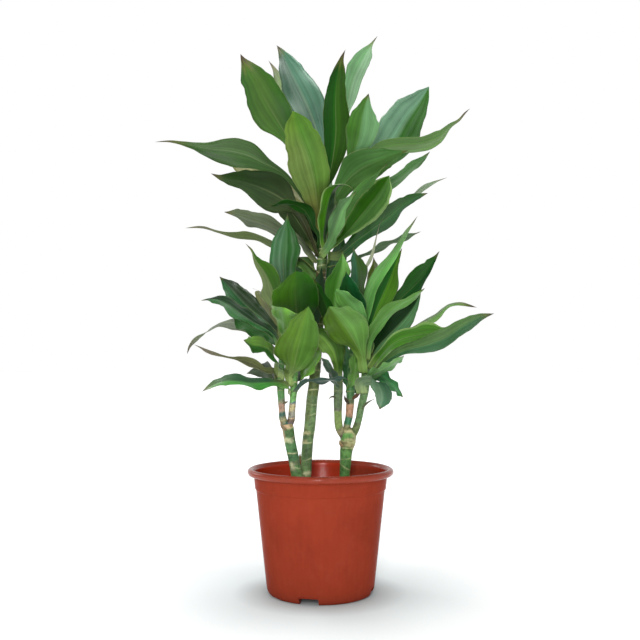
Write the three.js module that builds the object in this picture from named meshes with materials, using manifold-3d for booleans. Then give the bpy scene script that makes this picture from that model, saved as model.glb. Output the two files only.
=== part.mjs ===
// Potted corn plant: three canes with arching strap leaves, planted in soil in a round nursery pot.
// Millimetres, +Z up. The origin is the middle of the flat underside of the pot.
import * as THREE from 'three';
import { mergeVertices } from 'three/addons/utils/BufferGeometryUtils.js';
import Module from 'manifold-3d';

// ---- driving dimensions -------------------------------------------------
const RIM_OUTER_R = 95;        // outside radius of the rolled rim
const RIM_TOP_Z = 162;         // crest of the rim
const RIM_BOTTOM_Z = 153;      // underside of the rim
const WALL_TOP_R = 86.4;       // outside radius of the wall just under the rim
const STEP_Z = 135;            // stacking step in the wall
const STEP_R_ABOVE = 84.7;
const STEP_R_BELOW = 83.4;
const WALL_BOTTOM_R = 69.6;    // outside radius of the wall above the foot
const FOOT_R = 64.5;           // outside radius of the foot ring
const FOOT_INNER_R = 58;
const WALL_T = 1.8;            // wall thickness
const CHANNEL_Z = 9;           // underside of the raised drainage channel
const HUB_R = 36;              // flat middle of the underside
const FLOOR_T = 2;
const DRAIN_COUNT = 8;
const DRAIN_R = 5;
const DRAIN_RING_R = 47.5;
const NOTCH_W = 25;            // notches in the foot ring
const NOTCH_H = 7.8;
const NOTCH_FIRST_DEG = -102.5;
const SOIL_TOP_Z = 132;
const SOIL_CLEAR = 0.35;       // gap between the soil and the pot
const CANE_CLEAR = 0.35;       // gap between a cane and the soil or a leaf
const CANE_BURIED_Z = 62;      // lower end of the canes in the soil
const CANE_SIDES = 8;
const LEAF_T = 1.4;            // thickness at the midrib by the base
const LEAF_STATIONS = 15;      // steps along a leaf
const LEAF_GAP = 0.35;         // least gap kept between two leaves
const FOLD_BASE = 14;          // rise of the two halves from the midrib, degrees
const FOLD_BLADE = 12;
const TWIST_TO = 0.6;          // the base twist fades out by this fraction of the length

// ---- canes: axis points and radius [x, y, z, r] ---------------------------
const CANES = {
  middle: [[-19.8, 4, 151.5, 7.3], [-18.5, 4, 171.3, 7.3], [-16.6, 4, 197.7, 7.3], [-13.5, 4, 224.1, 7.5], [-11.3, 4, 250.5, 7.4], [-8.2, 4, 277, 7.2], [-6.9, 4, 290.3, 7.1], [-4, 4, 330.2, 6.9], [-0.9, 3, 383.4, 6.8], [1.3, 2, 423.4, 6.8], [2.7, 0, 449.9, 6.6], [3.3, 0, 476.7, 6], [3.7, 0, 500.8, 5.2], [3.9, 0, 516.9, 4.4]],
  leftTrunk: [[-30.9, -14, 153.9, 7.3], [-34.6, -14, 173.4, 7.1], [-37.7, -14, 186.4, 7.2], [-40.1, -14, 199.4, 7.3], [-42.1, -14, 212.4, 7.6], [-43.4, -14, 220.2, 7.4]],
  leftShootA: [[-43.8, -14, 216.3, 5.2], [-49.2, -15, 226.8, 4.8], [-50.3, -15, 238.5, 4.2], [-51, -15, 251.5, 4.6], [-51.9, -15, 264.5, 4.9], [-51.7, -14, 284.1, 4.6], [-50.5, -13, 306.3, 4.1], [-49.2, -12, 329.9, 3.4]],
  leftShootB: [[-42.5, -14, 216.3, 5.2], [-38.1, -13, 226.6, 4.8], [-37.3, -12, 238.3, 4.4], [-36, -12, 251.3, 4.2], [-35.3, -12, 264.4, 4.8], [-34.5, -11, 284, 4.8], [-33.5, -10, 306.3, 4.3], [-32.3, -9, 328.7, 3.5]],
  rightTrunk: [[32.1, 2, 151.8, 6.8], [33.1, 2, 171.5, 7.6], [34.1, 2, 184.7, 8.3], [36.4, 2, 196.5, 10.2], [36.8, 2, 205.8, 11.4], [37.1, 2, 211, 9], [37.1, 2, 213.9, 5]],
  rightShootA: [[34.4, 1, 199.3, 5.6], [25.1, -2, 212.7, 5.3], [23.1, -4, 231.2, 5.1], [23.2, -5, 251, 5.8], [23.3, -5, 270.7, 6.1], [23.1, -5, 297, 5.4], [21.2, -4, 327.4, 3.9]],
  rightShootB: [[36.2, 3, 201.7, 5.4], [35.2, 5, 216.1, 4.9], [38, 6, 227.9, 4.9], [39.5, 7, 246.4, 5.4], [40.1, 8, 266.3, 5.7], [41.4, 9, 290.2, 5.4], [44.1, 10, 323.6, 4.6], [46.2, 11, 346.4, 3.8]],
  rightShootC: [[39, 1, 200.6, 5.6], [45.9, -2, 211.4, 4.9], [50.5, -4, 226, 4.4], [52.9, -5, 239.2, 4.7], [55.7, -6, 251, 5.1], [58.6, -7, 266.8, 5.6], [59.3, -8, 285.3, 5.6], [60.2, -8, 306.3, 4.8], [60.7, -8, 327.3, 3.8]],
};

// ---- leaves ---------------------------------------------------------------
// points run along the midrib from the base to the tip. face is the direction
// that the upper side looks in at the fraction faceAt of the length, and twist
// is the extra turn at the base, in radians. left and right are the widths of the two
// halves of the blade at even steps from the base to the tip.
const LEAVES = [
  { name: 'leaf_head_01', colour: 0x447020, twist: -0.723, faceAt: 0.55, face: [0.1801, 0.9218, 0.3434],
    left: [5, 5, 5, 5, 5, 5.2, 8.2, 13.7, 19.7, 23.9, 25, 25.1, 23.2, 18.1, 7.3, 0], right: [5, 5, 5, 5, 4.9, 4.8, 6.8, 10.3, 16.8, 27.7, 29, 26.1, 21.7, 17.8, 7.3, 0],
    points: [[-2.3, -4, 495.6], [-5.2, -6, 508.6], [-8.6, -8.2, 522.2], [-23.1, -17, 556.4], [-42.5, -26.3, 594], [-58.6, -32.8, 620], [-70.8, -37.5, 639.7], [-80.9, -41.8, 658.1], [-91, -45.8, 675.1], [-99.8, -49.3, 690.3], [-102.9, -50.8, 697]] },
  { name: 'leaf_head_02', colour: 0x6e9b8c, twist: 0.722, faceAt: 0.55, face: [0.0343, -0.9336, 0.3567],
    left: [5.5, 5.5, 5.8, 7.3, 10, 13.5, 17.3, 20.9, 24, 26, 26.6, 24.1, 19.3, 12.9, 5.6, 0], right: [5.5, 5.5, 5.8, 7.3, 10, 13.5, 17.3, 21, 24.1, 26.2, 25.6, 24.1, 20.7, 15.6, 7.3, 0],
    points: [[-0.9, 4.6, 509.9], [-3.4, 7, 522.9], [2.1, 22.4, 561.9], [-2, 39.8, 607.2], [-11.8, 53, 642.8], [-21.8, 62.9, 669.7], [-33.4, 72.4, 695.4], [-43.6, 80.5, 718.1], [-57, 90.9, 747.7], [-63.8, 95.1, 759.4]] },
  { name: 'leaf_head_03', colour: 0x648c50, twist: 0.419, faceAt: 0.55, face: [0.0206, -0.8561, 0.5165],
    left: [5.5, 5.5, 5.6, 6.2, 7.3, 8.7, 10.2, 11.8, 13.2, 14.3, 14.9, 14.4, 11, 6.3, 1.8, 0], right: [5.5, 5.5, 5.6, 6.2, 7.3, 8.7, 10.2, 11.8, 13.2, 14.3, 14.9, 14.9, 14.6, 11.9, 4.7, 0],
    points: [[0.7, 6.1, 504.8], [-0.9, 9.2, 517.8], [-6.2, 37, 544.1], [-20.5, 68.8, 588.5], [-38.5, 102.6, 642.8], [-51, 124.4, 681.2], [-60.7, 141.5, 713.3], [-68.9, 154.7, 738.7], [-79.4, 166.2, 760.1]] },
  { name: 'leaf_head_04', colour: 0x265808, twist: -0.278, faceAt: 0.55, face: [0.1891, 0.9460, 0.2634],
    left: [5.5, 5.5, 5.8, 7.8, 11.4, 15.6, 18.5, 19.7, 19.2, 17.6, 15.4, 13.1, 11.4, 8.7, 3.3, 0], right: [5.5, 5.5, 5.8, 7.5, 10.2, 13.2, 15.9, 17.6, 17.7, 16.9, 15.4, 13.3, 10.9, 7.5, 2.3, 0],
    points: [[1.2, -5.8, 513], [-0.2, -9, 526], [11.2, -11.9, 546.8], [17.7, -21.4, 576.6], [20.2, -29.3, 603.8], [19.5, -37.5, 634.5], [21.3, -45.1, 664.9], [27, -51.5, 691.5], [32, -54.1, 701.7]] },
  { name: 'leaf_head_05', colour: 0x78aa73, twist: -0.773, faceAt: 0.55, face: [-0.2031, -0.8803, 0.4287],
    left: [4.9, 4.9, 4.9, 4.9, 4.9, 4.9, 4.9, 4.9, 5.3, 7.9, 11.8, 15.7, 17.8, 14.6, 4.2, 0], right: [4.9, 4.9, 4.9, 4.9, 4.9, 4.8, 4.2, 3.4, 3.6, 11.7, 14.2, 15.3, 15.7, 10.9, 1.7, 0],
    points: [[9.7, 3.3, 504.5], [12.8, 5, 517.5], [14.3, 24.6, 548.6], [26.5, 49.2, 595.4], [36.3, 73, 643.8], [41.2, 91.6, 683.7], [47.5, 104.1, 710.9], [57.5, 115.8, 735.3], [72.3, 130.4, 765.7], [85.8, 142.1, 789.5]] },
  { name: 'leaf_head_06', colour: 0x5a9446, twist: 0.295, faceAt: 0.55, face: [0.4002, 0.7367, 0.5451],
    left: [4.2, 4.2, 4.2, 4.2, 4.2, 4.2, 4.5, 6.9, 11.2, 15.8, 20.3, 22.7, 21.5, 14.6, 6.7, 0], right: [4.2, 4.2, 4.2, 4.2, 4.2, 4.2, 4.7, 7.8, 13.3, 18.1, 20.7, 20.1, 16.6, 10.9, 5.6, 0],
    points: [[5.4, -6.8, 499.2], [6.3, -10.2, 512.2], [23.1, -12.6, 522.7], [37.1, -31.3, 548.2], [44.2, -49.8, 570.2], [49.9, -67, 587.9], [52.7, -88, 607.8], [58.2, -112.5, 627.6]] },
  { name: 'leaf_head_07', colour: 0x5f8c5f, twist: 0.593, faceAt: 0.55, face: [-0.4390, 0.8973, 0.0475],
    left: [5.8, 5.8, 5.8, 5.8, 7.1, 10.5, 15.1, 19.9, 24, 27, 30.2, 31.1, 28.8, 21.4, 11.9, 0], right: [5.8, 5.8, 5.8, 5.8, 7.1, 10.5, 15.1, 20.2, 26.3, 32.2, 35.8, 32.8, 27.9, 22.7, 13.2, 0],
    points: [[10.5, -2.2, 493], [13.9, -3.2, 506], [26.5, 20.5, 523.2], [54.5, 38.1, 555.4], [83.1, 53, 587.8], [106.4, 63.2, 614.3], [122.8, 71.6, 643.5], [145.2, 80.4, 676.1], [155.9, 84.9, 695.5]] },
  { name: 'leaf_head_09', colour: 0x789150, twist: -0.006, faceAt: 0.55, face: [-0.3035, 0.5322, 0.7903],
    left: [5.5, 5.5, 5.5, 5.5, 6.4, 8.5, 11.2, 14.1, 16.4, 17.7, 18.9, 17.1, 10, 1.4, 0.4, 0], right: [5.5, 5.5, 5.5, 5.5, 6.4, 8.5, 11.2, 13.7, 14.9, 14.4, 12.8, 13.6, 9.8, 1.8, 0.6, 0],
    points: [[10.5, -2.8, 485], [13.7, -4.1, 498], [23.4, 3, 517.4], [50.6, 11.2, 559.5], [81, 20.9, 589], [108.9, 28.9, 597], [137.3, 37.8, 601.2], [166.4, 48.1, 613.4], [181.5, 56, 630.9], [195.1, 62, 641], [204.5, 67.4, 652.4], [212.3, 71.5, 659.9]] },
  { name: 'leaf_head_10', colour: 0x305c24, twist: -0.268, faceAt: 0.55, face: [0.3523, 0.7222, 0.5952],
    left: [5.5, 5.8, 6.4, 8.2, 10.6, 12.8, 14.9, 17.6, 21, 23.3, 20.8, 17.6, 13.4, 8.7, 3.1, 0], right: [5.5, 5.5, 5.7, 6.9, 8.9, 11.6, 15.6, 20.8, 25.5, 24.3, 21, 17, 13.4, 8.8, 3.1, 0],
    points: [[1.2, -7.2, 485.1], [0.2, -10.5, 498.1], [17.8, -16.3, 514.1], [33, -34.8, 534.4], [52.9, -54.6, 548.5], [74.6, -73.5, 554.7], [92.1, -89.7, 558.7], [106.8, -103.7, 559.8]] },
  { name: 'leaf_head_11', colour: 0x508755, twist: 0.016, faceAt: 0.55, face: [-0.1422, 0.3054, 0.9416],
    left: [5.5, 5.5, 5.6, 6.2, 7.3, 8.7, 10.1, 11.5, 12.6, 13.7, 11.3, 9, 7.4, 4, 2.5, 0], right: [5.5, 5.5, 5.6, 6.2, 7.3, 8.7, 10.2, 11.9, 13.5, 14.4, 11.8, 10.2, 9.8, 7.7, 3.8, 0],
    points: [[10.9, -1.6, 480.5], [18, -0.8, 486], [41.7, -8.4, 503.5], [71.1, -27.3, 520.1], [96.3, -53.5, 533.4], [110.8, -74.4, 541.3], [123.3, -97.2, 548.3], [131.8, -118.9, 555.1]] },
  { name: 'leaf_head_12', colour: 0x8ca582, twist: -0.364, faceAt: 0.55, face: [-0.2512, -0.4219, 0.8711],
    left: [5.5, 5.5, 5.6, 6.2, 7.3, 8.7, 10.2, 11.7, 12.8, 12.8, 11.8, 10.2, 11, 9.6, 3.9, 0], right: [5.5, 5.5, 5.6, 6.2, 7.3, 8.7, 10.2, 11.7, 12.9, 13.5, 12.1, 8.9, 5.7, 5.6, 3.2, 0],
    points: [[9.9, 4.2, 465.9], [12.9, 6, 478.9], [33.2, 21.1, 481], [71, 39.9, 501.6], [110.8, 53.3, 519.8], [132.4, 58.8, 533.4], [148.2, 62.1, 545.3], [164.1, 64.6, 554.3], [178.4, 66.6, 560.3]] },
  { name: 'leaf_head_13', colour: 0x205014, twist: -0.700, faceAt: 0.55, face: [0.4646, -0.7991, -0.3815],
    left: [5.5, 5.5, 5.8, 7.2, 9.7, 12.6, 15.5, 17.8, 19.1, 18.8, 17.6, 15.4, 11.1, 7, 3.3, 0], right: [6.5, 7.8, 9.3, 8.9, 7.7, 7.1, 8.4, 12.4, 14, 12.6, 10.2, 7.6, 6.1, 5.3, 3.4, 0],
    points: [[10.6, 2.3, 442.7], [23.4, 4, 443.7], [46.3, 9.1, 461.8], [69.5, 14.1, 479.3], [92.8, 19.2, 497.1], [110.9, 23.4, 512.7], [129, 27.1, 525], [147.2, 30.5, 531.8]] },
  { name: 'leaf_head_14', colour: 0x325c1c, twist: -0.679, faceAt: 0.55, face: [-0.4594, -0.8109, -0.3626],
    left: [5.5, 5.5, 5.7, 7.3, 10.1, 13.6, 16, 17.7, 18.8, 19.7, 19.4, 18.4, 16.4, 13, 7.8, 0], right: [5.5, 5.5, 5.7, 6.9, 9, 11.6, 14.3, 16.8, 18.7, 19.7, 19.5, 19.4, 18.3, 14.7, 7.2, 0],
    points: [[10.4, 3.2, 451.7], [23.2, -3.8, 461.5], [37.6, -11.1, 475.2], [51.7, -22.3, 490.7], [64.1, -35, 504.4], [76, -50.8, 518.4], [86.6, -71.8, 535.5]] },
  { name: 'leaf_head_15', colour: 0x6ea564, twist: 0.670, faceAt: 0.55, face: [-0.5522, 0.2859, 0.7831],
    left: [5.5, 5.5, 5.6, 6.2, 7.2, 8.4, 9.7, 10.9, 11.8, 13.2, 14.2, 13.7, 9.8, 5.9, 1.9, 0], right: [5.5, 5.5, 5.6, 6.2, 7.2, 8.4, 9.8, 12.1, 14.7, 16.6, 14.3, 11.1, 8, 5.2, 1.8, 0],
    points: [[10.1, -0.7, 432.6], [12.5, -16.2, 449.4], [20, -34.5, 469.3], [29.9, -53.6, 488.5], [42, -71.9, 504.5], [56.1, -91.6, 519.7], [69.7, -109.2, 531.1], [80.8, -123.8, 540.2]] },
  { name: 'leaf_head_16', colour: 0x5f8732, twist: 0.038, faceAt: 0.55, face: [-0.3636, 0.4852, 0.7952],
    left: [7.8, 8.5, 10.5, 13.2, 16.3, 19.3, 21.9, 23.7, 24.2, 24.1, 23.6, 22.4, 19.8, 15.6, 9.1, 0], right: [7.8, 8.5, 10.5, 13.2, 16.3, 19.4, 23, 26.2, 28.1, 26.7, 23.5, 21.5, 19.3, 15.4, 9.1, 0],
    points: [[4.5, -7.9, 467.7], [-1.3, -14.8, 485.2], [-4.5, -42, 507.1], [-7.6, -69.5, 525.2], [-11.1, -92.1, 538.2], [-15.2, -113.8, 549.6], [-21.9, -141.9, 562.4], [-27.6, -171.9, 574.9], [-30.9, -195.2, 583.6]] },
  { name: 'leaf_head_17', colour: 0x235008, twist: 0.120, faceAt: 0.55, face: [-0.6115, 0.4998, 0.6134],
    left: [5.5, 6.5, 8.1, 11.1, 14.2, 17.3, 19.7, 18.3, 15.2, 12.4, 11, 9.3, 7.2, 4.6, 1.7, 0], right: [5.5, 5.5, 5.7, 6.7, 8.3, 10.2, 11.8, 12.8, 12.9, 12.4, 12.8, 12.9, 11.3, 6.4, 2, 0],
    points: [[7.6, -6.5, 447.5], [3.3, -15.5, 464], [5.8, -34.9, 484.9], [9.5, -52, 504.1], [15.8, -64.7, 518.5], [24.4, -72.4, 524], [33, -78.3, 522.2], [41.5, -85.5, 514.6]] },
  { name: 'leaf_head_18', colour: 0x6ea564, twist: 0.415, faceAt: 0.55, face: [0.9439, 0.2935, 0.1512],
    left: [5.5, 5.5, 5.6, 6.5, 7.8, 9.5, 11, 12.3, 13, 13.4, 13.1, 11.8, 8.7, 5.3, 1.8, 0], right: [5.5, 5.5, 5.7, 7.3, 10.1, 14.1, 18.5, 20.9, 22, 21.6, 19.4, 14.3, 9.8, 5.6, 1.8, 0],
    points: [[0, -7.5, 440.1], [9.1, -26, 450.8], [15.9, -55.5, 463.9], [21.7, -82.1, 477.8], [27.4, -101.1, 489.6], [35.5, -115.3, 498.2], [42.3, -126.6, 505.9]] },
  { name: 'leaf_head_19', colour: 0x4b7637, twist: 0.705, faceAt: 0.55, face: [0.1144, -0.9923, -0.0473],
    left: [2.7, 2.7, 2.7, 2.7, 2.7, 2.9, 6.2, 12.4, 18.9, 21.3, 18.5, 11.9, 5.2, 2.5, 1.8, 0], right: [2.7, 2.7, 2.7, 3.2, 3.8, 4.6, 6.1, 12.2, 17.9, 18.6, 14.6, 9.3, 5.2, 2.5, 0.7, 0],
    points: [[-3.2, 3.8, 481.9], [-6.2, 5.6, 494.9], [-17.8, -11.7, 508.2], [-33.5, -19, 529.5], [-46.5, -23.7, 544.4], [-59.4, -27, 553.6], [-76.2, -30.3, 560.8], [-94.2, -33.2, 569.4], [-113.5, -35.4, 574.1], [-135.4, -37.2, 576.3], [-156, -38.3, 578.7], [-180.5, -38.9, 584.4], [-197.3, -39.1, 587], [-214.1, -39.2, 585.6]] },
  { name: 'leaf_head_21', colour: 0x2d4223, twist: -0.669, faceAt: 0.55, face: [0.2850, 0.9388, 0.1932],
    left: [5.3, 5.3, 5.3, 5.3, 5.3, 6.2, 12.2, 22.3, 32.4, 30.4, 23.6, 18.5, 14.8, 9.5, 2.3, 0], right: [5.3, 5.3, 5.3, 5.3, 5.3, 6.8, 13.4, 23.3, 25.9, 25.7, 20.7, 13.6, 9.4, 7.8, 4.7, 0],
    points: [[-5.3, -3.2, 440.8], [-8.4, -4.8, 453.8], [-31.5, 8.1, 503.5], [-54.6, 12.7, 522.5], [-80.6, 17.8, 536.3], [-105.4, 22.6, 545.4], [-129.1, 27.3, 551.2], [-150.2, 31.9, 559]] },
  { name: 'leaf_head_22', colour: 0x206428, twist: -0.709, faceAt: 0.55, face: [0.2536, 0.4000, 0.8808],
    left: [5.5, 5.5, 5.6, 6.3, 7.5, 8.9, 10.4, 11.7, 12.6, 13, 12.4, 10.9, 8.6, 5.6, 2, 0], right: [5.5, 5.5, 5.6, 6.3, 7.5, 8.9, 10.4, 11.7, 12.6, 13, 12.4, 10.9, 8.6, 5.6, 2, 0],
    points: [[-5.1, -3.2, 449.9], [-3.3, -10.7, 464.6], [-9.8, -21.8, 480.2], [-17.5, -32.5, 494.3], [-29, -41.9, 502.6], [-41.6, -50.1, 503.8], [-56.4, -59.8, 500.9], [-68.6, -68.1, 496.3]] },
  { name: 'leaf_head_23', colour: 0x646950, twist: 0.685, faceAt: 0.55, face: [0.4792, -0.8324, 0.2784],
    left: [11.7, 13.7, 12.9, 5.6, 6.6, 9.5, 12.1, 12.5, 11.9, 10.6, 9.6, 12.6, 11.2, 4, 1.7, 0], right: [8.7, 9.2, 9.9, 10.7, 11.7, 12, 12, 11.9, 13.6, 14.2, 13.1, 12.3, 10.1, 8.6, 3.8, 0],
    points: [[-6, 4.7, 433.1], [-16.7, 7, 448.1], [-34.2, 8.8, 465.8], [-54.2, 5.8, 476.1], [-73.9, -1.8, 484.5], [-90.5, -11.4, 489], [-107.8, -24.2, 492.4], [-124.6, -38.6, 494.7]] },
  { name: 'leaf_head_24', colour: 0x55662d, twist: -0.430, faceAt: 0.55, face: [0.2911, 0.3905, 0.8734],
    left: [7.7, 7.7, 7.9, 9.5, 12.8, 17.4, 19.5, 16.4, 13.9, 8.1, 6.4, 5.1, 4.7, 3.2, 1.6, 0], right: [8.6, 9.1, 8.6, 8.4, 8.9, 10.2, 10.7, 6.8, 6.3, 5.6, 3.7, 3, 4.4, 3.2, 1.6, 0],
    points: [[-7.2, 3.2, 422.5], [-19.4, 4.8, 434.4], [-40.9, 8.9, 446.9], [-65.4, 14.3, 458.4], [-84.6, 19.2, 465.8], [-102.6, 24.1, 469.1], [-123.6, 30.3, 474], [-145, 37.3, 480.5], [-166.6, 44.6, 486.4], [-187.7, 51.7, 486.7]] },
  { name: 'leaf_head_25', colour: 0x5a7855, twist: 0.592, faceAt: 0.55, face: [-0.6054, 0.2641, 0.7508],
    left: [5.5, 5.5, 5.6, 6.4, 8.8, 12.6, 16.7, 14.4, 10.1, 8.2, 8.9, 10.7, 9.7, 7.2, 3.2, 0], right: [5.5, 5.6, 6.6, 9, 12.4, 15.1, 16.9, 13.7, 10.6, 9.1, 9.2, 9.1, 7.5, 5.1, 1.9, 0],
    points: [[9.7, 4.5, 427.4], [32.9, 12, 433.8], [56.4, 25.1, 444], [79.2, 40.3, 456], [102.7, 57.5, 468.5], [123.8, 73.4, 477.6], [144, 89.5, 487]] },
  { name: 'leaf_left_01', colour: 0x508c6e, twist: -0.722, faceAt: 0.55, face: [-0.1382, -0.9903, -0.0145],
    left: [5.5, 5.5, 5.6, 6.5, 7.9, 9.7, 11.7, 13.8, 15.9, 17.7, 18.8, 17.4, 15.5, 9.3, 2.8, 0], right: [5.5, 5.5, 5.6, 6.5, 7.9, 9.7, 11.7, 13.7, 15.7, 18.9, 22.5, 24, 19.3, 12.2, 3.8, 0],
    points: [[-45.5, -8.6, 326.3], [-42.9, -6.3, 339.3], [-48, -12.3, 375.9], [-48, -12.5, 408.9], [-49.4, -12.6, 435.3], [-48.1, -12.7, 455.1], [-45.5, -12.8, 477.6], [-43.5, -12.9, 496.8]] },
  { name: 'leaf_left_02', colour: 0x467328, twist: 0.234, faceAt: 0.55, face: [0.4710, 0.8740, -0.1194],
    left: [5.5, 5.5, 5.7, 6.6, 8.3, 10.4, 12.6, 14.6, 15.9, 15.2, 11.8, 7.2, 3.7, 2, 0.9, 0], right: [5.5, 5.5, 5.7, 6.6, 8.5, 12.3, 17.9, 22.4, 12.1, 9, 7.2, 5.4, 3.4, 1.8, 1.2, 0],
    points: [[-50, -17.2, 328.7], [-51.5, -22, 353.2], [-56.5, -26.8, 377.7], [-63.1, -25.2, 397.4], [-72.7, -17.7, 417.6], [-85.4, -5.9, 436], [-92.2, 4.3, 450.4], [-101, 13.1, 460.3]] },
  { name: 'leaf_left_03', colour: 0x345f1a, twist: -0.575, faceAt: 0.55, face: [-0.2587, 0.3671, 0.8935],
    left: [6, 6, 6.5, 9.5, 14.4, 20, 25.2, 28.9, 30, 29.7, 28.6, 26.3, 22.6, 17.1, 9.6, 0], right: [6, 6, 6.5, 9.5, 14.4, 20, 25.2, 28.9, 30, 29.7, 28.6, 26.3, 22.6, 17.1, 9.6, 0],
    points: [[-33.1, -14.7, 323], [-30.4, -30.4, 336.1], [-29.6, -60.8, 351.8], [-29.8, -100.9, 369.8], [-30.1, -137.5, 384.4], [-28.6, -169.7, 395.8], [-27.4, -194.4, 403.8]] },
  { name: 'leaf_left_07', colour: 0x3a5c3c, twist: 0.011, faceAt: 0.55, face: [-0.1237, -0.9181, 0.3766],
    left: [5.5, 5.5, 5.6, 6.4, 7.8, 9.6, 11.4, 13.1, 14.4, 15.1, 14.7, 13.7, 11.5, 8.4, 3.8, 0], right: [5.5, 5.5, 5.6, 6.4, 7.8, 9.6, 12, 14.6, 16.8, 16.5, 16, 14.7, 13, 9.9, 3.9, 0],
    points: [[-50, -6.9, 329.9], [-63, -0.3, 346], [-78.4, 11.4, 359.8], [-95.3, 21.3, 372.4], [-109.5, 28.2, 386.3], [-123.6, 33.1, 401.7], [-138.5, 37.2, 417.8]] },
  { name: 'leaf_left_08', colour: 0x2d552d, twist: -0.013, faceAt: 0.55, face: [0.2914, 0.5276, 0.7980],
    left: [5.5, 5.5, 5.7, 6.7, 8.4, 10.5, 12.7, 14.5, 15.7, 15.9, 14.9, 13, 10.4, 7.9, 3.8, 0], right: [5.5, 5.5, 5.7, 6.7, 8.4, 10.5, 12.7, 14.7, 17.4, 19.8, 20.2, 15.6, 11.7, 10.7, 3.9, 0],
    points: [[-53.7, -16.6, 317.4], [-59.4, -19.4, 335], [-72, -26.4, 345.3], [-88.3, -34.7, 354], [-103.1, -42.4, 364], [-117.8, -49.8, 375.1], [-133.6, -56.4, 381.1], [-150.4, -63.3, 378.8]] },
  { name: 'leaf_left_09', colour: 0x82876e, twist: 0.209, faceAt: 0.55, face: [-0.2140, -0.5377, 0.8155],
    left: [5.5, 5.5, 5.5, 5.7, 6.5, 8.4, 11.2, 13.9, 14.6, 14.9, 9.3, 4.5, 2.8, 1.6, 0.7, 0], right: [5.5, 5.5, 5.5, 5.7, 6.4, 7.5, 8.6, 9.5, 9.3, 4.6, 3.2, 3.4, 1.9, 3, 1.3, 0],
    points: [[-54.3, -8.6, 309], [-69.8, 3.1, 323.5], [-90.7, 15.4, 338.4], [-106.2, 23.5, 348.8], [-120.4, 29.7, 353.7], [-134.6, 35.5, 353.9], [-146.1, 40.5, 348.6], [-157.8, 46, 341.2], [-170.9, 52, 333], [-181.4, 57.7, 322], [-186.1, 62.1, 311.6]] },
  { name: 'leaf_left_10', colour: 0x508223, twist: 0.607, faceAt: 0.55, face: [0.9176, -0.2810, 0.2810],
    left: [8.7, 9.3, 9.4, 9.5, 10, 11.7, 14.4, 16.2, 10, 6.4, 7.1, 8.7, 9.8, 9.3, 4.1, 0], right: [11.1, 12.7, 11.2, 10, 9.6, 10.5, 11.6, 12.5, 13, 13, 12.7, 12.1, 11.7, 9.7, 3.9, 0],
    points: [[-55, -19.7, 281.6], [-53.1, -26.5, 288.2], [-56.3, -55.6, 302.7], [-62.2, -85.5, 315.2], [-70.6, -108.5, 319.9], [-80.7, -134.8, 322.1], [-88.5, -160.2, 327.5]] },
  { name: 'leaf_left_11', colour: 0x737341, twist: -0.528, faceAt: 0.55, face: [0.3224, -0.2728, 0.9064],
    left: [5.5, 5.5, 5.5, 5.5, 5.5, 6.2, 8.8, 11.9, 10.3, 5.5, 5.7, 8.6, 9.6, 6.4, 2.3, 0], right: [5.5, 5.5, 5.6, 6.1, 7, 8.5, 11.9, 13.7, 14.1, 10, 6.7, 4.3, 3.4, 2.8, 2.9, 0],
    points: [[-57.5, -11.3, 275.7], [-60.6, -9.6, 288.7], [-71.8, -28.1, 289.6], [-85.5, -35.8, 298], [-102.8, -43.7, 303.9], [-122.5, -51, 307.7], [-142, -57.4, 315.3], [-159, -62.5, 323.5]] },
  { name: 'leaf_left_13', colour: 0x285f23, twist: -0.303, faceAt: 0.55, face: [0.4873, -0.3827, 0.7849],
    left: [5.2, 6.2, 7.4, 8.7, 8.8, 8.8, 10, 13.1, 15.2, 12.7, 6.5, 5.8, 8.1, 4.5, 2.5, 0], right: [5.5, 5.9, 6.2, 5.9, 5.5, 5.8, 7.5, 11.6, 13.6, 13.2, 12.5, 12.2, 7.5, 5.9, 3.2, 0],
    points: [[-41.4, -14.5, 259.8], [-42, -27.8, 270.2], [-54.3, -42.2, 275.2], [-68.7, -57, 275.6], [-85.2, -73.1, 275.5], [-101.2, -88.3, 277.8], [-116.9, -102.5, 278.2], [-129.9, -114.9, 273.2], [-140.4, -125.7, 267.1]] },
  { name: 'leaf_left_14', colour: 0x64a555, twist: -0.126, faceAt: 0.55, face: [0.2470, 0.2690, 0.9309],
    left: [4.2, 4.3, 4.3, 4.9, 5.8, 7.1, 8.6, 10.3, 12, 13.5, 14.9, 16, 16.8, 16.9, 13.1, 0], right: [4.2, 4.3, 4.3, 4.9, 5.8, 7.1, 8.6, 10.3, 12, 13.5, 14.9, 16, 16.8, 16.9, 13.1, 0],
    points: [[-50.7, -18.4, 312.9], [-46.9, -37.3, 328.2], [-44.5, -72.6, 341.4], [-42.8, -110.8, 352.4], [-42.3, -140.5, 359.5], [-41.9, -165.2, 364.7]] },
  { name: 'leaf_left_15', colour: 0x69963c, twist: -0.480, faceAt: 0.55, face: [0.0126, 0.5597, 0.8286],
    left: [5.4, 5.4, 5.4, 5.5, 7.7, 12.7, 18.6, 23.2, 24.7, 24.2, 22.9, 20.6, 17.1, 12.6, 6.9, 0], right: [6.8, 7.8, 9.1, 9.3, 12.1, 18.6, 25, 28.5, 28, 25.6, 23, 20.6, 17.1, 12.6, 6.9, 0],
    points: [[-38.9, -17.1, 269.1], [-41, -20, 282.1], [-34.1, -58.2, 293.9], [-28.9, -89.1, 314], [-23.4, -117.3, 333], [-18.2, -143.7, 351.2], [-13.8, -165.2, 365.8]] },
  { name: 'leaf_left_16', colour: 0x559637, twist: -0.616, faceAt: 0.55, face: [-0.8482, -0.5269, 0.0540],
    left: [4.7, 3.7, 2.8, 4.2, 6.5, 8.9, 10.6, 11.9, 12.8, 12.9, 12.1, 10.5, 8.3, 5.4, 1.9, 0], right: [5.5, 4.7, 3.8, 3.4, 6.6, 10.1, 12.5, 13.6, 13.9, 13.4, 12.1, 10.5, 8.3, 5.4, 1.9, 0],
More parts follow.
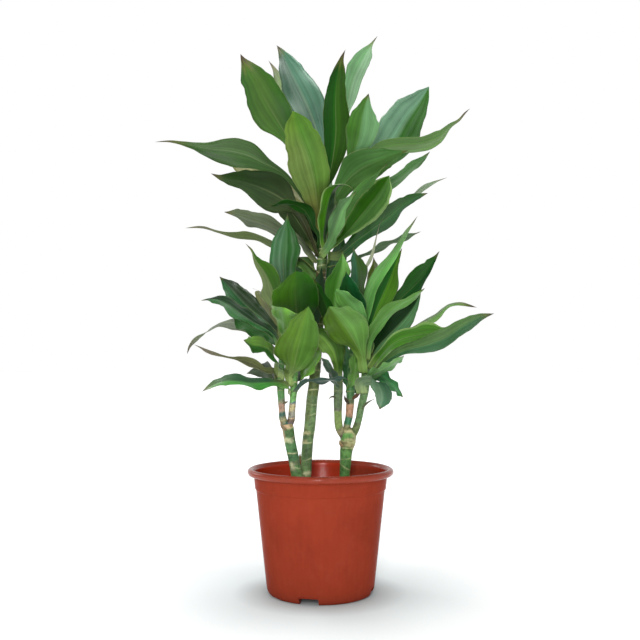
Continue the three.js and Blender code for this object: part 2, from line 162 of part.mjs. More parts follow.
    points: [[-28.7, -13.3, 265.9], [-22.7, -27, 287], [-13.5, -38.4, 296.8], [-4.5, -53.6, 307.7], [1.8, -68, 317.8]] },
  { name: 'leaf_right_01', colour: 0x5a8c3c, twist: -0.484, faceAt: 0.55, face: [-0.2976, 0.5028, 0.8115],
    left: [5.5, 5.5, 5.6, 7.4, 11.1, 15.8, 20.5, 24.3, 26.2, 26.1, 25, 22.7, 19.1, 14.1, 7.8, 0], right: [6.9, 7.6, 7, 8.2, 11.3, 15.8, 20.5, 24.3, 26.2, 26.1, 25, 22.7, 19.1, 14.1, 7.8, 0],
    points: [[57, -15, 285.9], [53.8, -26.4, 306.4], [45, -51.7, 324.2], [33.9, -82.7, 341.1], [22.2, -114.4, 354.7], [9.8, -149, 366.7]] },
  { name: 'leaf_right_02', colour: 0x5a8728, twist: -0.680, faceAt: 0.55, face: [-0.4944, 0.6609, 0.5647],
    left: [5.5, 5.5, 5.7, 7, 9.2, 11.8, 14.4, 16.4, 17.4, 17.1, 16, 14.7, 12.8, 9.7, 4.9, 0], right: [5.5, 5.5, 5.6, 6.3, 6.9, 7, 7.8, 9.3, 14.2, 15.6, 15.3, 13.9, 11.4, 8.2, 4.4, 0],
    points: [[22, -12.6, 276.6], [22.9, -13.3, 290.6], [20.1, -27.6, 306.4], [14.7, -43.4, 320.5], [6.9, -58, 330.4], [-1.9, -70.8, 335.8], [-9.3, -80.8, 333.8]] },
  { name: 'leaf_right_03', colour: 0x589448, twist: -0.203, faceAt: 0.55, face: [-0.0464, 0.4900, 0.8705],
    left: [5.5, 5.5, 5.6, 6.4, 7.8, 9.5, 11.3, 13, 14.3, 14.9, 14.6, 13.3, 11.1, 8.1, 4.4, 0], right: [5.5, 5.5, 5.6, 6.4, 7.8, 9.5, 11.3, 13, 14.3, 14.9, 14.6, 13.3, 11.1, 8.1, 4.4, 0],
    points: [[58.3, -13.9, 314], [57.2, -17.2, 327], [55.2, -24.3, 342.7], [48, -42.8, 358.9], [38.4, -62.8, 370.6], [27.7, -87.2, 381.7], [18.7, -109.5, 389.9]] },
  { name: 'leaf_right_04', colour: 0x0f411e, twist: -0.213, faceAt: 0.55, face: [0.5591, -0.7261, 0.4001],
    left: [5.5, 5.5, 5.6, 6.3, 7.5, 9.2, 12, 15.5, 19.3, 20.6, 18.8, 15.3, 11.4, 7.5, 2.6, 0], right: [5.5, 5.5, 5.6, 6.3, 7.5, 9.1, 10.8, 12.4, 13.8, 14.7, 14.9, 13.8, 11.2, 7.5, 2.6, 0],
    points: [[18.8, 1.1, 324.3], [17.2, 4.3, 337.3], [20.4, 27.9, 357.7], [20.1, 52.2, 392], [21.9, 70.6, 421.4], [25, 84.5, 445.5], [29.6, 97.2, 468.5], [34.3, 110.2, 493.4]] },
  { name: 'leaf_right_05', colour: 0x5f963c, twist: 0.138, faceAt: 0.55, face: [-0.5135, 0.8017, 0.3061],
    left: [5.5, 5.5, 5.6, 6.4, 7.7, 9.3, 11, 12.7, 14, 14.8, 15.1, 15.8, 15.3, 11.6, 3.5, 0], right: [5.5, 5.5, 5.6, 6.4, 7.7, 9.3, 11, 12.7, 14.2, 16.5, 18.6, 18.5, 13.5, 7.9, 2.5, 0],
    points: [[25.7, -9.4, 315.6], [27.8, -12.2, 328.6], [18.4, -12.5, 349.6], [18.3, -20.9, 382], [22.1, -25.7, 399.9], [25.9, -30.3, 416.5], [27.8, -34.1, 430.4], [28.3, -38, 444.2]] },
  { name: 'leaf_right_06', colour: 0x0f4623, twist: -0.197, faceAt: 0.55, face: [0.3219, 0.6106, 0.7235],
    left: [5.5, 5.5, 5.7, 6.6, 8.1, 10.1, 12.2, 14.2, 15.8, 16.8, 16.8, 15.2, 12.2, 8, 2.8, 0], right: [5.5, 5.5, 5.7, 6.6, 8.1, 10.1, 12.2, 14.2, 15.8, 16.8, 16.8, 15.2, 12.2, 8, 2.8, 0],
    points: [[41.1, 5, 327.9], [39.1, 2.1, 340.9], [43.8, -36.8, 368.1], [39.3, -54.4, 385], [34.4, -69.8, 400.3], [31.5, -83, 414.2]] },
  { name: 'leaf_right_07', colour: 0x3c5a50, twist: 0.143, faceAt: 0.55, face: [-0.7299, 0.6602, 0.1768],
    left: [5.5, 5.5, 5.6, 6.3, 7.5, 9.1, 10.8, 12.4, 14, 17.4, 21.3, 22.8, 18.1, 12.6, 4.3, 0], right: [5.5, 5.5, 5.6, 6.3, 7.5, 9.1, 10.8, 12.4, 13.8, 14.7, 14.9, 13.9, 11.8, 8.4, 3.1, 0],
    points: [[50.1, 7.1, 332.9], [53, 5.2, 345.9], [48.2, -7.4, 363], [49.7, -17.7, 388.7], [48.9, -23.5, 410.6], [46.2, -26.8, 431.2], [42.2, -28.8, 450.5]] },
  { name: 'leaf_right_10', colour: 0x64a25c, twist: -0.295, faceAt: 0.55, face: [-0.7132, -0.6638, 0.2251],
    left: [5.5, 5.5, 5.8, 7.5, 10, 12.4, 13.9, 13.2, 11.9, 10, 6.8, 6, 5.8, 4.4, 1.5, 0], right: [5.5, 5.5, 5.8, 7.5, 10, 12.4, 13.8, 13.2, 11.8, 10.2, 8.8, 7.3, 5.7, 4.5, 2.2, 0],
    points: [[66.3, -5.9, 312.3], [69.6, -4.8, 325.3], [59.8, -12.2, 340.4], [59.5, -17.8, 366.5], [64.5, -23.7, 391], [76.5, -30.1, 412.6], [89.7, -36.7, 434], [102.1, -43.1, 453.9], [113.1, -48.9, 471.2], [123.4, -54.6, 487]] },
  { name: 'leaf_right_11', colour: 0x266c05, twist: 0.047, faceAt: 0.55, face: [0.4484, -0.8395, 0.3069],
    left: [5.5, 5.5, 5.7, 7, 9.1, 11.4, 13.5, 14.8, 14.4, 12.7, 10.7, 8.6, 6.4, 4, 1.6, 0], right: [5.5, 5.5, 5.7, 7, 9.1, 11.4, 13.5, 15, 16.6, 17.2, 16, 8.9, 5.1, 3.8, 2.5, 0],
    points: [[58.8, -2.4, 322.3], [57.7, 0.9, 335.3], [67, -0.8, 351.3], [75.6, 8.5, 373.1], [84.4, 19, 392.5], [95, 33.2, 415.4], [104.6, 49.1, 439], [114.4, 64.3, 460.2]] },
  { name: 'leaf_right_12', colour: 0x205523, twist: -0.568, faceAt: 0.55, face: [0.6666, -0.7453, 0.0099],
    left: [5.5, 5.5, 5.6, 6.4, 7.8, 9.5, 11.2, 12.7, 14.1, 17.4, 21.1, 21.6, 17.5, 11.5, 4, 0], right: [5.5, 5.5, 5.6, 6.4, 7.8, 9.5, 11.3, 13, 14.5, 15.5, 15, 10.1, 6.2, 4, 3, 0],
    points: [[58.2, -2.3, 316.1], [57, 1, 329.1], [73.8, 23.9, 345.4], [90.4, 46.6, 368.1], [108.6, 65.3, 385.8], [127.2, 82.3, 402.5], [146.3, 99.3, 421], [161.2, 114.6, 441.3], [175.8, 130.1, 463.6]] },
  { name: 'leaf_right_15', colour: 0x73a04b, twist: -0.523, faceAt: 0.55, face: [-0.2193, 0.4886, 0.8445],
    left: [5.5, 5.5, 5.6, 6.2, 7.3, 8.7, 10.1, 11.4, 12.4, 12.9, 12.6, 11.5, 10.6, 8.3, 3.4, 0], right: [5.5, 5.5, 5.6, 6.2, 7.3, 8.7, 10.1, 11.4, 12.4, 12.9, 12.6, 11.2, 8.9, 5.9, 2.1, 0],
    points: [[59.6, -14.7, 303.4], [62.3, -24.6, 325.8], [69.8, -40.8, 344.8], [82.7, -58, 360.8], [96.5, -74.1, 372.5], [112.3, -90.7, 380.8], [126.3, -107.6, 391.3]] },
  { name: 'leaf_right_16', colour: 0x3c6950, twist: -0.636, faceAt: 0.55, face: [-0.1910, -0.9757, 0.1077],
    left: [8.1, 8.2, 8.7, 10.4, 12.9, 14.4, 15.4, 15.9, 16.2, 15.5, 14, 11.9, 9.2, 6, 2.2, 0], right: [8.1, 8.1, 8.3, 9.3, 10.9, 12.8, 14.6, 15.7, 15.4, 13.7, 11.5, 9.3, 6.7, 4.5, 2.3, 0],
    points: [[65, -3.4, 300.4], [74.8, -1.3, 319.5], [88.4, 2.4, 334.1], [103.2, 3.3, 348.8], [116.3, 1.2, 363.4], [126.6, -3.1, 379.1], [132.7, -8.1, 394.7]] },
  { name: 'leaf_right_17', colour: 0x507846, twist: -0.229, faceAt: 0.55, face: [-0.2641, -0.3591, 0.8952],
    left: [5.5, 5.5, 5.8, 7.7, 10.4, 12.7, 12.1, 8.9, 5.9, 4.2, 3.4, 2.7, 2.5, 3.7, 1.6, 0], right: [5.5, 5.5, 5.8, 7.7, 10.4, 13.2, 16.4, 17.7, 18, 15.7, 11.8, 3.6, 2.6, 4.6, 2.8, 0],
    points: [[65.8, -4.5, 293.6], [79.2, 4.2, 313.5], [107.5, 22.3, 335.2], [129.2, 35.8, 347.1], [150, 49.3, 358.5], [163.7, 58.7, 366.6], [173.2, 66.1, 374.6], [182.5, 72.6, 380.2], [196.6, 81.3, 382.8], [210.8, 90.1, 381.6], [225.2, 99.2, 378.4]] },
  { name: 'leaf_right_18', colour: 0x5a8c28, twist: 0.223, faceAt: 0.55, face: [-0.3178, 0.8106, 0.4919],
    left: [8.4, 9.4, 10.8, 13.1, 14.8, 14.9, 14.6, 14, 13.9, 13.1, 11.8, 10, 7.7, 5, 1.8, 0], right: [8.4, 8.4, 8.5, 9.3, 10.5, 11.9, 13.2, 14.1, 14.7, 16.8, 15.9, 13.2, 7.1, 4.5, 1.8, 0],
    points: [[65.2, -12.5, 291], [74.1, -13, 303.7], [88.3, -16, 320.7], [106.7, -15.1, 331.8], [131, -9.3, 337.2], [158.9, 2.4, 341.4], [184.9, 15.9, 344.5]] },
  { name: 'leaf_right_19', colour: 0x325f37, twist: -0.507, faceAt: 0.55, face: [-0.5313, -0.7858, 0.3165],
    left: [5.5, 5.5, 5.6, 6.4, 7.8, 9.5, 11.3, 12.9, 13.6, 13.4, 12.5, 12.7, 10.8, 6.4, 3.5, 0], right: [5.5, 5.5, 5.6, 6.2, 7.2, 8.3, 9.1, 10.3, 12.6, 13.5, 13.6, 11.8, 9.9, 8.1, 3.5, 0],
    points: [[66.3, -6.6, 276.4], [75.3, -14, 293.2], [90.5, -21.4, 306.3], [109.2, -30.1, 316.1], [133.7, -41.6, 322.4], [157.6, -54.3, 331.8], [177.3, -66.8, 345.3], [195.3, -78.6, 356.1], [213.1, -89.5, 361.2]] },
  { name: 'leaf_right_21', colour: 0x325f37, twist: -0.025, faceAt: 0.55, face: [0.8089, 0.5200, 0.2745],
    left: [5.5, 6.5, 8, 10.1, 10.3, 10.4, 11, 11.5, 11.7, 11.8, 11.1, 9.3, 7.5, 6.8, 3, 0], right: [5.5, 5.5, 5.6, 6.2, 7.2, 8.3, 9.4, 10, 8.7, 7.3, 7, 7.6, 6.4, 5.3, 2.9, 0],
    points: [[62.1, -14.5, 280.8], [64.7, -14.9, 281.5], [74.6, -25.1, 284.3], [85.4, -35.8, 278.8], [95.9, -47.6, 268.3], [103.9, -57.7, 256.8]] },
  { name: 'leaf_right_22', colour: 0x467d5f, twist: -0.714, faceAt: 0.55, face: [0.2868, -0.3412, 0.8952],
    left: [7.8, 7.8, 7.9, 8.9, 10.5, 12.5, 13.5, 14.1, 14.1, 13.3, 11.7, 10.4, 9.4, 7.2, 3, 0], right: [8.2, 8.7, 9.3, 9.5, 9.9, 10.7, 12.4, 14.5, 15.5, 11.6, 11.3, 11, 10.2, 8.2, 3, 0],
    points: [[54.4, -13.1, 259.7], [52.9, -16.3, 272.7], [69.8, -38.2, 277], [76, -61.2, 268.9], [76.5, -88.9, 257.7], [69.9, -123.9, 245.8]] },
  { name: 'leaf_right_24', colour: 0x467d32, twist: -0.451, faceAt: 0.55, face: [-0.8597, 0.4885, 0.1494],
    left: [5.5, 5.5, 5.6, 6.3, 7.5, 8.9, 10.4, 11.7, 12.6, 13, 12.4, 10.9, 8.6, 5.6, 2, 0], right: [5.5, 5.5, 5.6, 6.3, 7.5, 8.9, 10.4, 11.7, 12.6, 13, 12.4, 10.9, 8.6, 5.6, 2, 0],
    points: [[26.4, -10.3, 305.4], [28.4, -13.2, 318.4], [15.4, -36.3, 342.4], [9.5, -53.9, 364.8], [3.1, -65.9, 380.5], [-3.2, -75.5, 393.7], [-9.9, -84.9, 406.6]] },
  { name: 'leaf_right_25', colour: 0x195a05, twist: 0.380, faceAt: 0.55, face: [0.6059, -0.5608, 0.5642],
    left: [5.5, 5.5, 5.7, 6.6, 8.1, 10, 11.8, 13.2, 13.9, 13.8, 13.9, 13.5, 11.5, 6.8, 2.2, 0], right: [5.5, 5.5, 5.7, 6.6, 8.1, 10, 11.8, 13.2, 13.9, 13.7, 12.6, 10.8, 8.4, 5.4, 2, 0],
    points: [[16.2, -2, 310.3], [13, -0.6, 323.3], [11.5, 17.7, 350.6], [-0.7, 37.4, 385.5], [-10.3, 47.3, 405.5], [-22.9, 55.8, 424.3], [-38.5, 62.7, 437.6], [-58.5, 70.3, 448.2]] },
  { name: 'leaf_head_26', colour: 0x3e4232, twist: 0.131, faceAt: 0.55, face: [0.0835, -0.8413, 0.5341],
    left: [7.3, 7.8, 8.3, 9.5, 12.1, 15.3, 18.6, 20, 18.1, 15.3, 12.6, 10.9, 8.6, 5.6, 2, 0], right: [6.5, 6.5, 6.9, 7.7, 8.7, 9.9, 11, 12, 12.7, 13, 12.4, 10.9, 8.6, 5.6, 2, 0],
    points: [[-2.1, 7.2, 447.5], [-14.1, 11.3, 463.4], [-26.5, 22.8, 485.3], [-41.9, 36, 509.3], [-56.2, 47.7, 529.3], [-70.6, 57.6, 543.7], [-88.3, 69.3, 560.1]] },
];

// small leaves that are one piece with their cane
const SMALL_LEAVES = [
  { on: 'cane_middle', name: 'leaf_head_08', colour: 0x234614, twist: -0.457, faceAt: 0.55, face: [0.0992, -0.7537, 0.6497],
    left: [5.5, 5.5, 5.6, 6, 6.7, 7.7, 8.8, 10, 11.1, 12, 12.7, 13, 12.6, 9.5, 3.4, 0], right: [5.5, 5.5, 5.6, 6, 6.7, 7.7, 8.8, 10, 11.1, 12, 12.7, 13, 12, 8.5, 2.9, 0],
    points: [[3.7, 0, 498.3], [8.6, 9.4, 511.3], [30.3, 62.9, 544.7], [57.9, 114.5, 595.6], [77.4, 146, 632.7], [87.6, 162.9, 655.2], [97.6, 174.7, 669.8]] },
  { on: 'cane_middle', name: 'leaf_head_20', colour: 0x787346, twist: 0.159, faceAt: 0.55, face: [-0.0446, -0.6452, 0.7627],
    left: [5.5, 5.5, 5.6, 6.3, 7.5, 8.9, 10.4, 11.7, 12.9, 15.1, 17.1, 17.1, 11.9, 6.5, 2, 0], right: [5.5, 5.5, 5.6, 6.6, 8.3, 10.5, 12.4, 14, 15, 14.5, 13, 10.9, 8.6, 5.6, 2, 0],
    points: [[3.5, 0, 487.7], [2.9, 10.9, 500.7], [-17.1, 33.5, 513], [-45.7, 66, 542.5], [-75.5, 92.8, 564.8], [-103.2, 114.8, 580.9], [-131.8, 137.2, 600.5], [-161.3, 159.2, 620.6]] },
  { on: 'cane_left', name: 'leaf_left_05', colour: 0x82875a, twist: -0.226, faceAt: 0.55, face: [0.6621, -0.4833, 0.5728],
    left: [5.5, 5.5, 5.6, 5.9, 6.6, 7.4, 8.5, 9.6, 11.1, 13, 15.4, 21, 21, 1.5, 0.3, 0], right: [5.5, 5.5, 5.6, 5.9, 6.6, 7.4, 8.5, 9.5, 10.6, 11.5, 12.3, 12.8, 12.6, 1.1, 0.3, 0],
    points: [[-50.1, -12.7, 313.9], [-58, 5.7, 334.2], [-65.7, 24.4, 357.6], [-73.5, 41.1, 380.2], [-81.2, 52.7, 396.2], [-95.8, 63.2, 403.9]] },
  { on: 'cane_left', name: 'leaf_left_12', colour: 0x414628, twist: -0.950, faceAt: 0.55, face: [0.7907, 0.5580, 0.2520],
    left: [6.2, 7.1, 8.2, 9.9, 12.4, 15.2, 13.8, 9.6, 6.5, 6.2, 5.9, 5.2, 4.1, 2.8, 1.3, 0], right: [5.5, 5.5, 5.6, 6.4, 7.8, 10.3, 13.7, 17.1, 16.8, 15.3, 13.1, 9.9, 6.1, 2.9, 1.3, 0],
    points: [[-51.9, -14.9, 266.2], [-59.9, -8.6, 279.2], [-62.8, 11.1, 288.8], [-75.3, 28.4, 292.6], [-88.9, 49.1, 288.8], [-104.8, 74.9, 283.5]] },
  { on: 'cane_left', name: 'leaf_left_17', colour: 0x3c554b, twist: -0.060, faceAt: 0.55, face: [0.0977, 0.2823, 0.9543],
    left: [3.7, 2.6, 2.5, 3.2, 6.6, 11.5, 16.7, 18.4, 18.2, 16.8, 14.7, 12.3, 9.4, 6, 2.8, 0], right: [5.5, 5, 4.4, 4, 3.6, 4.8, 11, 10.4, 7.7, 5, 4.5, 5.5, 5.7, 4.6, 2.5, 0],
    points: [[-35.7, -12, 257], [-22.7, -26.7, 274.7], [-7.1, -35.8, 277.5], [12.1, -46.3, 279.1], [24.6, -53.1, 281.8], [38.3, -60.7, 277.6]] },
  { on: 'cane_right', name: 'leaf_right_08', colour: 0x465519, twist: 0.485, faceAt: 0.55, face: [-0.7035, -0.4005, 0.5872],
    left: [5.5, 5.5, 5.6, 6.3, 7.5, 8.9, 10.4, 11.7, 12.6, 13, 12.7, 11.4, 9.5, 7.3, 3.2, 0], right: [5.5, 5.5, 5.6, 6.3, 7.5, 8.9, 10.4, 11.7, 12.6, 13, 12.6, 12.8, 12.2, 9.3, 3.3, 0],
    points: [[45.6, 10.7, 339.6], [50, 19, 352.6], [55.6, 39.6, 365], [64.5, 64.2, 392.8], [71.8, 81.4, 413.8], [77.1, 97.5, 435.3], [77.1, 109.5, 452.5]] },
  { on: 'cane_right', name: 'leaf_right_09', colour: 0x96a082, twist: 0.741, faceAt: 0.55, face: [0.8870, -0.3187, -0.3342],
    left: [5.5, 5.5, 5.8, 7.4, 9.6, 11.1, 12.7, 13.9, 13.7, 10.3, 5.2, 2.3, 1.5, 1, 0.5, 0], right: [5.5, 5.5, 5.8, 7.4, 9.6, 10.8, 9.7, 7.5, 6, 7.6, 4.9, 2.9, 2.4, 1.4, 0.6, 0],
    points: [[46.1, 10.9, 344.7], [37.1, 8.9, 357.7], [48.9, 10.9, 370.5], [54.3, 10.1, 404], [61, 8.8, 429.4], [70.3, 7.3, 450.8], [75.6, 5.6, 470.7], [79.6, 4.2, 485.3], [87.6, 2.5, 501.2]] },
  { on: 'cane_right', name: 'leaf_right_20', colour: 0x96c882, twist: -0.667, faceAt: 0.55, face: [0.0085, 0.2345, 0.9721],
    left: [5.5, 5.5, 5.6, 6.6, 8.3, 10, 8.4, 9.5, 9.8, 9.5, 8.2, 6.6, 5.7, 4.6, 2.3, 0], right: [5.5, 5.6, 6.2, 7.5, 9.2, 9.4, 9.3, 9.3, 9.8, 10, 9.5, 8.4, 6.6, 4.3, 1.5, 0],
    points: [[58.8, -7.3, 272.8], [67.9, -27.3, 284.4], [79, -54.8, 291.9], [90, -90.1, 300.5], [98.8, -128, 309.7]] },
  { on: 'cane_right', name: 'leaf_right_23', colour: 0x4b6450, twist: -0.299, faceAt: 0.55, face: [0.5754, 0.5062, 0.6424],
    left: [5.5, 5.5, 5.6, 5.9, 6.4, 7.1, 7.8, 8.4, 8.8, 8.9, 7.6, 5.6, 3.9, 4.1, 2.2, 0], right: [3.7, 3, 5.2, 7, 9, 11.1, 10.8, 9.1, 7.2, 8.2, 12.6, 12.5, 9.8, 5.5, 1.6, 0],
    points: [[23.3, -5, 262.9], [17.6, -18.3, 277.7], [13.6, -28.9, 289.6], [8.3, -37, 300.6], [-0.7, -43.5, 307.7]] },
  { on: 'cane_middle', name: 'leaf_head_28', colour: 0x3c6928, twist: -0.458, faceAt: 0.55, face: [0.3275, -0.6514, 0.6844],
    left: [5.5, 5.5, 5.7, 6.6, 8.2, 10.2, 12.3, 14.1, 15.5, 16, 15.2, 13.4, 10.6, 6.9, 2.4, 0], right: [5.5, 5.5, 5.7, 6.6, 8.2, 10.2, 12.3, 14.1, 15.5, 16, 15.2, 13.4, 10.6, 6.9, 2.4, 0],
    points: [[2.8, 0, 454], [5.1, 11.6, 467], [-7.6, 52.6, 519], [-13.7, 97.8, 565.7], [-20.1, 140.1, 608.7], [-25.2, 177.2, 646.4]] },
  { on: 'cane_middle', name: 'leaf_head_29', colour: 0x3c6928, twist: -0.106, faceAt: 0.55, face: [-0.0684, -0.4855, 0.8716],
    left: [5.5, 5.5, 5.6, 6.4, 7.7, 9.3, 11, 12.5, 13.6, 14, 13.3, 11.7, 9.2, 6, 2.1, 0], right: [5.5, 5.5, 5.6, 6.4, 7.7, 9.3, 11, 12.5, 13.6, 14, 13.3, 11.7, 9.2, 6, 2.1, 0],
    points: [[2.4, 0.4, 444.5], [6.2, 11.7, 457.5], [24.4, 53, 470.1], [45.5, 98.9, 496.2], [67.7, 136.6, 515.1], [84.1, 161.7, 526.5]] },
  { on: 'cane_left', name: 'leaf_left_18', colour: 0x3c6e2d, twist: -0.138, faceAt: 0.55, face: [0.4535, -0.4323, 0.7794],
    left: [5.5, 5.5, 5.6, 6.5, 8, 9.8, 11.7, 13.3, 14.5, 15, 14.3, 12.5, 9.9, 6.5, 2.3, 0], right: [5.5, 5.5, 5.6, 6.5, 8, 9.8, 11.7, 13.3, 14.5, 15, 14.3, 12.5, 9.9, 6.5, 2.3, 0],
    points: [[-32.9, -9.5, 317], [-38, -1.8, 330], [-39.8, 61.9, 361.8], [-44.3, 111.6, 392.9], [-44, 147.2, 416.1]] },
  { on: 'cane_right', name: 'leaf_right_26', colour: 0x325f28, twist: 0.308, faceAt: 0.55, face: [-0.6364, -0.3937, 0.6634],
    left: [5.5, 5.5, 5.6, 6.5, 8, 9.8, 11.7, 13.3, 14.5, 15, 14.3, 12.5, 9.9, 6.5, 2.3, 0], right: [5.5, 5.5, 5.6, 6.5, 8, 9.8, 11.7, 13.3, 14.5, 15, 14.3, 12.5, 9.9, 6.5, 2.3, 0],
    points: [[44.3, 10.1, 325.2], [49.6, 18.4, 338.2], [41.1, 58.3, 358.9], [37.2, 116.1, 390.3], [34.2, 167.9, 417.7]] },
  { on: 'cane_right', name: 'leaf_right_27', colour: 0x3c692d, twist: 0.253, faceAt: 0.55, face: [0.0555, -0.2747, 0.9599],
    left: [5.5, 5.5, 5.6, 6.4, 7.7, 9.3, 11, 12.5, 13.6, 14, 13.3, 11.7, 9.2, 6, 2.1, 0], right: [5.5, 5.5, 5.6, 6.4, 7.7, 9.3, 11, 12.5, 13.6, 14, 13.3, 11.7, 9.2, 6, 2.1, 0],
    points: [[59.5, -8, 290.4], [55.2, 1.8, 303.4], [78.8, 40.5, 314.3], [101, 77.7, 327.1], [130.6, 118.7, 333.5], [154.7, 150.2, 337]] },
  { on: 'cane_middle', name: 'leaf_head_30', colour: 0x48622a, twist: -0.200, faceAt: 0.55, face: [0.4363, -0.5935, 0.6763],
    left: [6.5, 6.5, 6.7, 7.5, 8.9, 10.6, 12, 12.8, 12.9, 12.2, 11, 9.3, 7.2, 4.6, 1.7, 0], right: [6.5, 7.6, 9.3, 12, 13.3, 14.1, 15.1, 18, 20.7, 20.3, 18.4, 14.1, 9.4, 5.2, 1.7, 0],
    points: [[0.7, 2.3, 411.3], [-10, 3.7, 412.9], [-18.1, 6.9, 425.2], [-27.5, 10.7, 435], [-37, 14.3, 441.5], [-46.6, 17.9, 445.2]] },
  { on: 'cane_middle', name: 'leaf_head_31', colour: 0x0e260e, twist: 0.182, faceAt: 0.55, face: [0.3038, -0.7358, 0.6052],
    left: [7.5, 7.5, 7.7, 8.7, 10.3, 12.2, 13.8, 14.8, 14.9, 14.1, 12.6, 10.7, 8.3, 5.3, 2, 0], right: [7.5, 7.5, 7.7, 8.7, 10.3, 12.2, 13.8, 14.8, 14.9, 14.1, 12.6, 10.7, 8.3, 5.3, 2, 0],
    points: [[2, 1, 436.8], [-6, 14.1, 451.6], [-11.6, 27.8, 469.6], [-18.6, 40.1, 487.8], [-27.1, 50.1, 504.6], [-37, 56.9, 515.5], [-48.4, 62.5, 520.6]] },
  { on: 'cane_left', name: 'leaf_right_28', colour: 0x0a260e, twist: -1.009, faceAt: 0.55, face: [-0.4759, -0.8653, 0.1574],
    left: [7.6, 7.7, 7.9, 9.1, 11.2, 13.5, 15.5, 16.8, 16.8, 15.9, 14.3, 12.1, 9.4, 6, 2.2, 0], right: [7.6, 7.7, 7.9, 9.1, 11.2, 13.5, 15.5, 16.8, 16.8, 16, 15.1, 13.6, 11, 6.8, 2.3, 0],
    points: [[-33.6, -10.1, 303.6], [-24, -9, 316.6], [-27, -8.7, 330], [-16.5, -8, 351.1], [-8.6, -7.9, 370.9], [-4, -8.3, 389.4], [-0.7, -9.1, 409.1], [2, -10.1, 427.6]] },
  { on: 'cane_left', name: 'leaf_left_19', colour: 0x142e10, twist: -0.514, faceAt: 0.55, face: [-0.3127, 0.6529, -0.6899],
    left: [6, 6, 6.1, 7, 8.3, 10.1, 11.8, 13.4, 14.5, 15, 14.3, 12.5, 9.9, 6.5, 2.3, 0], right: [6, 6, 6.1, 7, 8.3, 10.1, 12.5, 15.3, 17.2, 14.7, 13.1, 15.4, 10.6, 5.4, 1.5, 0],
    points: [[-49.3, -12, 329.1], [-58.5, -10.9, 328.6], [-71.8, -9.2, 339.2], [-89, -7.9, 346.5], [-106.2, -7, 356.4], [-122.2, -6.6, 368.3]] },
  { on: 'cane_left', name: 'leaf_left_20', colour: 0x103010, twist: 0.545, faceAt: 0.55, face: [-0.8021, 0.5886, 0.1009],
    left: [7, 7, 7.2, 8.2, 10.6, 14, 17.4, 17.1, 15.3, 13.3, 11.8, 10, 7.7, 5, 1.8, 0], right: [4.7, 3.5, 4.8, 6.9, 9.5, 11.4, 12.9, 13.8, 13.9, 13.1, 11.8, 10, 7.7, 5, 1.8, 0],
    points: [[-35.1, -11.8, 269.1], [-31.4, 10, 284.9], [-22.3, 23.1, 298.1], [-12.9, 29.9, 310.2], [-6.1, 33, 322.5]] },
  { on: 'cane_right', name: 'leaf_right_29', colour: 0x244426, twist: -0.538, faceAt: 0.55, face: [0.7106, -0.6954, 0.1071],
    left: [7.2, 6.1, 6.9, 10.6, 11.5, 12, 12.4, 12.9, 12.9, 12.2, 11, 9.3, 7.2, 4.6, 1.7, 0], right: [9.1, 9.1, 9.2, 9.7, 10.6, 11.5, 12.4, 12.9, 12.9, 12.2, 11, 9.3, 7.2, 4.6, 1.7, 0],
    points: [[39.9, 7.7, 259.4], [39.6, 16.3, 276.7], [37.1, 21, 298.1], [33.7, 18.2, 316.9], [30.2, 12.4, 333]] },
  { on: 'cane_right', name: 'leaf_right_30', colour: 0x48823e, twist: -0.480, faceAt: 0.55, face: [-0.8044, 0.5293, 0.2697],
    left: [6.6, 6.7, 7.9, 10.1, 12.9, 14.3, 13.5, 12.7, 12.8, 12.3, 11, 9.2, 7.3, 4.7, 1.7, 0], right: [6.6, 6.6, 6.7, 7.1, 7.7, 8.6, 9.4, 10.2, 10.8, 11, 10.5, 9.2, 7.3, 4.7, 1.7, 0],
    points: [[40, 7.8, 262.1], [42.9, -3.9, 278.6], [44.6, -12.6, 295.8], [45.1, -17.3, 311.5], [44.3, -19.8, 325.9]] },
  { on: 'cane_right', name: 'leaf_right_31', colour: 0x1e4218, twist: 0.704, faceAt: 0.55, face: [0.5316, -0.5338, 0.6576],
    left: [8.4, 8.4, 8.5, 9, 9.8, 10.6, 11.4, 11.9, 11.9, 11.2, 10.1, 8.6, 6.6, 4.3, 1.6, 0], right: [8.4, 8.4, 8.5, 9, 9.8, 10.6, 11.4, 11.9, 11.9, 11.2, 10.1, 8.6, 6.6, 4.3, 1.6, 0],
    points: [[59, -7.6, 278.2], [57.6, 12.7, 288.8], [54.3, 29.5, 302.1], [49.3, 39.7, 317], [43.3, 43, 333.5]] },
];

// ---- solids -----------------------------------------------------------------
const wasm = await Module();
wasm.setup();

function toSolid(geometry) {
  let g = geometry.clone();
  for (const key of Object.keys(g.attributes)) if (key !== 'position') g.deleteAttribute(key);
  g = mergeVertices(g, 1e-4);
  const tri = Array.from(g.index.array);
  const keep = [];
  for (let i = 0; i < tri.length; i += 3) {
    if (tri[i] !== tri[i + 1] && tri[i + 1] !== tri[i + 2] && tri[i] !== tri[i + 2]) keep.push(tri[i], tri[i + 1], tri[i + 2]);
  }
  return new wasm.Manifold(new wasm.Mesh({
    numProp: 3,
    vertProperties: new Float32Array(g.attributes.position.array),
    triVerts: new Uint32Array(keep),
  }));
}

function toGeometry(solid) {
  const mesh = solid.getMesh();
  const g = new THREE.BufferGeometry();
  g.setAttribute('position', new THREE.BufferAttribute(new Float32Array(mesh.vertProperties), 3));
  g.setIndex(new THREE.BufferAttribute(new Uint32Array(mesh.triVerts), 1));
  g.computeVertexNormals();
  return g;
}

function largest(solid) {
  const parts = solid.decompose();
  let best = parts[0];
  for (const p of parts) if (p.volume() > best.volume()) best = p;
  return best;
}

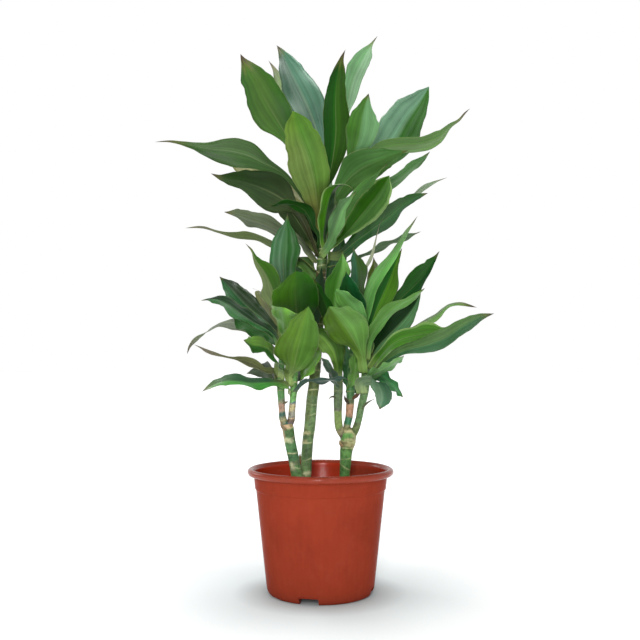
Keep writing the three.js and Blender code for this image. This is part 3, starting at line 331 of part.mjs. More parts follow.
function indexed(vertices, triangles) {
  const a = new THREE.Vector3(), b = new THREE.Vector3(), c = new THREE.Vector3();
  let volume = 0;
  for (const [i, j, k] of triangles) volume += a.copy(vertices[i]).dot(b.copy(vertices[j]).cross(c.copy(vertices[k])));
  const g = new THREE.BufferGeometry();
  g.setAttribute('position', new THREE.Float32BufferAttribute(vertices.flatMap((v) => [v.x, v.y, v.z]), 3));
  g.setIndex(triangles.flatMap(([i, j, k]) => (volume > 0 ? [i, j, k] : [i, k, j])));
  return g;
}

const smooth = (x) => { const t = Math.min(1, Math.max(0, x)); return t * t * (3 - 2 * t); };
const vec = (p) => new THREE.Vector3(p[0], p[1], p[2]);

// centripetal spline through the points, with even parameter steps per span
function spline(points, steps) {
  const p = points.map(vec);
  const q = [p[0].clone().multiplyScalar(2).sub(p[1]), ...p, p[p.length - 1].clone().multiplyScalar(2).sub(p[p.length - 2])];
  const out = [];
  for (let i = 1; i < q.length - 2; i += 1) {
    const [p0, p1, p2, p3] = [q[i - 1], q[i], q[i + 1], q[i + 2]];
    const d0 = Math.max(Math.sqrt(p1.distanceTo(p0)), 1e-4);
    const d1 = Math.max(Math.sqrt(p2.distanceTo(p1)), 1e-4);
    const d2 = Math.max(Math.sqrt(p3.distanceTo(p2)), 1e-4);
    const tangent = (a, b, c, u, v, s) => new THREE.Vector3()
      .addScaledVector(b.clone().sub(a), 1 / u).addScaledVector(c.clone().sub(a), -1 / (u + v))
      .addScaledVector(c.clone().sub(b), 1 / v).multiplyScalar(s);
    const t1 = tangent(p0, p1, p2, d0, d1, d1);
    const t2 = tangent(p1, p2, p3, d1, d2, d1);
    for (let k = 0; k < steps; k += 1) {
      const t = k / steps, t2q = t * t, t3 = t2q * t;
      out.push(p1.clone().multiplyScalar(2 * t3 - 3 * t2q + 1).addScaledVector(t1, t3 - 2 * t2q + t)
        .addScaledVector(p2, -2 * t3 + 3 * t2q).addScaledVector(t2, t3 - t2q));
    }
  }
  out.push(p[p.length - 1]);
  return out;
}

function tangents(line) {
  return line.map((_, i) => line[Math.min(i + 1, line.length - 1)].clone().sub(line[Math.max(i - 1, 0)]).normalize());
}

function evenly(line, n) {
  const run = [0];
  for (let i = 1; i < line.length; i += 1) run.push(run[i - 1] + line[i].distanceTo(line[i - 1]));
  const total = run[run.length - 1];
  const out = [];
  for (let k = 0; k <= n; k += 1) {
    const at = (k / n) * total;
    let i = 1;
    while (i < run.length - 1 && run[i] < at) i += 1;
    out.push(line[i - 1].clone().lerp(line[i], Math.min(1, Math.max(0, (at - run[i - 1]) / (run[i] - run[i - 1])))));
  }
  return out;
}

const FINE = 60;

function leafGeometry(leaf, extra = 0) {
  const line = evenly(spline(leaf.points, 10), FINE);
  const dir = tangents(line);
  const mid = Math.trunc(FINE * leaf.faceAt);
  const up = [];
  const slide = (n, t) => n.clone().addScaledVector(t, -n.dot(t)).normalize();
  up[mid] = slide(vec(leaf.face), dir[mid]);
  for (let i = mid + 1; i <= FINE; i += 1) up[i] = slide(up[i - 1], dir[i]);
  for (let i = mid - 1; i >= 0; i -= 1) up[i] = slide(up[i + 1], dir[i]);
  for (let i = 0; i <= FINE; i += 1) up[i].applyAxisAngle(dir[i], leaf.twist * (1 - smooth(i / FINE / TWIST_TO)));
  const vertices = [];
  const rings = [];
  for (let k = 0; k < LEAF_STATIONS; k += 1) {
    const s = k / LEAF_STATIONS;
    const i = Math.min(FINE - 1, Math.floor(s * FINE));
    const f = s * FINE - i;
    const c = line[i].clone().lerp(line[i + 1], f);
    const t = dir[i].clone().lerp(dir[i + 1], f).normalize();
    const n = slide(up[i].clone().lerp(up[i + 1], f), t);
    const side = t.clone().cross(n);
    const hl = Math.max(0.3, leaf.left[k]), hr = Math.max(0.3, leaf.right[k]);
    const fold = THREE.MathUtils.degToRad(FOLD_BLADE + (FOLD_BASE - FOLD_BLADE) * (1 - smooth(s / 0.3)));
    const left = c.clone().addScaledVector(side, -hl * Math.cos(fold)).addScaledVector(n, hl * Math.sin(fold));
    const right = c.clone().addScaledVector(side, hr * Math.cos(fold)).addScaledVector(n, hr * Math.sin(fold));
    const half = (LEAF_T * (1 - 0.5 * s) + 2 * extra) / 2;
    const ring = extra > 0
      ? [left.clone().addScaledVector(side, -extra).addScaledVector(n, extra), c.clone().addScaledVector(n, half),
        right.clone().addScaledVector(side, extra).addScaledVector(n, extra), right.clone().addScaledVector(side, extra).addScaledVector(n, -extra),
        c.clone().addScaledVector(n, -half), left.clone().addScaledVector(side, -extra).addScaledVector(n, -extra)]
      : [left, c.clone().addScaledVector(n, half), right, c.clone().addScaledVector(n, -half)];
    rings.push(ring.map((v) => vertices.push(v) - 1));
  }
  const tip = vertices.push(line[FINE].clone().addScaledVector(dir[FINE], extra)) - 1;
  const triangles = [];
  const m = rings[0].length;
  for (let k = 0; k < LEAF_STATIONS - 1; k += 1) {
    for (let j = 0; j < m; j += 1) {
      const a = rings[k][j], b = rings[k + 1][j], c = rings[k + 1][(j + 1) % m], d = rings[k][(j + 1) % m];
      // the upper and under sides are split along the same diagonal, so they never pass through each other
      if (j < m / 2) triangles.push([a, b, c], [a, c, d]);
      else triangles.push([a, b, d], [b, c, d]);
    }
  }
  const last = rings[LEAF_STATIONS - 1];
  for (let j = 0; j < m; j += 1) triangles.push([last[j], tip, last[(j + 1) % m]]);
  for (let j = 1; j < m - 1; j += 1) triangles.push([rings[0][0], rings[0][j], rings[0][j + 1]]);
  return indexed(vertices, triangles);
}

// a stem of changing radius along its axis points
function stemGeometry(points, extra = 0, down = 0) {
  const line = points.map(vec);
  const radius = points.map((p) => p[3] + extra);
  if (down) {
    const d = line[0].clone().sub(line[1]).normalize();
    const reach = (line[0].z - down) / -d.z;
    line.unshift(line[0].clone().addScaledVector(d, reach));
    radius.unshift(radius[0] * 0.92);
  }
  const dir = tangents(line);
  const vertices = [];
  line.forEach((c, i) => {
    const a = new THREE.Vector3(1, 0, 0).addScaledVector(dir[i], -dir[i].x).normalize();
    const b = dir[i].clone().cross(a);
    for (let j = 0; j < CANE_SIDES; j += 1) {
      const q = (2 * Math.PI * j) / CANE_SIDES;
      vertices.push(c.clone().addScaledVector(a, radius[i] * Math.cos(q)).addScaledVector(b, radius[i] * Math.sin(q)));
    }
  });
  const triangles = [];
  const n = line.length;
  for (let i = 0; i < n - 1; i += 1) {
    for (let j = 0; j < CANE_SIDES; j += 1) {
      const k = (j + 1) % CANE_SIDES;
      const a = i * CANE_SIDES + j, b = i * CANE_SIDES + k, c = (i + 1) * CANE_SIDES + k, d = (i + 1) * CANE_SIDES + j;
      triangles.push([a, b, c], [a, c, d]);
    }
  }
  for (let j = 1; j < CANE_SIDES - 1; j += 1) {
    triangles.push([0, j + 1, j], [(n - 1) * CANE_SIDES, (n - 1) * CANE_SIDES + j, (n - 1) * CANE_SIDES + j + 1]);
  }
  return indexed(vertices, triangles);
}

const CANE_PARTS = {
  cane_left: ['leftTrunk', 'leftShootA', 'leftShootB'],
  cane_middle: ['middle'],
  cane_right: ['rightTrunk', 'rightShootA', 'rightShootB', 'rightShootC'],
};

function caneSolid(name, extra) {
  let solid = null;
  CANE_PARTS[name].forEach((part, i) => {
    const s = toSolid(stemGeometry(CANES[part], extra, i === 0 ? CANE_BURIED_Z - extra : 0));
    solid = solid ? solid.add(s) : s;
  });
  for (const leaf of SMALL_LEAVES) if (leaf.on === name) solid = solid.add(toSolid(leafGeometry(leaf, extra)));
  return solid;
}

const canes = {};
const caneRoom = {};
for (const name of Object.keys(CANE_PARTS)) {
  canes[name] = caneSolid(name, 0);
  caneRoom[name] = caneSolid(name, CANE_CLEAR);
}
// canes of different plants keep clear of each other
canes.cane_left = largest(canes.cane_left.subtract(caneRoom.cane_middle).subtract(caneRoom.cane_right));
canes.cane_right = largest(canes.cane_right.subtract(caneRoom.cane_middle));
canes.cane_middle = largest(canes.cane_middle);

// leaves, each kept clear of the canes and of the leaves before it
const boxOf = (solid) => { const b = solid.boundingBox(); return new THREE.Box3(vec(b.min), vec(b.max)); };
const leafSolids = [];
for (const leaf of LEAVES) {
  let solid = toSolid(leafGeometry(leaf));
  const box = boxOf(solid).expandByScalar(1);
  for (const name of Object.keys(caneRoom)) if (box.intersectsBox(boxOf(caneRoom[name]))) solid = solid.subtract(caneRoom[name]);
  for (const other of leafSolids) {
    if (!box.intersectsBox(other.box)) continue;
    if (solid.intersect(other.room).volume() > 1e-4) solid = solid.subtract(other.room);
  }
  solid = largest(solid);
  leafSolids.push({ leaf, solid, room: toSolid(leafGeometry(leaf, LEAF_GAP)), box: boxOf(solid).expandByScalar(1) });
}

// ---- pot ------------------------------------------------------------------
const SIDES = 48;
const lathe = (profile) => new THREE.LatheGeometry(profile.map(([r, z]) => new THREE.Vector2(r, z)), SIDES).rotateX(Math.PI / 2);

const innerR = (z) => { // inside radius of the wall at height z
  const slope = (STEP_R_BELOW - WALL_BOTTOM_R) / (STEP_Z - 8);
  return WALL_BOTTOM_R + slope * (z - 8) - WALL_T;
};

const potProfile = [
  [0, 0], [HUB_R, 0], [HUB_R + 3, CHANNEL_Z], [FOOT_INNER_R - 2, CHANNEL_Z], [FOOT_INNER_R, 0], [FOOT_R, 0],
  [FOOT_R + 2.6, 1.6], [FOOT_R + 4.2, 4.4], [WALL_BOTTOM_R, 8],
  [STEP_R_BELOW, STEP_Z - 1], [STEP_R_ABOVE, STEP_Z + 0.5], [WALL_TOP_R, RIM_BOTTOM_Z - 2],
  [WALL_TOP_R + 1.2, RIM_BOTTOM_Z + 0.4], [RIM_OUTER_R - 2.6, RIM_BOTTOM_Z], [RIM_OUTER_R - 0.6, RIM_BOTTOM_Z + 1.8],
  [RIM_OUTER_R, RIM_BOTTOM_Z + 4.6], [RIM_OUTER_R - 0.8, RIM_TOP_Z - 2.2], [RIM_OUTER_R - 3, RIM_TOP_Z - 0.4],
  [RIM_OUTER_R - 5.2, RIM_TOP_Z], [RIM_OUTER_R - 7.4, RIM_TOP_Z - 1.2], [WALL_TOP_R - WALL_T + 0.6, RIM_TOP_Z - 4.2],
  [WALL_TOP_R - WALL_T, RIM_BOTTOM_Z - 3], [STEP_R_ABOVE - WALL_T, STEP_Z + 1.5], [STEP_R_BELOW - WALL_T, STEP_Z - 0.5],
  [innerR(12.5), 12.5], [FOOT_R + 0.4, CHANNEL_Z + FLOOR_T], [HUB_R + 2, CHANNEL_Z + FLOOR_T], [HUB_R - 1, FLOOR_T], [0, FLOOR_T],
];
let pot = toSolid(lathe(potProfile));
for (let i = 0; i < DRAIN_COUNT; i += 1) {
  const a = (2 * Math.PI * (i + 0.5)) / DRAIN_COUNT;
  const hole = new THREE.CylinderGeometry(DRAIN_R, DRAIN_R, 12, 12).rotateX(Math.PI / 2)
    .translate(DRAIN_RING_R * Math.cos(a), DRAIN_RING_R * Math.sin(a), CHANNEL_Z);
  pot = pot.subtract(toSolid(hole));
}
// the wall is thick enough behind each notch to stay closed
for (let i = 0; i < 4; i += 1) {
  const notch = new THREE.BoxGeometry(14, NOTCH_W, NOTCH_H * 2).translate(FOOT_R - 2, 0, 0)
    .rotateZ(THREE.MathUtils.degToRad(NOTCH_FIRST_DEG + 90 * i));
  pot = pot.subtract(toSolid(notch));
}
pot = largest(pot);

// ---- soil -----------------------------------------------------------------
const soilProfile = [
  [0, CHANNEL_Z + FLOOR_T + SOIL_CLEAR], [FOOT_R - 3, CHANNEL_Z + FLOOR_T + SOIL_CLEAR], [innerR(13.5) - SOIL_CLEAR - 0.4, 13.5],
  [innerR(SOIL_TOP_Z - 2.5) - SOIL_CLEAR, SOIL_TOP_Z - 2.5], [innerR(SOIL_TOP_Z - 2.5) - 4, SOIL_TOP_Z - 1.2], [60, SOIL_TOP_Z - 0.2], [38, SOIL_TOP_Z + 1.4], [16, SOIL_TOP_Z + 0.4], [0, SOIL_TOP_Z + 0.8],
];
let soil = toSolid(new THREE.LatheGeometry(soilProfile.map(([r, z]) => new THREE.Vector2(r, z)), 40).rotateX(Math.PI / 2));
for (const name of Object.keys(caneRoom)) soil = soil.subtract(caneRoom[name]);
soil = largest(soil);

// ---- scene graph ------------------------------------------------------------
const plant = new THREE.Group();
function addPiece(parent, name, solid, colour, roughness) {
  const mesh = new THREE.Mesh(toGeometry(solid), new THREE.MeshStandardMaterial({ color: colour, roughness, metalness: 0 }));
  mesh.name = name;
  parent.add(mesh);
}
const potGroup = new THREE.Group();
addPiece(potGroup, 'nursery_pot', pot, 0x9a3e2b, 0.42);
addPiece(potGroup, 'potting_soil', soil, 0x3a2c22, 0.95);
plant.add(potGroup);
const caneGroup = new THREE.Group();
addPiece(caneGroup, 'cane_left', canes.cane_left, 0x6f6440, 0.7);
addPiece(caneGroup, 'cane_middle', canes.cane_middle, 0x66703a, 0.7);
addPiece(caneGroup, 'cane_right', canes.cane_right, 0x74683f, 0.7);
plant.add(caneGroup);
const foliage = new THREE.Group();
for (const { leaf, solid } of leafSolids) addPiece(foliage, leaf.name, solid, leaf.colour, 0.45);
plant.add(foliage);

export default plant;
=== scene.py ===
# Potted corn plant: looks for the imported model. Metres, +Z up, same frame as the CAD.
import math
import bpy
import numpy as np
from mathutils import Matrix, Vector


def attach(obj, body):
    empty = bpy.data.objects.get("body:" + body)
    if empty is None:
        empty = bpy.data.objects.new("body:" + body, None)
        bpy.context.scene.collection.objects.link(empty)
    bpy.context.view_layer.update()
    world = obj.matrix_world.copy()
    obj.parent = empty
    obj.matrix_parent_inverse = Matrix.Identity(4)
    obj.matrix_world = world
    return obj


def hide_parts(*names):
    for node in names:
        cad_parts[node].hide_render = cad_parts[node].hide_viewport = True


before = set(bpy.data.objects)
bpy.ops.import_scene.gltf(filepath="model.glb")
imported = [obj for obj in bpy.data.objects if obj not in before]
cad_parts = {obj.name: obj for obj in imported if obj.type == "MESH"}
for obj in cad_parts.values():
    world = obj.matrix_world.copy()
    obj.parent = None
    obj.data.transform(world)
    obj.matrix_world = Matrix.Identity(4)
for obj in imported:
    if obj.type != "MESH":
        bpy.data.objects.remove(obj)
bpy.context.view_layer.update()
scene = bpy.context.scene
MM = 0.001

# ------------------------------------------------------------------ camera
cam_data = bpy.data.cameras.new("camera")
cam_data.sensor_width = 36.0
cam_data.sensor_fit = "HORIZONTAL"
cam_data.lens = 50.625
cam_data.clip_start = 0.05
cam_data.clip_end = 30.0
cam = bpy.data.objects.new("camera", cam_data)
cam.location = (-0.00066, -1.194, 0.311)
cam.rotation_euler = (math.radians(90.0 + 2.19), 0.0, 0.0)
scene.collection.objects.link(cam)
scene.camera = cam

# ------------------------------------------------------------------ tables
# midrib points run from the base to the tip, in millimetres
# up and un are the upper and under side colours, left half then right half. They carry painted light and shade
# besides each blade's own colour: where the halves differ much, one half is painted lit and the other painted shade,
# and blades that sit in shade are given paler tones to make up for it.
LEAVES = [
    {'name': 'head_01', 'slot': 'leaf_green', 'kind': 'satin', 'twist': -0.7234, 'faceAt': 0.55, 'face': [0.1801, 0.9218, 0.3434], 'up': [[41, 88, 25], [41, 88, 25]], 'un': [[35, 79, 9], [38, 84, 24]], 'dry': 0.06, 'olive': 0.12, 'left': [5.0, 5.0, 5.0, 5.0, 5.0, 5.2, 8.2, 13.7, 19.7, 23.9, 25.0, 25.1, 23.2, 18.1, 7.3, 0.0], 'right': [5.0, 5.0, 5.0, 5.0, 4.9, 4.8, 6.8, 10.3, 16.8, 27.7, 29.0, 26.1, 21.7, 17.8, 7.3, 0.0], 'points': [[-2.3, -4.0, 495.6], [-5.2, -6.0, 508.6], [-8.6, -8.2, 522.2], [-23.1, -17.0, 556.4], [-42.5, -26.3, 594.0], [-58.6, -32.8, 620.0], [-70.8, -37.5, 639.7], [-80.9, -41.8, 658.1], [-91.0, -45.8, 675.1], [-99.8, -49.3, 690.3], [-102.9, -50.8, 697.0]]},
    {'name': 'head_02', 'slot': 'leaf_pale', 'kind': 'gloss', 'twist': 0.722, 'faceAt': 0.55, 'face': [0.0343, -0.9336, 0.3567], 'up': [[46, 80, 59], [62, 102, 80]], 'un': [[90, 117, 84], [90, 117, 84]], 'dry': 0.045, 'sheen_streaks': 0.08, 'left': [5.5, 5.5, 5.8, 7.3, 10.0, 13.5, 17.3, 20.9, 24.0, 26.0, 26.6, 24.1, 19.3, 12.9, 5.6, 0.0], 'right': [5.5, 5.5, 5.8, 7.3, 10.0, 13.5, 17.3, 21.0, 24.1, 26.2, 25.6, 24.1, 20.7, 15.6, 7.3, 0.0], 'points': [[-0.9, 4.6, 509.9], [-3.4, 7.0, 522.9], [2.1, 22.4, 561.9], [-2.0, 39.8, 607.2], [-11.8, 53.0, 642.8], [-21.8, 62.9, 669.7], [-33.4, 72.4, 695.4], [-43.6, 80.5, 718.1], [-57.0, 90.9, 747.7], [-63.8, 95.1, 759.4]]},
    {'name': 'head_03', 'slot': 'leaf_pale', 'kind': 'satin', 'twist': 0.4189, 'faceAt': 0.55, 'face': [0.0206, -0.8561, 0.5165], 'up': [[84, 104, 58], [84, 104, 58]], 'un': [[101, 122, 79], [101, 122, 79]], 'dry': 0.05, 'tipc': (58, 60, 46, 0.82, 0.9), 'left': [5.5, 5.5, 5.6, 6.2, 7.3, 8.7, 10.2, 11.8, 13.2, 14.3, 14.9, 14.4, 11.0, 6.3, 1.8, 0.0], 'right': [5.5, 5.5, 5.6, 6.2, 7.3, 8.7, 10.2, 11.8, 13.2, 14.3, 14.9, 14.9, 14.6, 11.9, 4.7, 0.0], 'points': [[0.7, 6.1, 504.8], [-0.9, 9.2, 517.8], [-6.2, 37.0, 544.1], [-20.5, 68.8, 588.5], [-38.5, 102.6, 642.8], [-51.0, 124.4, 681.2], [-60.7, 141.5, 713.3], [-68.9, 154.7, 738.7], [-79.4, 166.2, 760.1]]},
    {'name': 'head_04', 'slot': 'leaf_dark', 'kind': 'dull', 'twist': -0.2779, 'faceAt': 0.55, 'face': [0.1891, 0.946, 0.2634], 'up': [[36, 79, 21], [36, 79, 21]], 'un': [[31, 64, 5], [16, 59, 5]], 'dry': 0.07, 'mid': 0.45, 'left': [5.5, 5.5, 5.8, 7.8, 11.4, 15.6, 18.5, 19.7, 19.2, 17.6, 15.4, 13.1, 11.4, 8.7, 3.3, 0.0], 'right': [5.5, 5.5, 5.8, 7.5, 10.2, 13.2, 15.9, 17.6, 17.7, 16.9, 15.4, 13.3, 10.9, 7.5, 2.3, 0.0], 'points': [[1.2, -5.8, 513.0], [-0.2, -9.0, 526.0], [11.2, -11.9, 546.8], [17.7, -21.4, 576.6], [20.2, -29.3, 603.8], [19.5, -37.5, 634.5], [21.3, -45.1, 664.9], [27.0, -51.5, 691.5], [32.0, -54.1, 701.7]]},
    {'name': 'head_05', 'slot': 'leaf_pale', 'kind': 'matt', 'twist': -0.7733, 'faceAt': 0.55, 'face': [-0.2031, -0.8803, 0.4287], 'up': [[87, 126, 85], [102, 133, 101]], 'un': [[106, 134, 95], [106, 134, 95]], 'dry': 0.05, 'left': [4.9, 4.9, 4.9, 4.9, 4.9, 4.9, 4.9, 4.9, 5.3, 7.9, 11.8, 15.7, 17.8, 14.6, 4.2, 0.0], 'right': [4.9, 4.9, 4.9, 4.9, 4.9, 4.8, 4.2, 3.4, 3.6, 11.7, 14.2, 15.3, 15.7, 10.9, 1.7, 0.0], 'points': [[9.7, 3.3, 504.5], [12.8, 5.0, 517.5], [14.3, 24.6, 548.6], [26.5, 49.2, 595.4], [36.3, 73.0, 643.8], [41.2, 91.6, 683.7], [47.5, 104.1, 710.9], [57.5, 115.8, 735.3], [72.3, 130.4, 765.7], [85.8, 142.1, 789.5]]},
    {'name': 'head_06', 'slot': 'leaf_pale', 'kind': 'satin', 'twist': 0.2953, 'faceAt': 0.55, 'face': [0.4002, 0.7367, 0.5451], 'up': [[72, 117, 61], [72, 117, 61]], 'un': [[102, 147, 97], [59, 104, 33]], 'dry': 0.03, 'left': [4.2, 4.2, 4.2, 4.2, 4.2, 4.2, 4.5, 6.9, 11.2, 15.8, 20.3, 22.7, 21.5, 14.6, 6.7, 0.0], 'right': [4.2, 4.2, 4.2, 4.2, 4.2, 4.2, 4.7, 7.8, 13.3, 18.1, 20.7, 20.1, 16.6, 10.9, 5.6, 0.0], 'points': [[5.4, -6.8, 499.2], [6.3, -10.2, 512.2], [23.1, -12.6, 522.7], [37.1, -31.3, 548.2], [44.2, -49.8, 570.2], [49.9, -67.0, 587.9], [52.7, -88.0, 607.8], [58.2, -112.5, 627.6]]},
    {'name': 'head_07', 'slot': 'leaf_pale', 'kind': 'gloss', 'twist': 0.5927, 'faceAt': 0.55, 'face': [-0.439, 0.8973, 0.0475], 'up': [[61, 106, 58], [61, 106, 58]], 'un': [[41, 94, 16], [86, 125, 96]], 'dry': 0.0, 'sheen_streaks': 0.08, 'mid': 0.2, 'left': [5.8, 5.8, 5.8, 5.8, 7.1, 10.5, 15.1, 19.9, 24.0, 27.0, 30.2, 31.1, 28.8, 21.4, 11.9, 0.0], 'right': [5.8, 5.8, 5.8, 5.8, 7.1, 10.5, 15.1, 20.2, 26.3, 32.2, 35.8, 32.8, 27.9, 22.7, 13.2, 0.0], 'points': [[10.5, -2.2, 493.0], [13.9, -3.2, 506.0], [26.5, 20.5, 523.2], [54.5, 38.1, 555.4], [83.1, 53.0, 587.8], [106.4, 63.2, 614.3], [122.8, 71.6, 643.5], [145.2, 80.4, 676.1], [155.9, 84.9, 695.5]]},
    {'name': 'head_09', 'slot': 'leaf_pale', 'kind': 'satin', 'twist': -0.0057, 'faceAt': 0.55, 'face': [-0.3035, 0.5322, 0.7903], 'up': [[72, 112, 52], [72, 112, 52]], 'un': [[88, 122, 65], [80, 117, 56]], 'dry': 0.07, 'tipc': (88, 80, 68, 0.83, 0.95), 'curl': -0.5, 'curlAt': 0.8, 'left': [5.5, 5.5, 5.5, 5.5, 6.4, 8.5, 11.2, 14.1, 16.4, 17.7, 18.9, 17.1, 9.0, 3.6, 2.6, 0.0], 'right': [5.5, 5.5, 5.5, 5.5, 6.4, 8.5, 11.2, 13.7, 14.9, 14.4, 12.8, 13.6, 8.6, 3.4, 2.2, 0.0], 'points': [[10.5, -2.8, 485.0], [13.7, -4.1, 498.0], [23.4, 3.0, 517.4], [50.6, 11.2, 559.5], [81.0, 20.9, 589.0], [108.9, 28.9, 597.0], [137.3, 37.8, 601.2], [166.4, 48.1, 613.4], [181.5, 56.0, 630.9], [195.1, 62.0, 641.0], [204.5, 67.4, 652.4], [212.3, 71.5, 659.9]]},
    {'name': 'head_10', 'slot': 'leaf_dark', 'kind': 'satin', 'twist': -0.2677, 'faceAt': 0.55, 'face': [0.3523, 0.7222, 0.5952], 'up': [[56, 98, 40], [56, 98, 40]], 'un': [[60, 95, 43], [60, 101, 45]], 'dry': 0.03, 'left': [5.5, 5.8, 6.4, 8.2, 10.6, 12.8, 14.9, 17.6, 21.0, 23.3, 20.8, 17.6, 13.4, 8.7, 3.1, 0.0], 'right': [5.5, 5.5, 5.7, 6.9, 8.9, 11.6, 15.6, 20.8, 25.5, 24.3, 21.0, 17.0, 13.4, 8.8, 3.1, 0.0], 'points': [[1.2, -7.2, 485.1], [0.2, -10.5, 498.1], [17.8, -16.3, 514.1], [33.0, -34.8, 534.4], [52.9, -54.6, 548.5], [74.6, -73.5, 554.7], [92.1, -89.7, 558.7], [106.8, -103.7, 559.8]]},
    {'name': 'head_11', 'slot': 'leaf_green', 'kind': 'dull', 'twist': 0.0159, 'faceAt': 0.55, 'face': [-0.1422, 0.3054, 0.9416], 'up': [[70, 113, 59], [70, 113, 59]], 'un': [[84, 124, 74], [77, 119, 68]], 'dry': 0.04, 'left': [5.5, 5.5, 5.6, 6.2, 7.3, 8.7, 10.1, 11.5, 12.6, 13.7, 11.3, 9.0, 7.4, 4.0, 2.5, 0.0], 'right': [5.5, 5.5, 5.6, 6.2, 7.3, 8.7, 10.2, 11.9, 13.5, 14.4, 11.8, 10.2, 9.8, 7.7, 3.8, 0.0], 'points': [[10.9, -1.6, 480.5], [18.0, -0.8, 486.0], [41.7, -8.4, 503.5], [71.1, -27.3, 520.1], [96.3, -53.5, 533.4], [110.8, -74.4, 541.3], [123.3, -97.2, 548.3], [131.8, -118.9, 555.1]]},
    {'name': 'head_12', 'slot': 'leaf_pale', 'kind': 'dull', 'twist': -0.3643, 'faceAt': 0.55, 'face': [-0.2512, -0.4219, 0.8711], 'up': [[106, 124, 98], [106, 124, 98]], 'un': [[112, 132, 98], [112, 132, 98]], 'dry': 0.05, 'left': [5.5, 5.5, 5.6, 6.2, 7.3, 6.09, 7.14, 8.19, 8.96, 8.96, 8.26, 7.14, 7.7, 6.72, 2.73, 0.0], 'right': [5.5, 5.5, 5.6, 6.2, 7.3, 6.09, 7.14, 8.19, 9.03, 9.45, 8.47, 6.23, 3.99, 3.92, 2.24, 0.0], 'points': [[9.9, 4.2, 465.9], [12.9, 6.0, 478.9], [33.2, 21.1, 481.0], [71.0, 39.9, 501.6], [110.8, 53.3, 519.8], [132.4, 58.8, 533.4], [148.2, 62.1, 545.3], [164.1, 64.6, 554.3], [178.4, 66.6, 560.3]]},
    {'name': 'head_13', 'slot': 'leaf_dark', 'kind': 'gloss', 'twist': -0.7, 'faceAt': 0.55, 'face': [0.4646, -0.7991, -0.3815], 'up': [[18, 67, 5], [29, 74, 29]], 'un': [[83, 109, 69], [83, 109, 69]], 'dry': 0.03, 'mid': 0.3, 'left': [5.5, 5.5, 5.8, 7.2, 9.7, 12.6, 15.5, 17.8, 19.1, 18.8, 17.6, 15.4, 11.1, 7.0, 3.3, 0.0], 'right': [6.5, 7.8, 9.3, 8.9, 7.7, 7.1, 8.4, 12.4, 14.0, 12.6, 10.2, 7.6, 6.1, 5.3, 3.4, 0.0], 'points': [[10.6, 2.3, 442.7], [23.4, 4.0, 443.7], [46.3, 9.1, 461.8], [69.5, 14.1, 479.3], [92.8, 19.2, 497.1], [110.9, 23.4, 512.7], [129.0, 27.1, 525.0], [147.2, 30.5, 531.8]]},
    {'name': 'head_14', 'slot': 'leaf_dark', 'kind': 'satin', 'twist': -0.6793, 'faceAt': 0.55, 'face': [-0.4594, -0.8109, -0.3626], 'up': [[37, 82, 7], [67, 108, 47]], 'un': [[90, 118, 71], [90, 118, 71]], 'dry': 0.0, 'pale': 0.35, 'left': [5.5, 5.5, 5.7, 7.3, 10.1, 13.6, 16.0, 17.7, 18.8, 19.7, 19.4, 18.4, 16.4, 13.0, 7.8, 0.0], 'right': [5.5, 5.5, 5.7, 6.9, 9.0, 11.6, 14.3, 16.8, 18.7, 19.7, 19.5, 19.4, 18.3, 14.7, 7.2, 0.0], 'points': [[10.4, 3.2, 451.7], [23.2, -3.8, 461.5], [37.6, -11.1, 475.2], [51.7, -22.3, 490.7], [64.1, -35.0, 504.4], [76.0, -50.8, 518.4], [86.6, -71.8, 535.5]]},
    {'name': 'head_15', 'slot': 'leaf_pale', 'kind': 'dull', 'twist': 0.6704, 'faceAt': 0.55, 'face': [-0.5522, 0.2859, 0.7831], 'up': [[64, 110, 46], [64, 110, 46]], 'un': [[72, 118, 52], [72, 118, 52]], 'mid': -0.2, 'left': [5.5, 5.5, 5.6, 6.2, 7.2, 8.4, 9.7, 10.9, 11.8, 13.2, 14.2, 13.7, 9.8, 5.9, 1.9, 0.0], 'right': [5.5, 5.5, 5.6, 6.2, 7.2, 8.4, 9.8, 12.1, 14.7, 16.6, 14.3, 11.1, 8.0, 5.2, 1.8, 0.0], 'points': [[10.1, -0.7, 432.6], [12.5, -16.2, 449.4], [20.0, -34.5, 469.3], [29.9, -53.6, 488.5], [42.0, -71.9, 504.5], [56.1, -91.6, 519.7], [69.7, -109.2, 531.1], [80.8, -123.8, 540.2]]},
    {'name': 'head_16', 'slot': 'leaf_green', 'kind': 'dull', 'twist': 0.038, 'faceAt': 0.55, 'face': [-0.3636, 0.4852, 0.7952], 'up': [[78, 115, 50], [78, 115, 50]], 'un': [[84, 126, 53], [99, 123, 62]], 'dry': 0, 'olive': 0.15, 'tipc': (70, 116, 26, 0.62, 0.8), 'basec': (140, 134, 70, 0.42, 0.9), 'left': [7.8, 8.5, 10.5, 13.2, 16.3, 19.3, 21.9, 23.7, 24.2, 24.1, 23.6, 22.4, 19.8, 15.6, 9.1, 0.0], 'right': [7.8, 8.5, 10.5, 13.2, 16.3, 19.4, 23.0, 26.2, 28.1, 26.7, 23.5, 21.5, 19.3, 15.4, 9.1, 0.0], 'points': [[4.5, -7.9, 467.7], [-1.3, -14.8, 485.2], [-4.5, -42.0, 507.1], [-7.6, -69.5, 525.2], [-11.1, -92.1, 538.2], [-15.2, -113.8, 549.6], [-21.9, -141.9, 562.4], [-27.6, -171.9, 574.9], [-30.9, -195.2, 583.6]]},
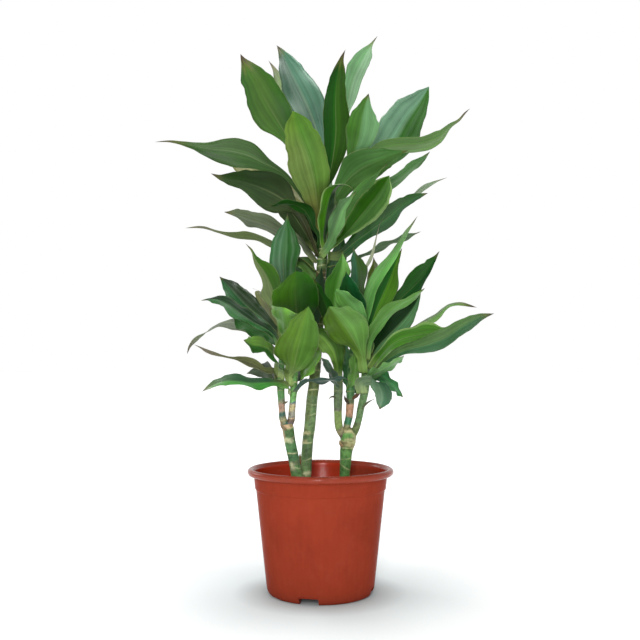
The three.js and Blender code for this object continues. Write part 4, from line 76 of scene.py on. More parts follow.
    {'name': 'head_17', 'slot': 'leaf_dark', 'kind': 'gloss', 'twist': 0.1203, 'faceAt': 0.55, 'face': [-0.6115, 0.4998, 0.6134], 'up': [[46, 93, 24], [46, 93, 24]], 'un': [[11, 54, 5], [61, 113, 20]], 'pale': 0.3, 'left': [5.5, 6.5, 8.1, 11.1, 14.2, 17.3, 19.7, 18.3, 15.2, 12.4, 11.0, 9.3, 7.2, 4.6, 1.7, 0.0], 'right': [5.5, 5.5, 5.7, 6.7, 8.3, 10.2, 11.8, 12.8, 12.9, 12.4, 12.8, 12.9, 11.3, 6.4, 2.0, 0.0], 'points': [[7.6, -6.5, 447.5], [3.3, -15.5, 464.0], [5.8, -34.9, 484.9], [9.5, -52.0, 504.1], [15.8, -64.7, 518.5], [24.4, -72.4, 524.0], [33.0, -78.3, 522.2], [41.5, -85.5, 514.6]]},
    {'name': 'head_18', 'slot': 'leaf_pale', 'kind': 'dull', 'twist': 0.4148, 'faceAt': 0.55, 'face': [0.9439, 0.2935, 0.1512], 'up': [[72, 115, 61], [72, 115, 61]], 'un': [[92, 137, 79], [76, 111, 68]], 'left': [5.5, 5.5, 5.6, 6.5, 7.8, 9.5, 11.0, 12.3, 13.0, 13.4, 13.1, 11.8, 8.7, 5.3, 1.8, 0.0], 'right': [5.5, 5.5, 5.7, 7.3, 10.1, 14.1, 18.5, 20.9, 22.0, 21.6, 19.4, 14.3, 9.8, 5.6, 1.8, 0.0], 'points': [[0.0, -7.5, 440.1], [9.1, -26.0, 450.8], [15.9, -55.5, 463.9], [21.7, -82.1, 477.8], [27.4, -101.1, 489.6], [35.5, -115.3, 498.2], [42.3, -126.6, 505.9]]},
    {'name': 'head_19', 'slot': 'leaf_green', 'kind': 'satin', 'twist': 0.7046, 'faceAt': 0.55, 'face': [0.1144, -0.9923, -0.0473], 'up': [[47, 77, 32], [52, 79, 37]], 'un': [[89, 111, 72], [89, 111, 72]], 'dry': 0.09, 'mid': 0.15, 'basec': (84, 80, 48, 0.2, 0.5), 'left': [2.7, 2.7, 2.7, 2.7, 2.7, 2.9, 6.2, 12.4, 18.9, 21.3, 18.5, 11.9, 5.2, 2.5, 1.8, 0.0], 'right': [2.7, 2.7, 2.7, 3.2, 3.8, 4.6, 6.1, 12.2, 17.9, 18.6, 14.6, 9.3, 5.2, 2.5, 0.7, 0.0], 'points': [[-3.2, 3.8, 481.9], [-6.2, 5.6, 494.9], [-17.8, -11.7, 508.2], [-33.5, -19.0, 529.5], [-46.5, -23.7, 544.4], [-59.4, -27.0, 553.6], [-76.2, -30.3, 560.8], [-94.2, -33.2, 569.4], [-113.5, -35.4, 574.1], [-135.4, -37.2, 576.3], [-156.0, -38.3, 578.7], [-180.5, -38.9, 584.4], [-197.3, -39.1, 587.0], [-214.1, -39.2, 585.6]]},
    # head_21 turns dark brown towards its base: painted shade where it passes under the crown
    {'name': 'head_21', 'slot': 'leaf_dark', 'kind': 'satin', 'twist': -0.6688, 'faceAt': 0.55, 'face': [0.285, 0.9388, 0.1932], 'up': [[41, 79, 27], [41, 79, 27]], 'un': [[32, 59, 14], [40, 64, 25]], 'dry': 0.05, 'basec': (60, 50, 36, 0.7, 0.7), 'left': [5.3, 5.3, 5.3, 5.3, 5.3, 6.2, 12.2, 22.3, 32.4, 30.4, 23.6, 18.5, 14.8, 9.5, 2.3, 0.0], 'right': [5.3, 5.3, 5.3, 5.3, 5.3, 6.8, 13.4, 23.3, 25.9, 25.7, 20.7, 13.6, 9.4, 7.8, 4.7, 0.0], 'points': [[-5.3, -3.2, 440.8], [-8.4, -4.8, 453.8], [-31.5, 8.1, 503.5], [-54.6, 12.7, 522.5], [-80.6, 17.8, 536.3], [-105.4, 22.6, 545.4], [-129.1, 27.3, 551.2], [-150.2, 31.9, 559.0]]},
    {'name': 'head_22', 'slot': 'leaf_dark', 'kind': 'dull', 'twist': -0.7093, 'faceAt': 0.55, 'face': [0.2536, 0.4, 0.8808], 'up': [[36, 80, 24], [36, 80, 24]], 'un': [[24, 65, 14], [24, 65, 14]], 'basec': (28, 60, 25, 0.6, 0.6), 'left': [5.5, 5.5, 5.6, 6.3, 7.5, 8.9, 10.4, 11.7, 12.6, 13.0, 12.4, 10.9, 8.6, 5.6, 2.0, 0.0], 'right': [5.5, 5.5, 5.6, 6.3, 7.5, 8.9, 10.4, 11.7, 12.6, 13.0, 12.4, 10.9, 8.6, 5.6, 2.0, 0.0], 'points': [[-5.1, -3.2, 449.9], [-3.3, -10.7, 464.6], [-9.8, -21.8, 480.2], [-17.5, -32.5, 494.3], [-29.0, -41.9, 502.6], [-41.6, -50.1, 503.8], [-56.4, -59.8, 500.9], [-68.6, -68.1, 496.3]]},
    {'name': 'head_23', 'slot': 'leaf_green', 'kind': 'dull', 'twist': 0.6845, 'faceAt': 0.55, 'face': [0.4792, -0.8324, 0.2784], 'up': [[90, 99, 78], [85, 95, 69]], 'un': [[103, 119, 86], [103, 119, 86]], 'dry': 0.05, 'sheen_streaks': 0.08, 'left': [11.7, 13.7, 12.9, 5.6, 6.6, 9.5, 12.1, 12.5, 11.9, 10.6, 9.6, 12.6, 11.2, 4.0, 1.7, 0.0], 'right': [8.7, 9.2, 9.9, 10.7, 11.7, 12.0, 12.0, 11.9, 13.6, 14.2, 13.1, 12.3, 10.1, 8.6, 3.8, 0.0], 'points': [[-6.0, 4.7, 433.1], [-16.7, 7.0, 448.1], [-34.2, 8.8, 465.8], [-54.2, 5.8, 476.1], [-73.9, -1.8, 484.5], [-90.5, -11.4, 489.0], [-107.8, -24.2, 492.4], [-124.6, -38.6, 494.7]]},
    {'name': 'head_24', 'slot': 'leaf_green', 'kind': 'matt', 'twist': -0.4298, 'faceAt': 0.55, 'face': [0.2911, 0.3905, 0.8734], 'up': [[79, 105, 57], [79, 105, 57]], 'un': [[94, 110, 67], [94, 110, 67]], 'dry': 0.05, 'tipc': (108, 102, 90, 0.55, 0.8), 'left': [7.7, 7.7, 7.9, 9.5, 12.8, 17.4, 19.5, 16.4, 13.9, 8.1, 6.4, 5.1, 4.7, 3.2, 1.6, 0.0], 'right': [8.6, 9.1, 8.6, 8.4, 8.9, 10.2, 10.7, 6.8, 6.3, 5.6, 3.7, 3.0, 4.4, 3.2, 1.6, 0.0], 'points': [[-7.2, 3.2, 422.5], [-19.4, 4.8, 434.4], [-40.9, 8.9, 446.9], [-65.4, 14.3, 458.4], [-84.6, 19.2, 465.8], [-102.6, 24.1, 469.1], [-123.6, 30.3, 474.0], [-145.0, 37.3, 480.5], [-166.6, 44.6, 486.4], [-187.7, 51.7, 486.7]]},
    {'name': 'head_25', 'slot': 'leaf_green', 'kind': 'matt', 'twist': 0.5915, 'faceAt': 0.55, 'face': [-0.6054, 0.2641, 0.7508], 'up': [[67, 100, 60], [67, 100, 60]], 'un': [[77, 101, 72], [77, 101, 72]], 'dry': 0.06, 'left': [5.5, 5.5, 5.6, 6.4, 8.8, 12.6, 16.7, 14.4, 10.1, 8.2, 8.9, 10.7, 9.7, 7.2, 3.2, 0.0], 'right': [5.5, 5.6, 6.6, 9.0, 12.4, 15.1, 16.9, 13.7, 10.6, 9.1, 9.2, 9.1, 7.5, 5.1, 1.9, 0.0], 'points': [[9.7, 4.5, 427.4], [32.9, 12.0, 433.8], [56.4, 25.1, 444.0], [79.2, 40.3, 456.0], [102.7, 57.5, 468.5], [123.8, 73.4, 477.6], [144.0, 89.5, 487.0]]},
    {'name': 'left_01', 'slot': 'leaf_pale', 'kind': 'satin', 'twist': -0.7216, 'faceAt': 0.55, 'face': [-0.1382, -0.9903, -0.0145], 'up': [[44, 92, 48], [25, 78, 16]], 'un': [[85, 114, 72], [85, 114, 72]], 'dry': 0.03, 'sheen_streaks': 0.07, 'left': [5.5, 5.5, 5.6, 6.5, 7.9, 9.7, 11.7, 13.8, 15.9, 17.7, 18.8, 17.4, 15.5, 9.3, 2.8, 0.0], 'right': [5.5, 5.5, 5.6, 6.5, 7.9, 9.7, 11.7, 13.7, 15.7, 18.9, 22.5, 24.0, 19.3, 12.2, 3.8, 0.0], 'points': [[-45.5, -8.6, 326.3], [-42.9, -6.3, 339.3], [-48.0, -12.3, 375.9], [-48.0, -12.5, 408.9], [-49.4, -12.6, 435.3], [-48.1, -12.7, 455.1], [-45.5, -12.8, 477.6], [-43.5, -12.9, 496.8]]},
    {'name': 'left_02', 'slot': 'leaf_green', 'kind': 'satin', 'twist': 0.2341, 'faceAt': 0.55, 'face': [0.471, 0.874, -0.1194], 'up': [[66, 99, 43], [66, 99, 43]], 'un': [[47, 86, 15], [94, 111, 67]], 'dry': 0.08, 'left': [5.5, 5.5, 5.7, 6.6, 8.3, 10.4, 12.6, 14.6, 15.9, 15.2, 11.8, 7.2, 3.7, 2.0, 0.9, 0.0], 'right': [5.5, 5.5, 5.7, 6.6, 8.5, 12.3, 17.9, 22.4, 12.1, 9.0, 7.2, 5.4, 3.4, 1.8, 1.2, 0.0], 'points': [[-50.0, -17.2, 328.7], [-51.5, -22.0, 353.2], [-56.5, -26.8, 377.7], [-63.1, -25.2, 397.4], [-72.7, -17.7, 417.6], [-85.4, -5.9, 436.0], [-92.2, 4.3, 450.4], [-101.0, 13.1, 460.3]]},
    {'name': 'left_03', 'slot': 'leaf_green', 'kind': 'dull', 'twist': -0.5749, 'faceAt': 0.55, 'face': [-0.2587, 0.3671, 0.8935], 'up': [[48, 96, 25], [48, 96, 25]], 'un': [[32, 87, 11], [59, 102, 22]], 'dry': 0, 'olive': 0.03, 'soft': 0.9, 'left': [6.0, 6.0, 6.5, 9.5, 14.4, 20.0, 25.2, 28.9, 30.0, 29.7, 28.6, 26.3, 22.6, 17.1, 9.6, 0.0], 'right': [6.0, 6.0, 6.5, 9.5, 14.4, 20.0, 25.2, 28.9, 30.0, 29.7, 28.6, 26.3, 22.6, 17.1, 9.6, 0.0], 'points': [[-33.1, -14.7, 323.0], [-30.4, -30.4, 336.1], [-29.6, -60.8, 351.8], [-29.8, -100.9, 369.8], [-30.1, -137.5, 384.4], [-28.6, -169.7, 395.8], [-27.4, -194.4, 403.8]]},
    {'name': 'left_07', 'slot': 'leaf_green', 'kind': 'gloss', 'twist': 0.0108, 'faceAt': 0.55, 'face': [-0.1237, -0.9181, 0.3766], 'up': [[23, 75, 31], [25, 47, 15]], 'un': [[83, 106, 69], [83, 106, 69]], 'dry': 0.03, 'sheen_streaks': 0.05, 'left': [5.5, 5.5, 5.6, 6.4, 7.8, 9.6, 11.4, 13.1, 14.4, 15.1, 14.7, 13.7, 11.5, 8.4, 3.8, 0.0], 'right': [5.5, 5.5, 5.6, 6.4, 7.8, 9.6, 12.0, 14.6, 16.8, 16.5, 16.0, 14.7, 13.0, 9.9, 3.9, 0.0], 'points': [[-50.0, -6.9, 329.9], [-63.0, -0.3, 346.0], [-78.4, 11.4, 359.8], [-95.3, 21.3, 372.4], [-109.5, 28.2, 386.3], [-123.6, 33.1, 401.7], [-138.5, 37.2, 417.8]]},
    {'name': 'left_08', 'slot': 'leaf_dark', 'kind': 'satin', 'twist': -0.0129, 'faceAt': 0.55, 'face': [0.2914, 0.5276, 0.798], 'up': [[37, 87, 30], [37, 87, 30]], 'un': [[10, 49, 8], [39, 100, 39]], 'dry': 0.03, 'sheen_streaks': 0.08, 'left': [5.5, 5.5, 5.7, 6.7, 8.4, 10.5, 12.7, 14.5, 15.7, 15.9, 14.9, 13.0, 10.4, 7.9, 3.8, 0.0], 'right': [5.5, 5.5, 5.7, 6.7, 8.4, 10.5, 12.7, 14.7, 17.4, 19.8, 20.2, 15.6, 11.7, 10.7, 3.9, 0.0], 'points': [[-53.7, -16.6, 317.4], [-59.4, -19.4, 335.0], [-72.0, -26.4, 345.3], [-88.3, -34.7, 354.0], [-103.1, -42.4, 364.0], [-117.8, -49.8, 375.1], [-133.6, -56.4, 381.1], [-150.4, -63.3, 378.8]]},
    {'name': 'left_09', 'slot': 'leaf_pale', 'kind': 'dull', 'twist': 0.2086, 'faceAt': 0.55, 'face': [-0.214, -0.5377, 0.8155], 'up': [[104, 112, 95], [104, 112, 95]], 'un': [[111, 126, 96], [111, 126, 96]], 'dry': 0.05, 'tipc': (112, 104, 96, 0.7, 0.7), 'curl': 0.7, 'curlAt': 0.62, 'left': [5.5, 5.5, 5.5, 5.7, 6.5, 8.4, 11.2, 13.9, 14.6, 14.9, 9.3, 5.6, 4.8, 4.6, 3.0, 0.0], 'right': [5.5, 5.5, 5.5, 5.7, 6.4, 7.5, 8.6, 9.5, 9.3, 4.6, 3.2, 5.0, 4.6, 4.6, 3.2, 0.0], 'points': [[-54.3, -8.6, 309.0], [-69.8, 3.1, 323.5], [-90.7, 15.4, 338.4], [-106.2, 23.5, 348.8], [-120.4, 29.7, 353.7], [-134.6, 35.5, 353.9], [-146.1, 40.5, 348.6], [-157.8, 46.0, 341.2], [-170.9, 52.0, 333.0], [-181.4, 57.7, 322.0], [-186.1, 62.1, 311.6]]},
    {'name': 'left_10', 'slot': 'leaf_green', 'kind': 'satin', 'twist': 0.6067, 'faceAt': 0.55, 'face': [0.9176, -0.281, 0.281], 'up': [[39, 84, 29], [89, 127, 52]], 'un': [[95, 124, 74], [95, 124, 74]], 'dry': 0.03, 'left': [8.7, 9.3, 9.4, 9.5, 10.0, 11.7, 14.4, 16.2, 10.0, 6.4, 7.1, 8.7, 9.8, 9.3, 4.1, 0.0], 'right': [11.1, 12.7, 11.2, 10.0, 9.6, 10.5, 11.6, 12.5, 13.0, 13.0, 12.7, 12.1, 11.7, 9.7, 3.9, 0.0], 'points': [[-55.0, -19.7, 281.6], [-53.1, -26.5, 288.2], [-56.3, -55.6, 302.7], [-62.2, -85.5, 315.2], [-70.6, -108.5, 319.9], [-80.7, -134.8, 322.1], [-88.5, -160.2, 327.5]]},
    {'name': 'left_11', 'slot': 'leaf_green', 'kind': 'matt', 'twist': -0.5281, 'faceAt': 0.55, 'face': [0.3224, -0.2728, 0.9064], 'up': [[105, 106, 77], [109, 113, 75]], 'un': [[112, 124, 87], [112, 124, 87]], 'dry': 0.04, 'tipc': (104, 94, 88, 0.45, 0.75), 'basec': (142, 150, 98, 0.5, 0.6), 'left': [5.5, 5.5, 5.5, 5.5, 5.5, 6.2, 8.8, 11.9, 10.3, 5.5, 5.7, 8.6, 9.6, 6.4, 2.3, 0.0], 'right': [5.5, 5.5, 5.6, 6.1, 7.0, 8.5, 11.9, 13.7, 14.1, 10.0, 6.7, 4.3, 3.4, 2.8, 2.9, 0.0], 'points': [[-57.5, -11.3, 275.7], [-60.6, -9.6, 288.7], [-71.8, -28.1, 289.6], [-85.5, -35.8, 298.0], [-102.8, -43.7, 303.9], [-122.5, -51.0, 307.7], [-142.0, -57.4, 315.3], [-159.0, -62.5, 323.5]]},
    {'name': 'left_13', 'slot': 'leaf_dark', 'kind': 'gloss', 'twist': -0.3028, 'faceAt': 0.55, 'face': [0.4873, -0.3827, 0.7849], 'up': [[69, 141, 61], [49, 81, 55]], 'un': [[92, 128, 79], [92, 128, 79]], 'dry': 0.05, 'tipc': (100, 120, 85, 0.6, 0.7), 'basec': (150, 165, 100, 0.35, 0.7), 'left': [5.2, 6.2, 7.4, 8.7, 8.8, 8.8, 10.0, 13.1, 15.2, 12.7, 6.5, 5.8, 8.1, 4.5, 2.5, 0.0], 'right': [5.5, 5.9, 6.2, 5.9, 5.5, 5.8, 7.5, 11.6, 13.6, 13.2, 12.5, 12.2, 7.5, 5.9, 3.2, 0.0], 'points': [[-41.4, -14.5, 259.8], [-42.0, -27.8, 270.2], [-54.3, -42.2, 275.2], [-68.7, -57.0, 275.6], [-85.2, -73.1, 275.5], [-101.2, -88.3, 277.8], [-116.9, -102.5, 278.2], [-129.9, -114.9, 273.2], [-140.4, -125.7, 267.1]]},
    {'name': 'left_14', 'slot': 'leaf_pale', 'kind': 'satin', 'twist': -0.1257, 'faceAt': 0.55, 'face': [0.247, 0.269, 0.9309], 'up': [[82, 136, 42], [82, 136, 42]], 'un': [[112, 173, 56], [79, 134, 37]], 'dry': 0, 'pale': 0.2, 'left': [4.2, 4.3, 4.3, 4.9, 5.8, 7.1, 8.6, 10.3, 12.0, 13.5, 14.9, 16.0, 16.8, 16.9, 13.1, 0.0], 'right': [4.2, 4.3, 4.3, 4.9, 5.8, 7.1, 8.6, 10.3, 12.0, 13.5, 14.9, 16.0, 16.8, 16.9, 13.1, 0.0], 'points': [[-50.7, -18.4, 312.9], [-46.9, -37.3, 328.2], [-44.5, -72.6, 341.4], [-42.8, -110.8, 352.4], [-42.3, -140.5, 359.5], [-41.9, -165.2, 364.7]]},
    {'name': 'left_15', 'slot': 'leaf_pale', 'kind': 'satin', 'twist': -0.4804, 'faceAt': 0.55, 'face': [0.0126, 0.5597, 0.8286], 'up': [[67, 107, 37], [67, 107, 37]], 'un': [[75, 115, 43], [77, 111, 35]], 'dry': 0, 'mid': 0.12, 'basec': (156, 180, 108, 0.42, 0.75), 'left': [5.4, 5.4, 5.4, 5.5, 7.7, 12.7, 18.6, 23.2, 24.7, 24.2, 22.9, 20.6, 17.1, 12.6, 6.9, 0.0], 'right': [6.8, 7.8, 9.1, 9.3, 12.1, 18.6, 25.0, 28.5, 28.0, 25.6, 23.0, 20.6, 17.1, 12.6, 6.9, 0.0], 'points': [[-38.9, -17.1, 269.1], [-41.0, -20.0, 282.1], [-34.1, -58.2, 293.9], [-28.9, -89.1, 314.0], [-23.4, -117.3, 333.0], [-18.2, -143.7, 351.2], [-13.8, -165.2, 365.8]]},
    {'name': 'left_16', 'slot': 'leaf_pale', 'kind': 'gloss', 'twist': -0.6161, 'faceAt': 0.55, 'face': [-0.8482, -0.5269, 0.054], 'up': [[84, 130, 43], [91, 140, 47]], 'un': [[103, 137, 74], [103, 137, 74]], 'dry': 0.04, 'left': [4.7, 3.7, 2.8, 4.2, 6.5, 8.9, 10.6, 11.9, 12.8, 12.9, 12.1, 10.5, 8.3, 5.4, 1.9, 0.0], 'right': [5.5, 4.7, 3.8, 3.4, 6.6, 10.1, 12.5, 13.6, 13.9, 13.4, 12.1, 10.5, 8.3, 5.4, 1.9, 0.0], 'points': [[-28.7, -13.3, 265.9], [-22.7, -27.0, 287.0], [-13.5, -38.4, 296.8], [-4.5, -53.6, 307.7], [1.8, -68.0, 317.8]]},
    {'name': 'right_01', 'slot': 'leaf_green', 'kind': 'satin', 'twist': -0.4844, 'faceAt': 0.55, 'face': [-0.2976, 0.5028, 0.8115], 'up': [[67, 109, 40], [67, 109, 40]], 'un': [[86, 129, 57], [66, 99, 23]], 'dry': 0, 'mid': 0.1, 'basec': (140, 175, 95, 0.35, 0.6), 'left': [5.5, 5.5, 5.6, 7.4, 11.1, 15.8, 20.5, 24.3, 26.2, 26.1, 25.0, 22.7, 19.1, 14.1, 7.8, 0.0], 'right': [6.9, 7.6, 7.0, 8.2, 11.3, 15.8, 20.5, 24.3, 26.2, 26.1, 25.0, 22.7, 19.1, 14.1, 7.8, 0.0], 'points': [[57.0, -15.0, 285.9], [53.8, -26.4, 306.4], [45.0, -51.7, 324.2], [33.9, -82.7, 341.1], [22.2, -114.4, 354.7], [9.8, -149.0, 366.7]]},
    {'name': 'right_02', 'slot': 'leaf_green', 'kind': 'satin', 'twist': -0.6797, 'faceAt': 0.55, 'face': [-0.4944, 0.6609, 0.5647], 'up': [[66, 105, 37], [66, 105, 37]], 'un': [[51, 85, 23], [92, 128, 51]], 'dry': 0, 'mid': 0.35, 'left': [5.5, 5.5, 5.7, 7.0, 9.2, 11.8, 14.4, 16.4, 17.4, 17.1, 16.0, 14.7, 12.8, 9.7, 4.9, 0.0], 'right': [5.5, 5.5, 5.6, 6.3, 6.9, 7.0, 7.8, 9.3, 14.2, 15.6, 15.3, 13.9, 11.4, 8.2, 4.4, 0.0], 'points': [[22.0, -12.6, 276.6], [22.9, -13.3, 290.6], [20.1, -27.6, 306.4], [14.7, -43.4, 320.5], [6.9, -58.0, 330.4], [-1.9, -70.8, 335.8], [-9.3, -80.8, 333.8]]},
    {'name': 'right_03', 'slot': 'leaf_pale', 'kind': 'satin', 'twist': -0.203, 'faceAt': 0.55, 'face': [-0.0464, 0.49, 0.8705], 'up': [[96, 151, 74], [96, 151, 74]], 'un': [[115, 174, 95], [117, 178, 84]], 'dry': 0, 'left': [5.5, 5.5, 5.6, 6.4, 7.8, 9.5, 11.3, 13.0, 14.3, 14.9, 14.6, 13.3, 11.1, 8.1, 4.4, 0.0], 'right': [5.5, 5.5, 5.6, 6.4, 7.8, 9.5, 11.3, 13.0, 14.3, 14.9, 14.6, 13.3, 11.1, 8.1, 4.4, 0.0], 'points': [[58.3, -13.9, 314.0], [57.2, -17.2, 327.0], [55.2, -24.3, 342.7], [48.0, -42.8, 358.9], [38.4, -62.8, 370.6], [27.7, -87.2, 381.7], [18.7, -109.5, 389.9]]},
    {'name': 'right_04', 'slot': 'leaf_dark', 'kind': 'gloss', 'twist': -0.2129, 'faceAt': 0.55, 'face': [0.5591, -0.7261, 0.4001], 'up': [[19, 83, 16], [16, 75, 14]], 'un': [[82, 112, 68], [82, 112, 68]], 'sheen_streaks': 0.08, 'left': [5.5, 5.5, 5.6, 6.3, 7.5, 9.2, 12.0, 15.5, 19.3, 20.6, 18.8, 15.3, 11.4, 7.5, 2.6, 0.0], 'right': [5.5, 5.5, 5.6, 6.3, 7.5, 9.1, 10.8, 12.4, 13.8, 14.7, 14.9, 13.8, 11.2, 7.5, 2.6, 0.0], 'points': [[18.8, 1.1, 324.3], [17.2, 4.3, 337.3], [20.4, 27.9, 357.7], [20.1, 52.2, 392.0], [21.9, 70.6, 421.4], [25.0, 84.5, 445.5], [29.6, 97.2, 468.5], [34.3, 110.2, 493.4]]},
    {'name': 'right_05', 'slot': 'leaf_pale', 'kind': 'satin', 'twist': 0.1377, 'faceAt': 0.55, 'face': [-0.5135, 0.8017, 0.3061], 'up': [[80, 132, 57], [80, 132, 57]], 'un': [[117, 176, 88], [62, 114, 36]], 'dry': 0.03, 'mid': 0.1, 'left': [5.5, 5.5, 5.6, 6.4, 7.7, 9.3, 11.0, 12.7, 14.0, 14.8, 15.1, 15.8, 15.3, 11.6, 3.5, 0.0], 'right': [5.5, 5.5, 5.6, 6.4, 7.7, 9.3, 11.0, 12.7, 14.2, 16.5, 18.6, 18.5, 13.5, 7.9, 2.5, 0.0], 'points': [[25.7, -9.4, 315.6], [27.8, -12.2, 328.6], [18.4, -12.5, 349.6], [18.3, -20.9, 382.0], [22.1, -25.7, 399.9], [25.9, -30.3, 416.5], [27.8, -34.1, 430.4], [28.3, -38.0, 444.2]]},
    {'name': 'right_06', 'slot': 'leaf_dark', 'kind': 'gloss', 'twist': -0.1969, 'faceAt': 0.55, 'face': [0.3219, 0.6106, 0.7235], 'up': [[36, 86, 35], [36, 86, 35]], 'un': [[23, 80, 40], [26, 75, 32]], 'dry': 0.02, 'left': [5.5, 5.5, 5.7, 6.6, 8.1, 10.1, 12.2, 14.2, 15.8, 16.8, 16.8, 15.2, 12.2, 8.0, 2.8, 0.0], 'right': [5.5, 5.5, 5.7, 6.6, 8.1, 10.1, 12.2, 14.2, 15.8, 16.8, 16.8, 15.2, 12.2, 8.0, 2.8, 0.0], 'points': [[41.1, 5.0, 327.9], [39.1, 2.1, 340.9], [43.8, -36.8, 368.1], [39.3, -54.4, 385.0], [34.4, -69.8, 400.3], [31.5, -83.0, 414.2]]},
    {'name': 'right_07', 'slot': 'leaf_green', 'kind': 'satin', 'twist': 0.1431, 'faceAt': 0.55, 'face': [-0.7299, 0.6602, 0.1768], 'up': [[45, 87, 39], [45, 87, 39]], 'un': [[40, 73, 15], [44, 84, 58]], 'dry': 0.03, 'left': [5.5, 5.5, 5.6, 6.3, 7.5, 9.1, 10.8, 12.4, 14.0, 17.4, 21.3, 22.8, 18.1, 12.6, 4.3, 0.0], 'right': [5.5, 5.5, 5.6, 6.3, 7.5, 9.1, 10.8, 12.4, 13.8, 14.7, 14.9, 13.9, 11.8, 8.4, 3.1, 0.0], 'points': [[50.1, 7.1, 332.9], [53.0, 5.2, 345.9], [48.2, -7.4, 363.0], [49.7, -17.7, 388.7], [48.9, -23.5, 410.6], [46.2, -26.8, 431.2], [42.2, -28.8, 450.5]]},
    {'name': 'right_10', 'slot': 'leaf_pale', 'kind': 'dull', 'twist': -0.295, 'faceAt': 0.55, 'face': [-0.7132, -0.6638, 0.2251], 'up': [[102, 154, 84], [104, 168, 84]], 'un': [[110, 152, 91], [110, 152, 91]], 'dry': 0.06, 'tipc': (116, 126, 106, 0.6, 0.6), 'left': [5.5, 5.5, 5.8, 7.5, 10.0, 12.4, 13.9, 13.2, 11.9, 10.0, 6.8, 6.0, 5.8, 4.4, 1.5, 0.0], 'right': [5.5, 5.5, 5.8, 7.5, 10.0, 12.4, 13.8, 13.2, 11.8, 10.2, 8.8, 7.3, 5.7, 4.5, 2.2, 0.0], 'points': [[66.3, -5.9, 312.3], [69.6, -4.8, 325.3], [59.8, -12.2, 340.4], [59.5, -17.8, 366.5], [64.5, -23.7, 391.0], [76.5, -30.1, 412.6], [89.7, -36.7, 434.0], [102.1, -43.1, 453.9], [113.1, -48.9, 471.2], [123.4, -54.6, 487.0]]},
    {'name': 'right_11', 'slot': 'leaf_green', 'kind': 'satin', 'twist': 0.0466, 'faceAt': 0.55, 'face': [0.4484, -0.8395, 0.3069], 'up': [[13, 76, 5], [60, 105, 14]], 'un': [[87, 117, 67], [87, 117, 67]], 'dry': 0.04, 'mid': 0.3, 'left': [5.5, 5.5, 5.7, 7.0, 9.1, 11.4, 13.5, 14.8, 14.4, 12.7, 10.7, 8.6, 6.4, 4.0, 1.6, 0.0], 'right': [5.5, 5.5, 5.7, 7.0, 9.1, 11.4, 13.5, 15.0, 16.6, 17.2, 16.0, 8.9, 5.1, 3.8, 2.5, 0.0], 'points': [[58.8, -2.4, 322.3], [57.7, 0.9, 335.3], [67.0, -0.8, 351.3], [75.6, 8.5, 373.1], [84.4, 19.0, 392.5], [95.0, 33.2, 415.4], [104.6, 49.1, 439.0], [114.4, 64.3, 460.2]]},
    {'name': 'right_12', 'slot': 'leaf_dark', 'kind': 'dull', 'twist': -0.5683, 'faceAt': 0.55, 'face': [0.6666, -0.7453, 0.0099], 'up': [[24, 70, 15], [10, 58, 11]], 'un': [[82, 107, 68], [82, 107, 68]], 'dry': 0.04, 'left': [5.5, 5.5, 5.6, 6.4, 7.8, 9.5, 11.2, 12.7, 14.1, 17.4, 21.1, 21.6, 17.5, 11.5, 4.0, 0.0], 'right': [5.5, 5.5, 5.6, 6.4, 7.8, 9.5, 11.3, 13.0, 14.5, 15.5, 15.0, 10.1, 6.2, 4.0, 3.0, 0.0], 'points': [[58.2, -2.3, 316.1], [57.0, 1.0, 329.1], [73.8, 23.9, 345.4], [90.4, 46.6, 368.1], [108.6, 65.3, 385.8], [127.2, 82.3, 402.5], [146.3, 99.3, 421.0], [161.2, 114.6, 441.3], [175.8, 130.1, 463.6]]},
    {'name': 'right_15', 'slot': 'leaf_pale', 'kind': 'satin', 'twist': -0.5235, 'faceAt': 0.55, 'face': [-0.2193, 0.4886, 0.8445], 'up': [[75, 123, 54], [75, 123, 54]], 'un': [[92, 143, 68], [83, 128, 58]], 'dry': 0.04, 'left': [5.5, 5.5, 5.6, 6.2, 7.3, 8.7, 10.1, 11.4, 12.4, 12.9, 12.6, 11.5, 10.6, 8.3, 3.4, 0.0], 'right': [5.5, 5.5, 5.6, 6.2, 7.3, 8.7, 10.1, 11.4, 12.4, 12.9, 12.6, 11.2, 8.9, 5.9, 2.1, 0.0], 'points': [[59.6, -14.7, 303.4], [62.3, -24.6, 325.8], [69.8, -40.8, 344.8], [82.7, -58.0, 360.8], [96.5, -74.1, 372.5], [112.3, -90.7, 380.8], [126.3, -107.6, 391.3]]},
    {'name': 'right_16', 'slot': 'leaf_green', 'kind': 'dull', 'twist': -0.6361, 'faceAt': 0.55, 'face': [-0.191, -0.9757, 0.1077], 'up': [[8, 42, 7], [72, 113, 71]], 'un': [[89, 115, 76], [89, 115, 76]], 'dry': 0.04, 'left': [8.1, 8.2, 8.7, 10.4, 12.9, 14.4, 15.4, 15.9, 16.2, 15.5, 14.0, 11.9, 9.2, 6.0, 2.2, 0.0], 'right': [8.1, 8.1, 8.3, 9.3, 10.9, 12.8, 14.6, 15.7, 15.4, 13.7, 11.5, 9.3, 6.7, 4.5, 2.3, 0.0], 'points': [[65.0, -3.4, 300.4], [74.8, -1.3, 319.5], [88.4, 2.4, 334.1], [103.2, 3.3, 348.8], [116.3, 1.2, 363.4], [126.6, -3.1, 379.1], [132.7, -8.1, 394.7]]},
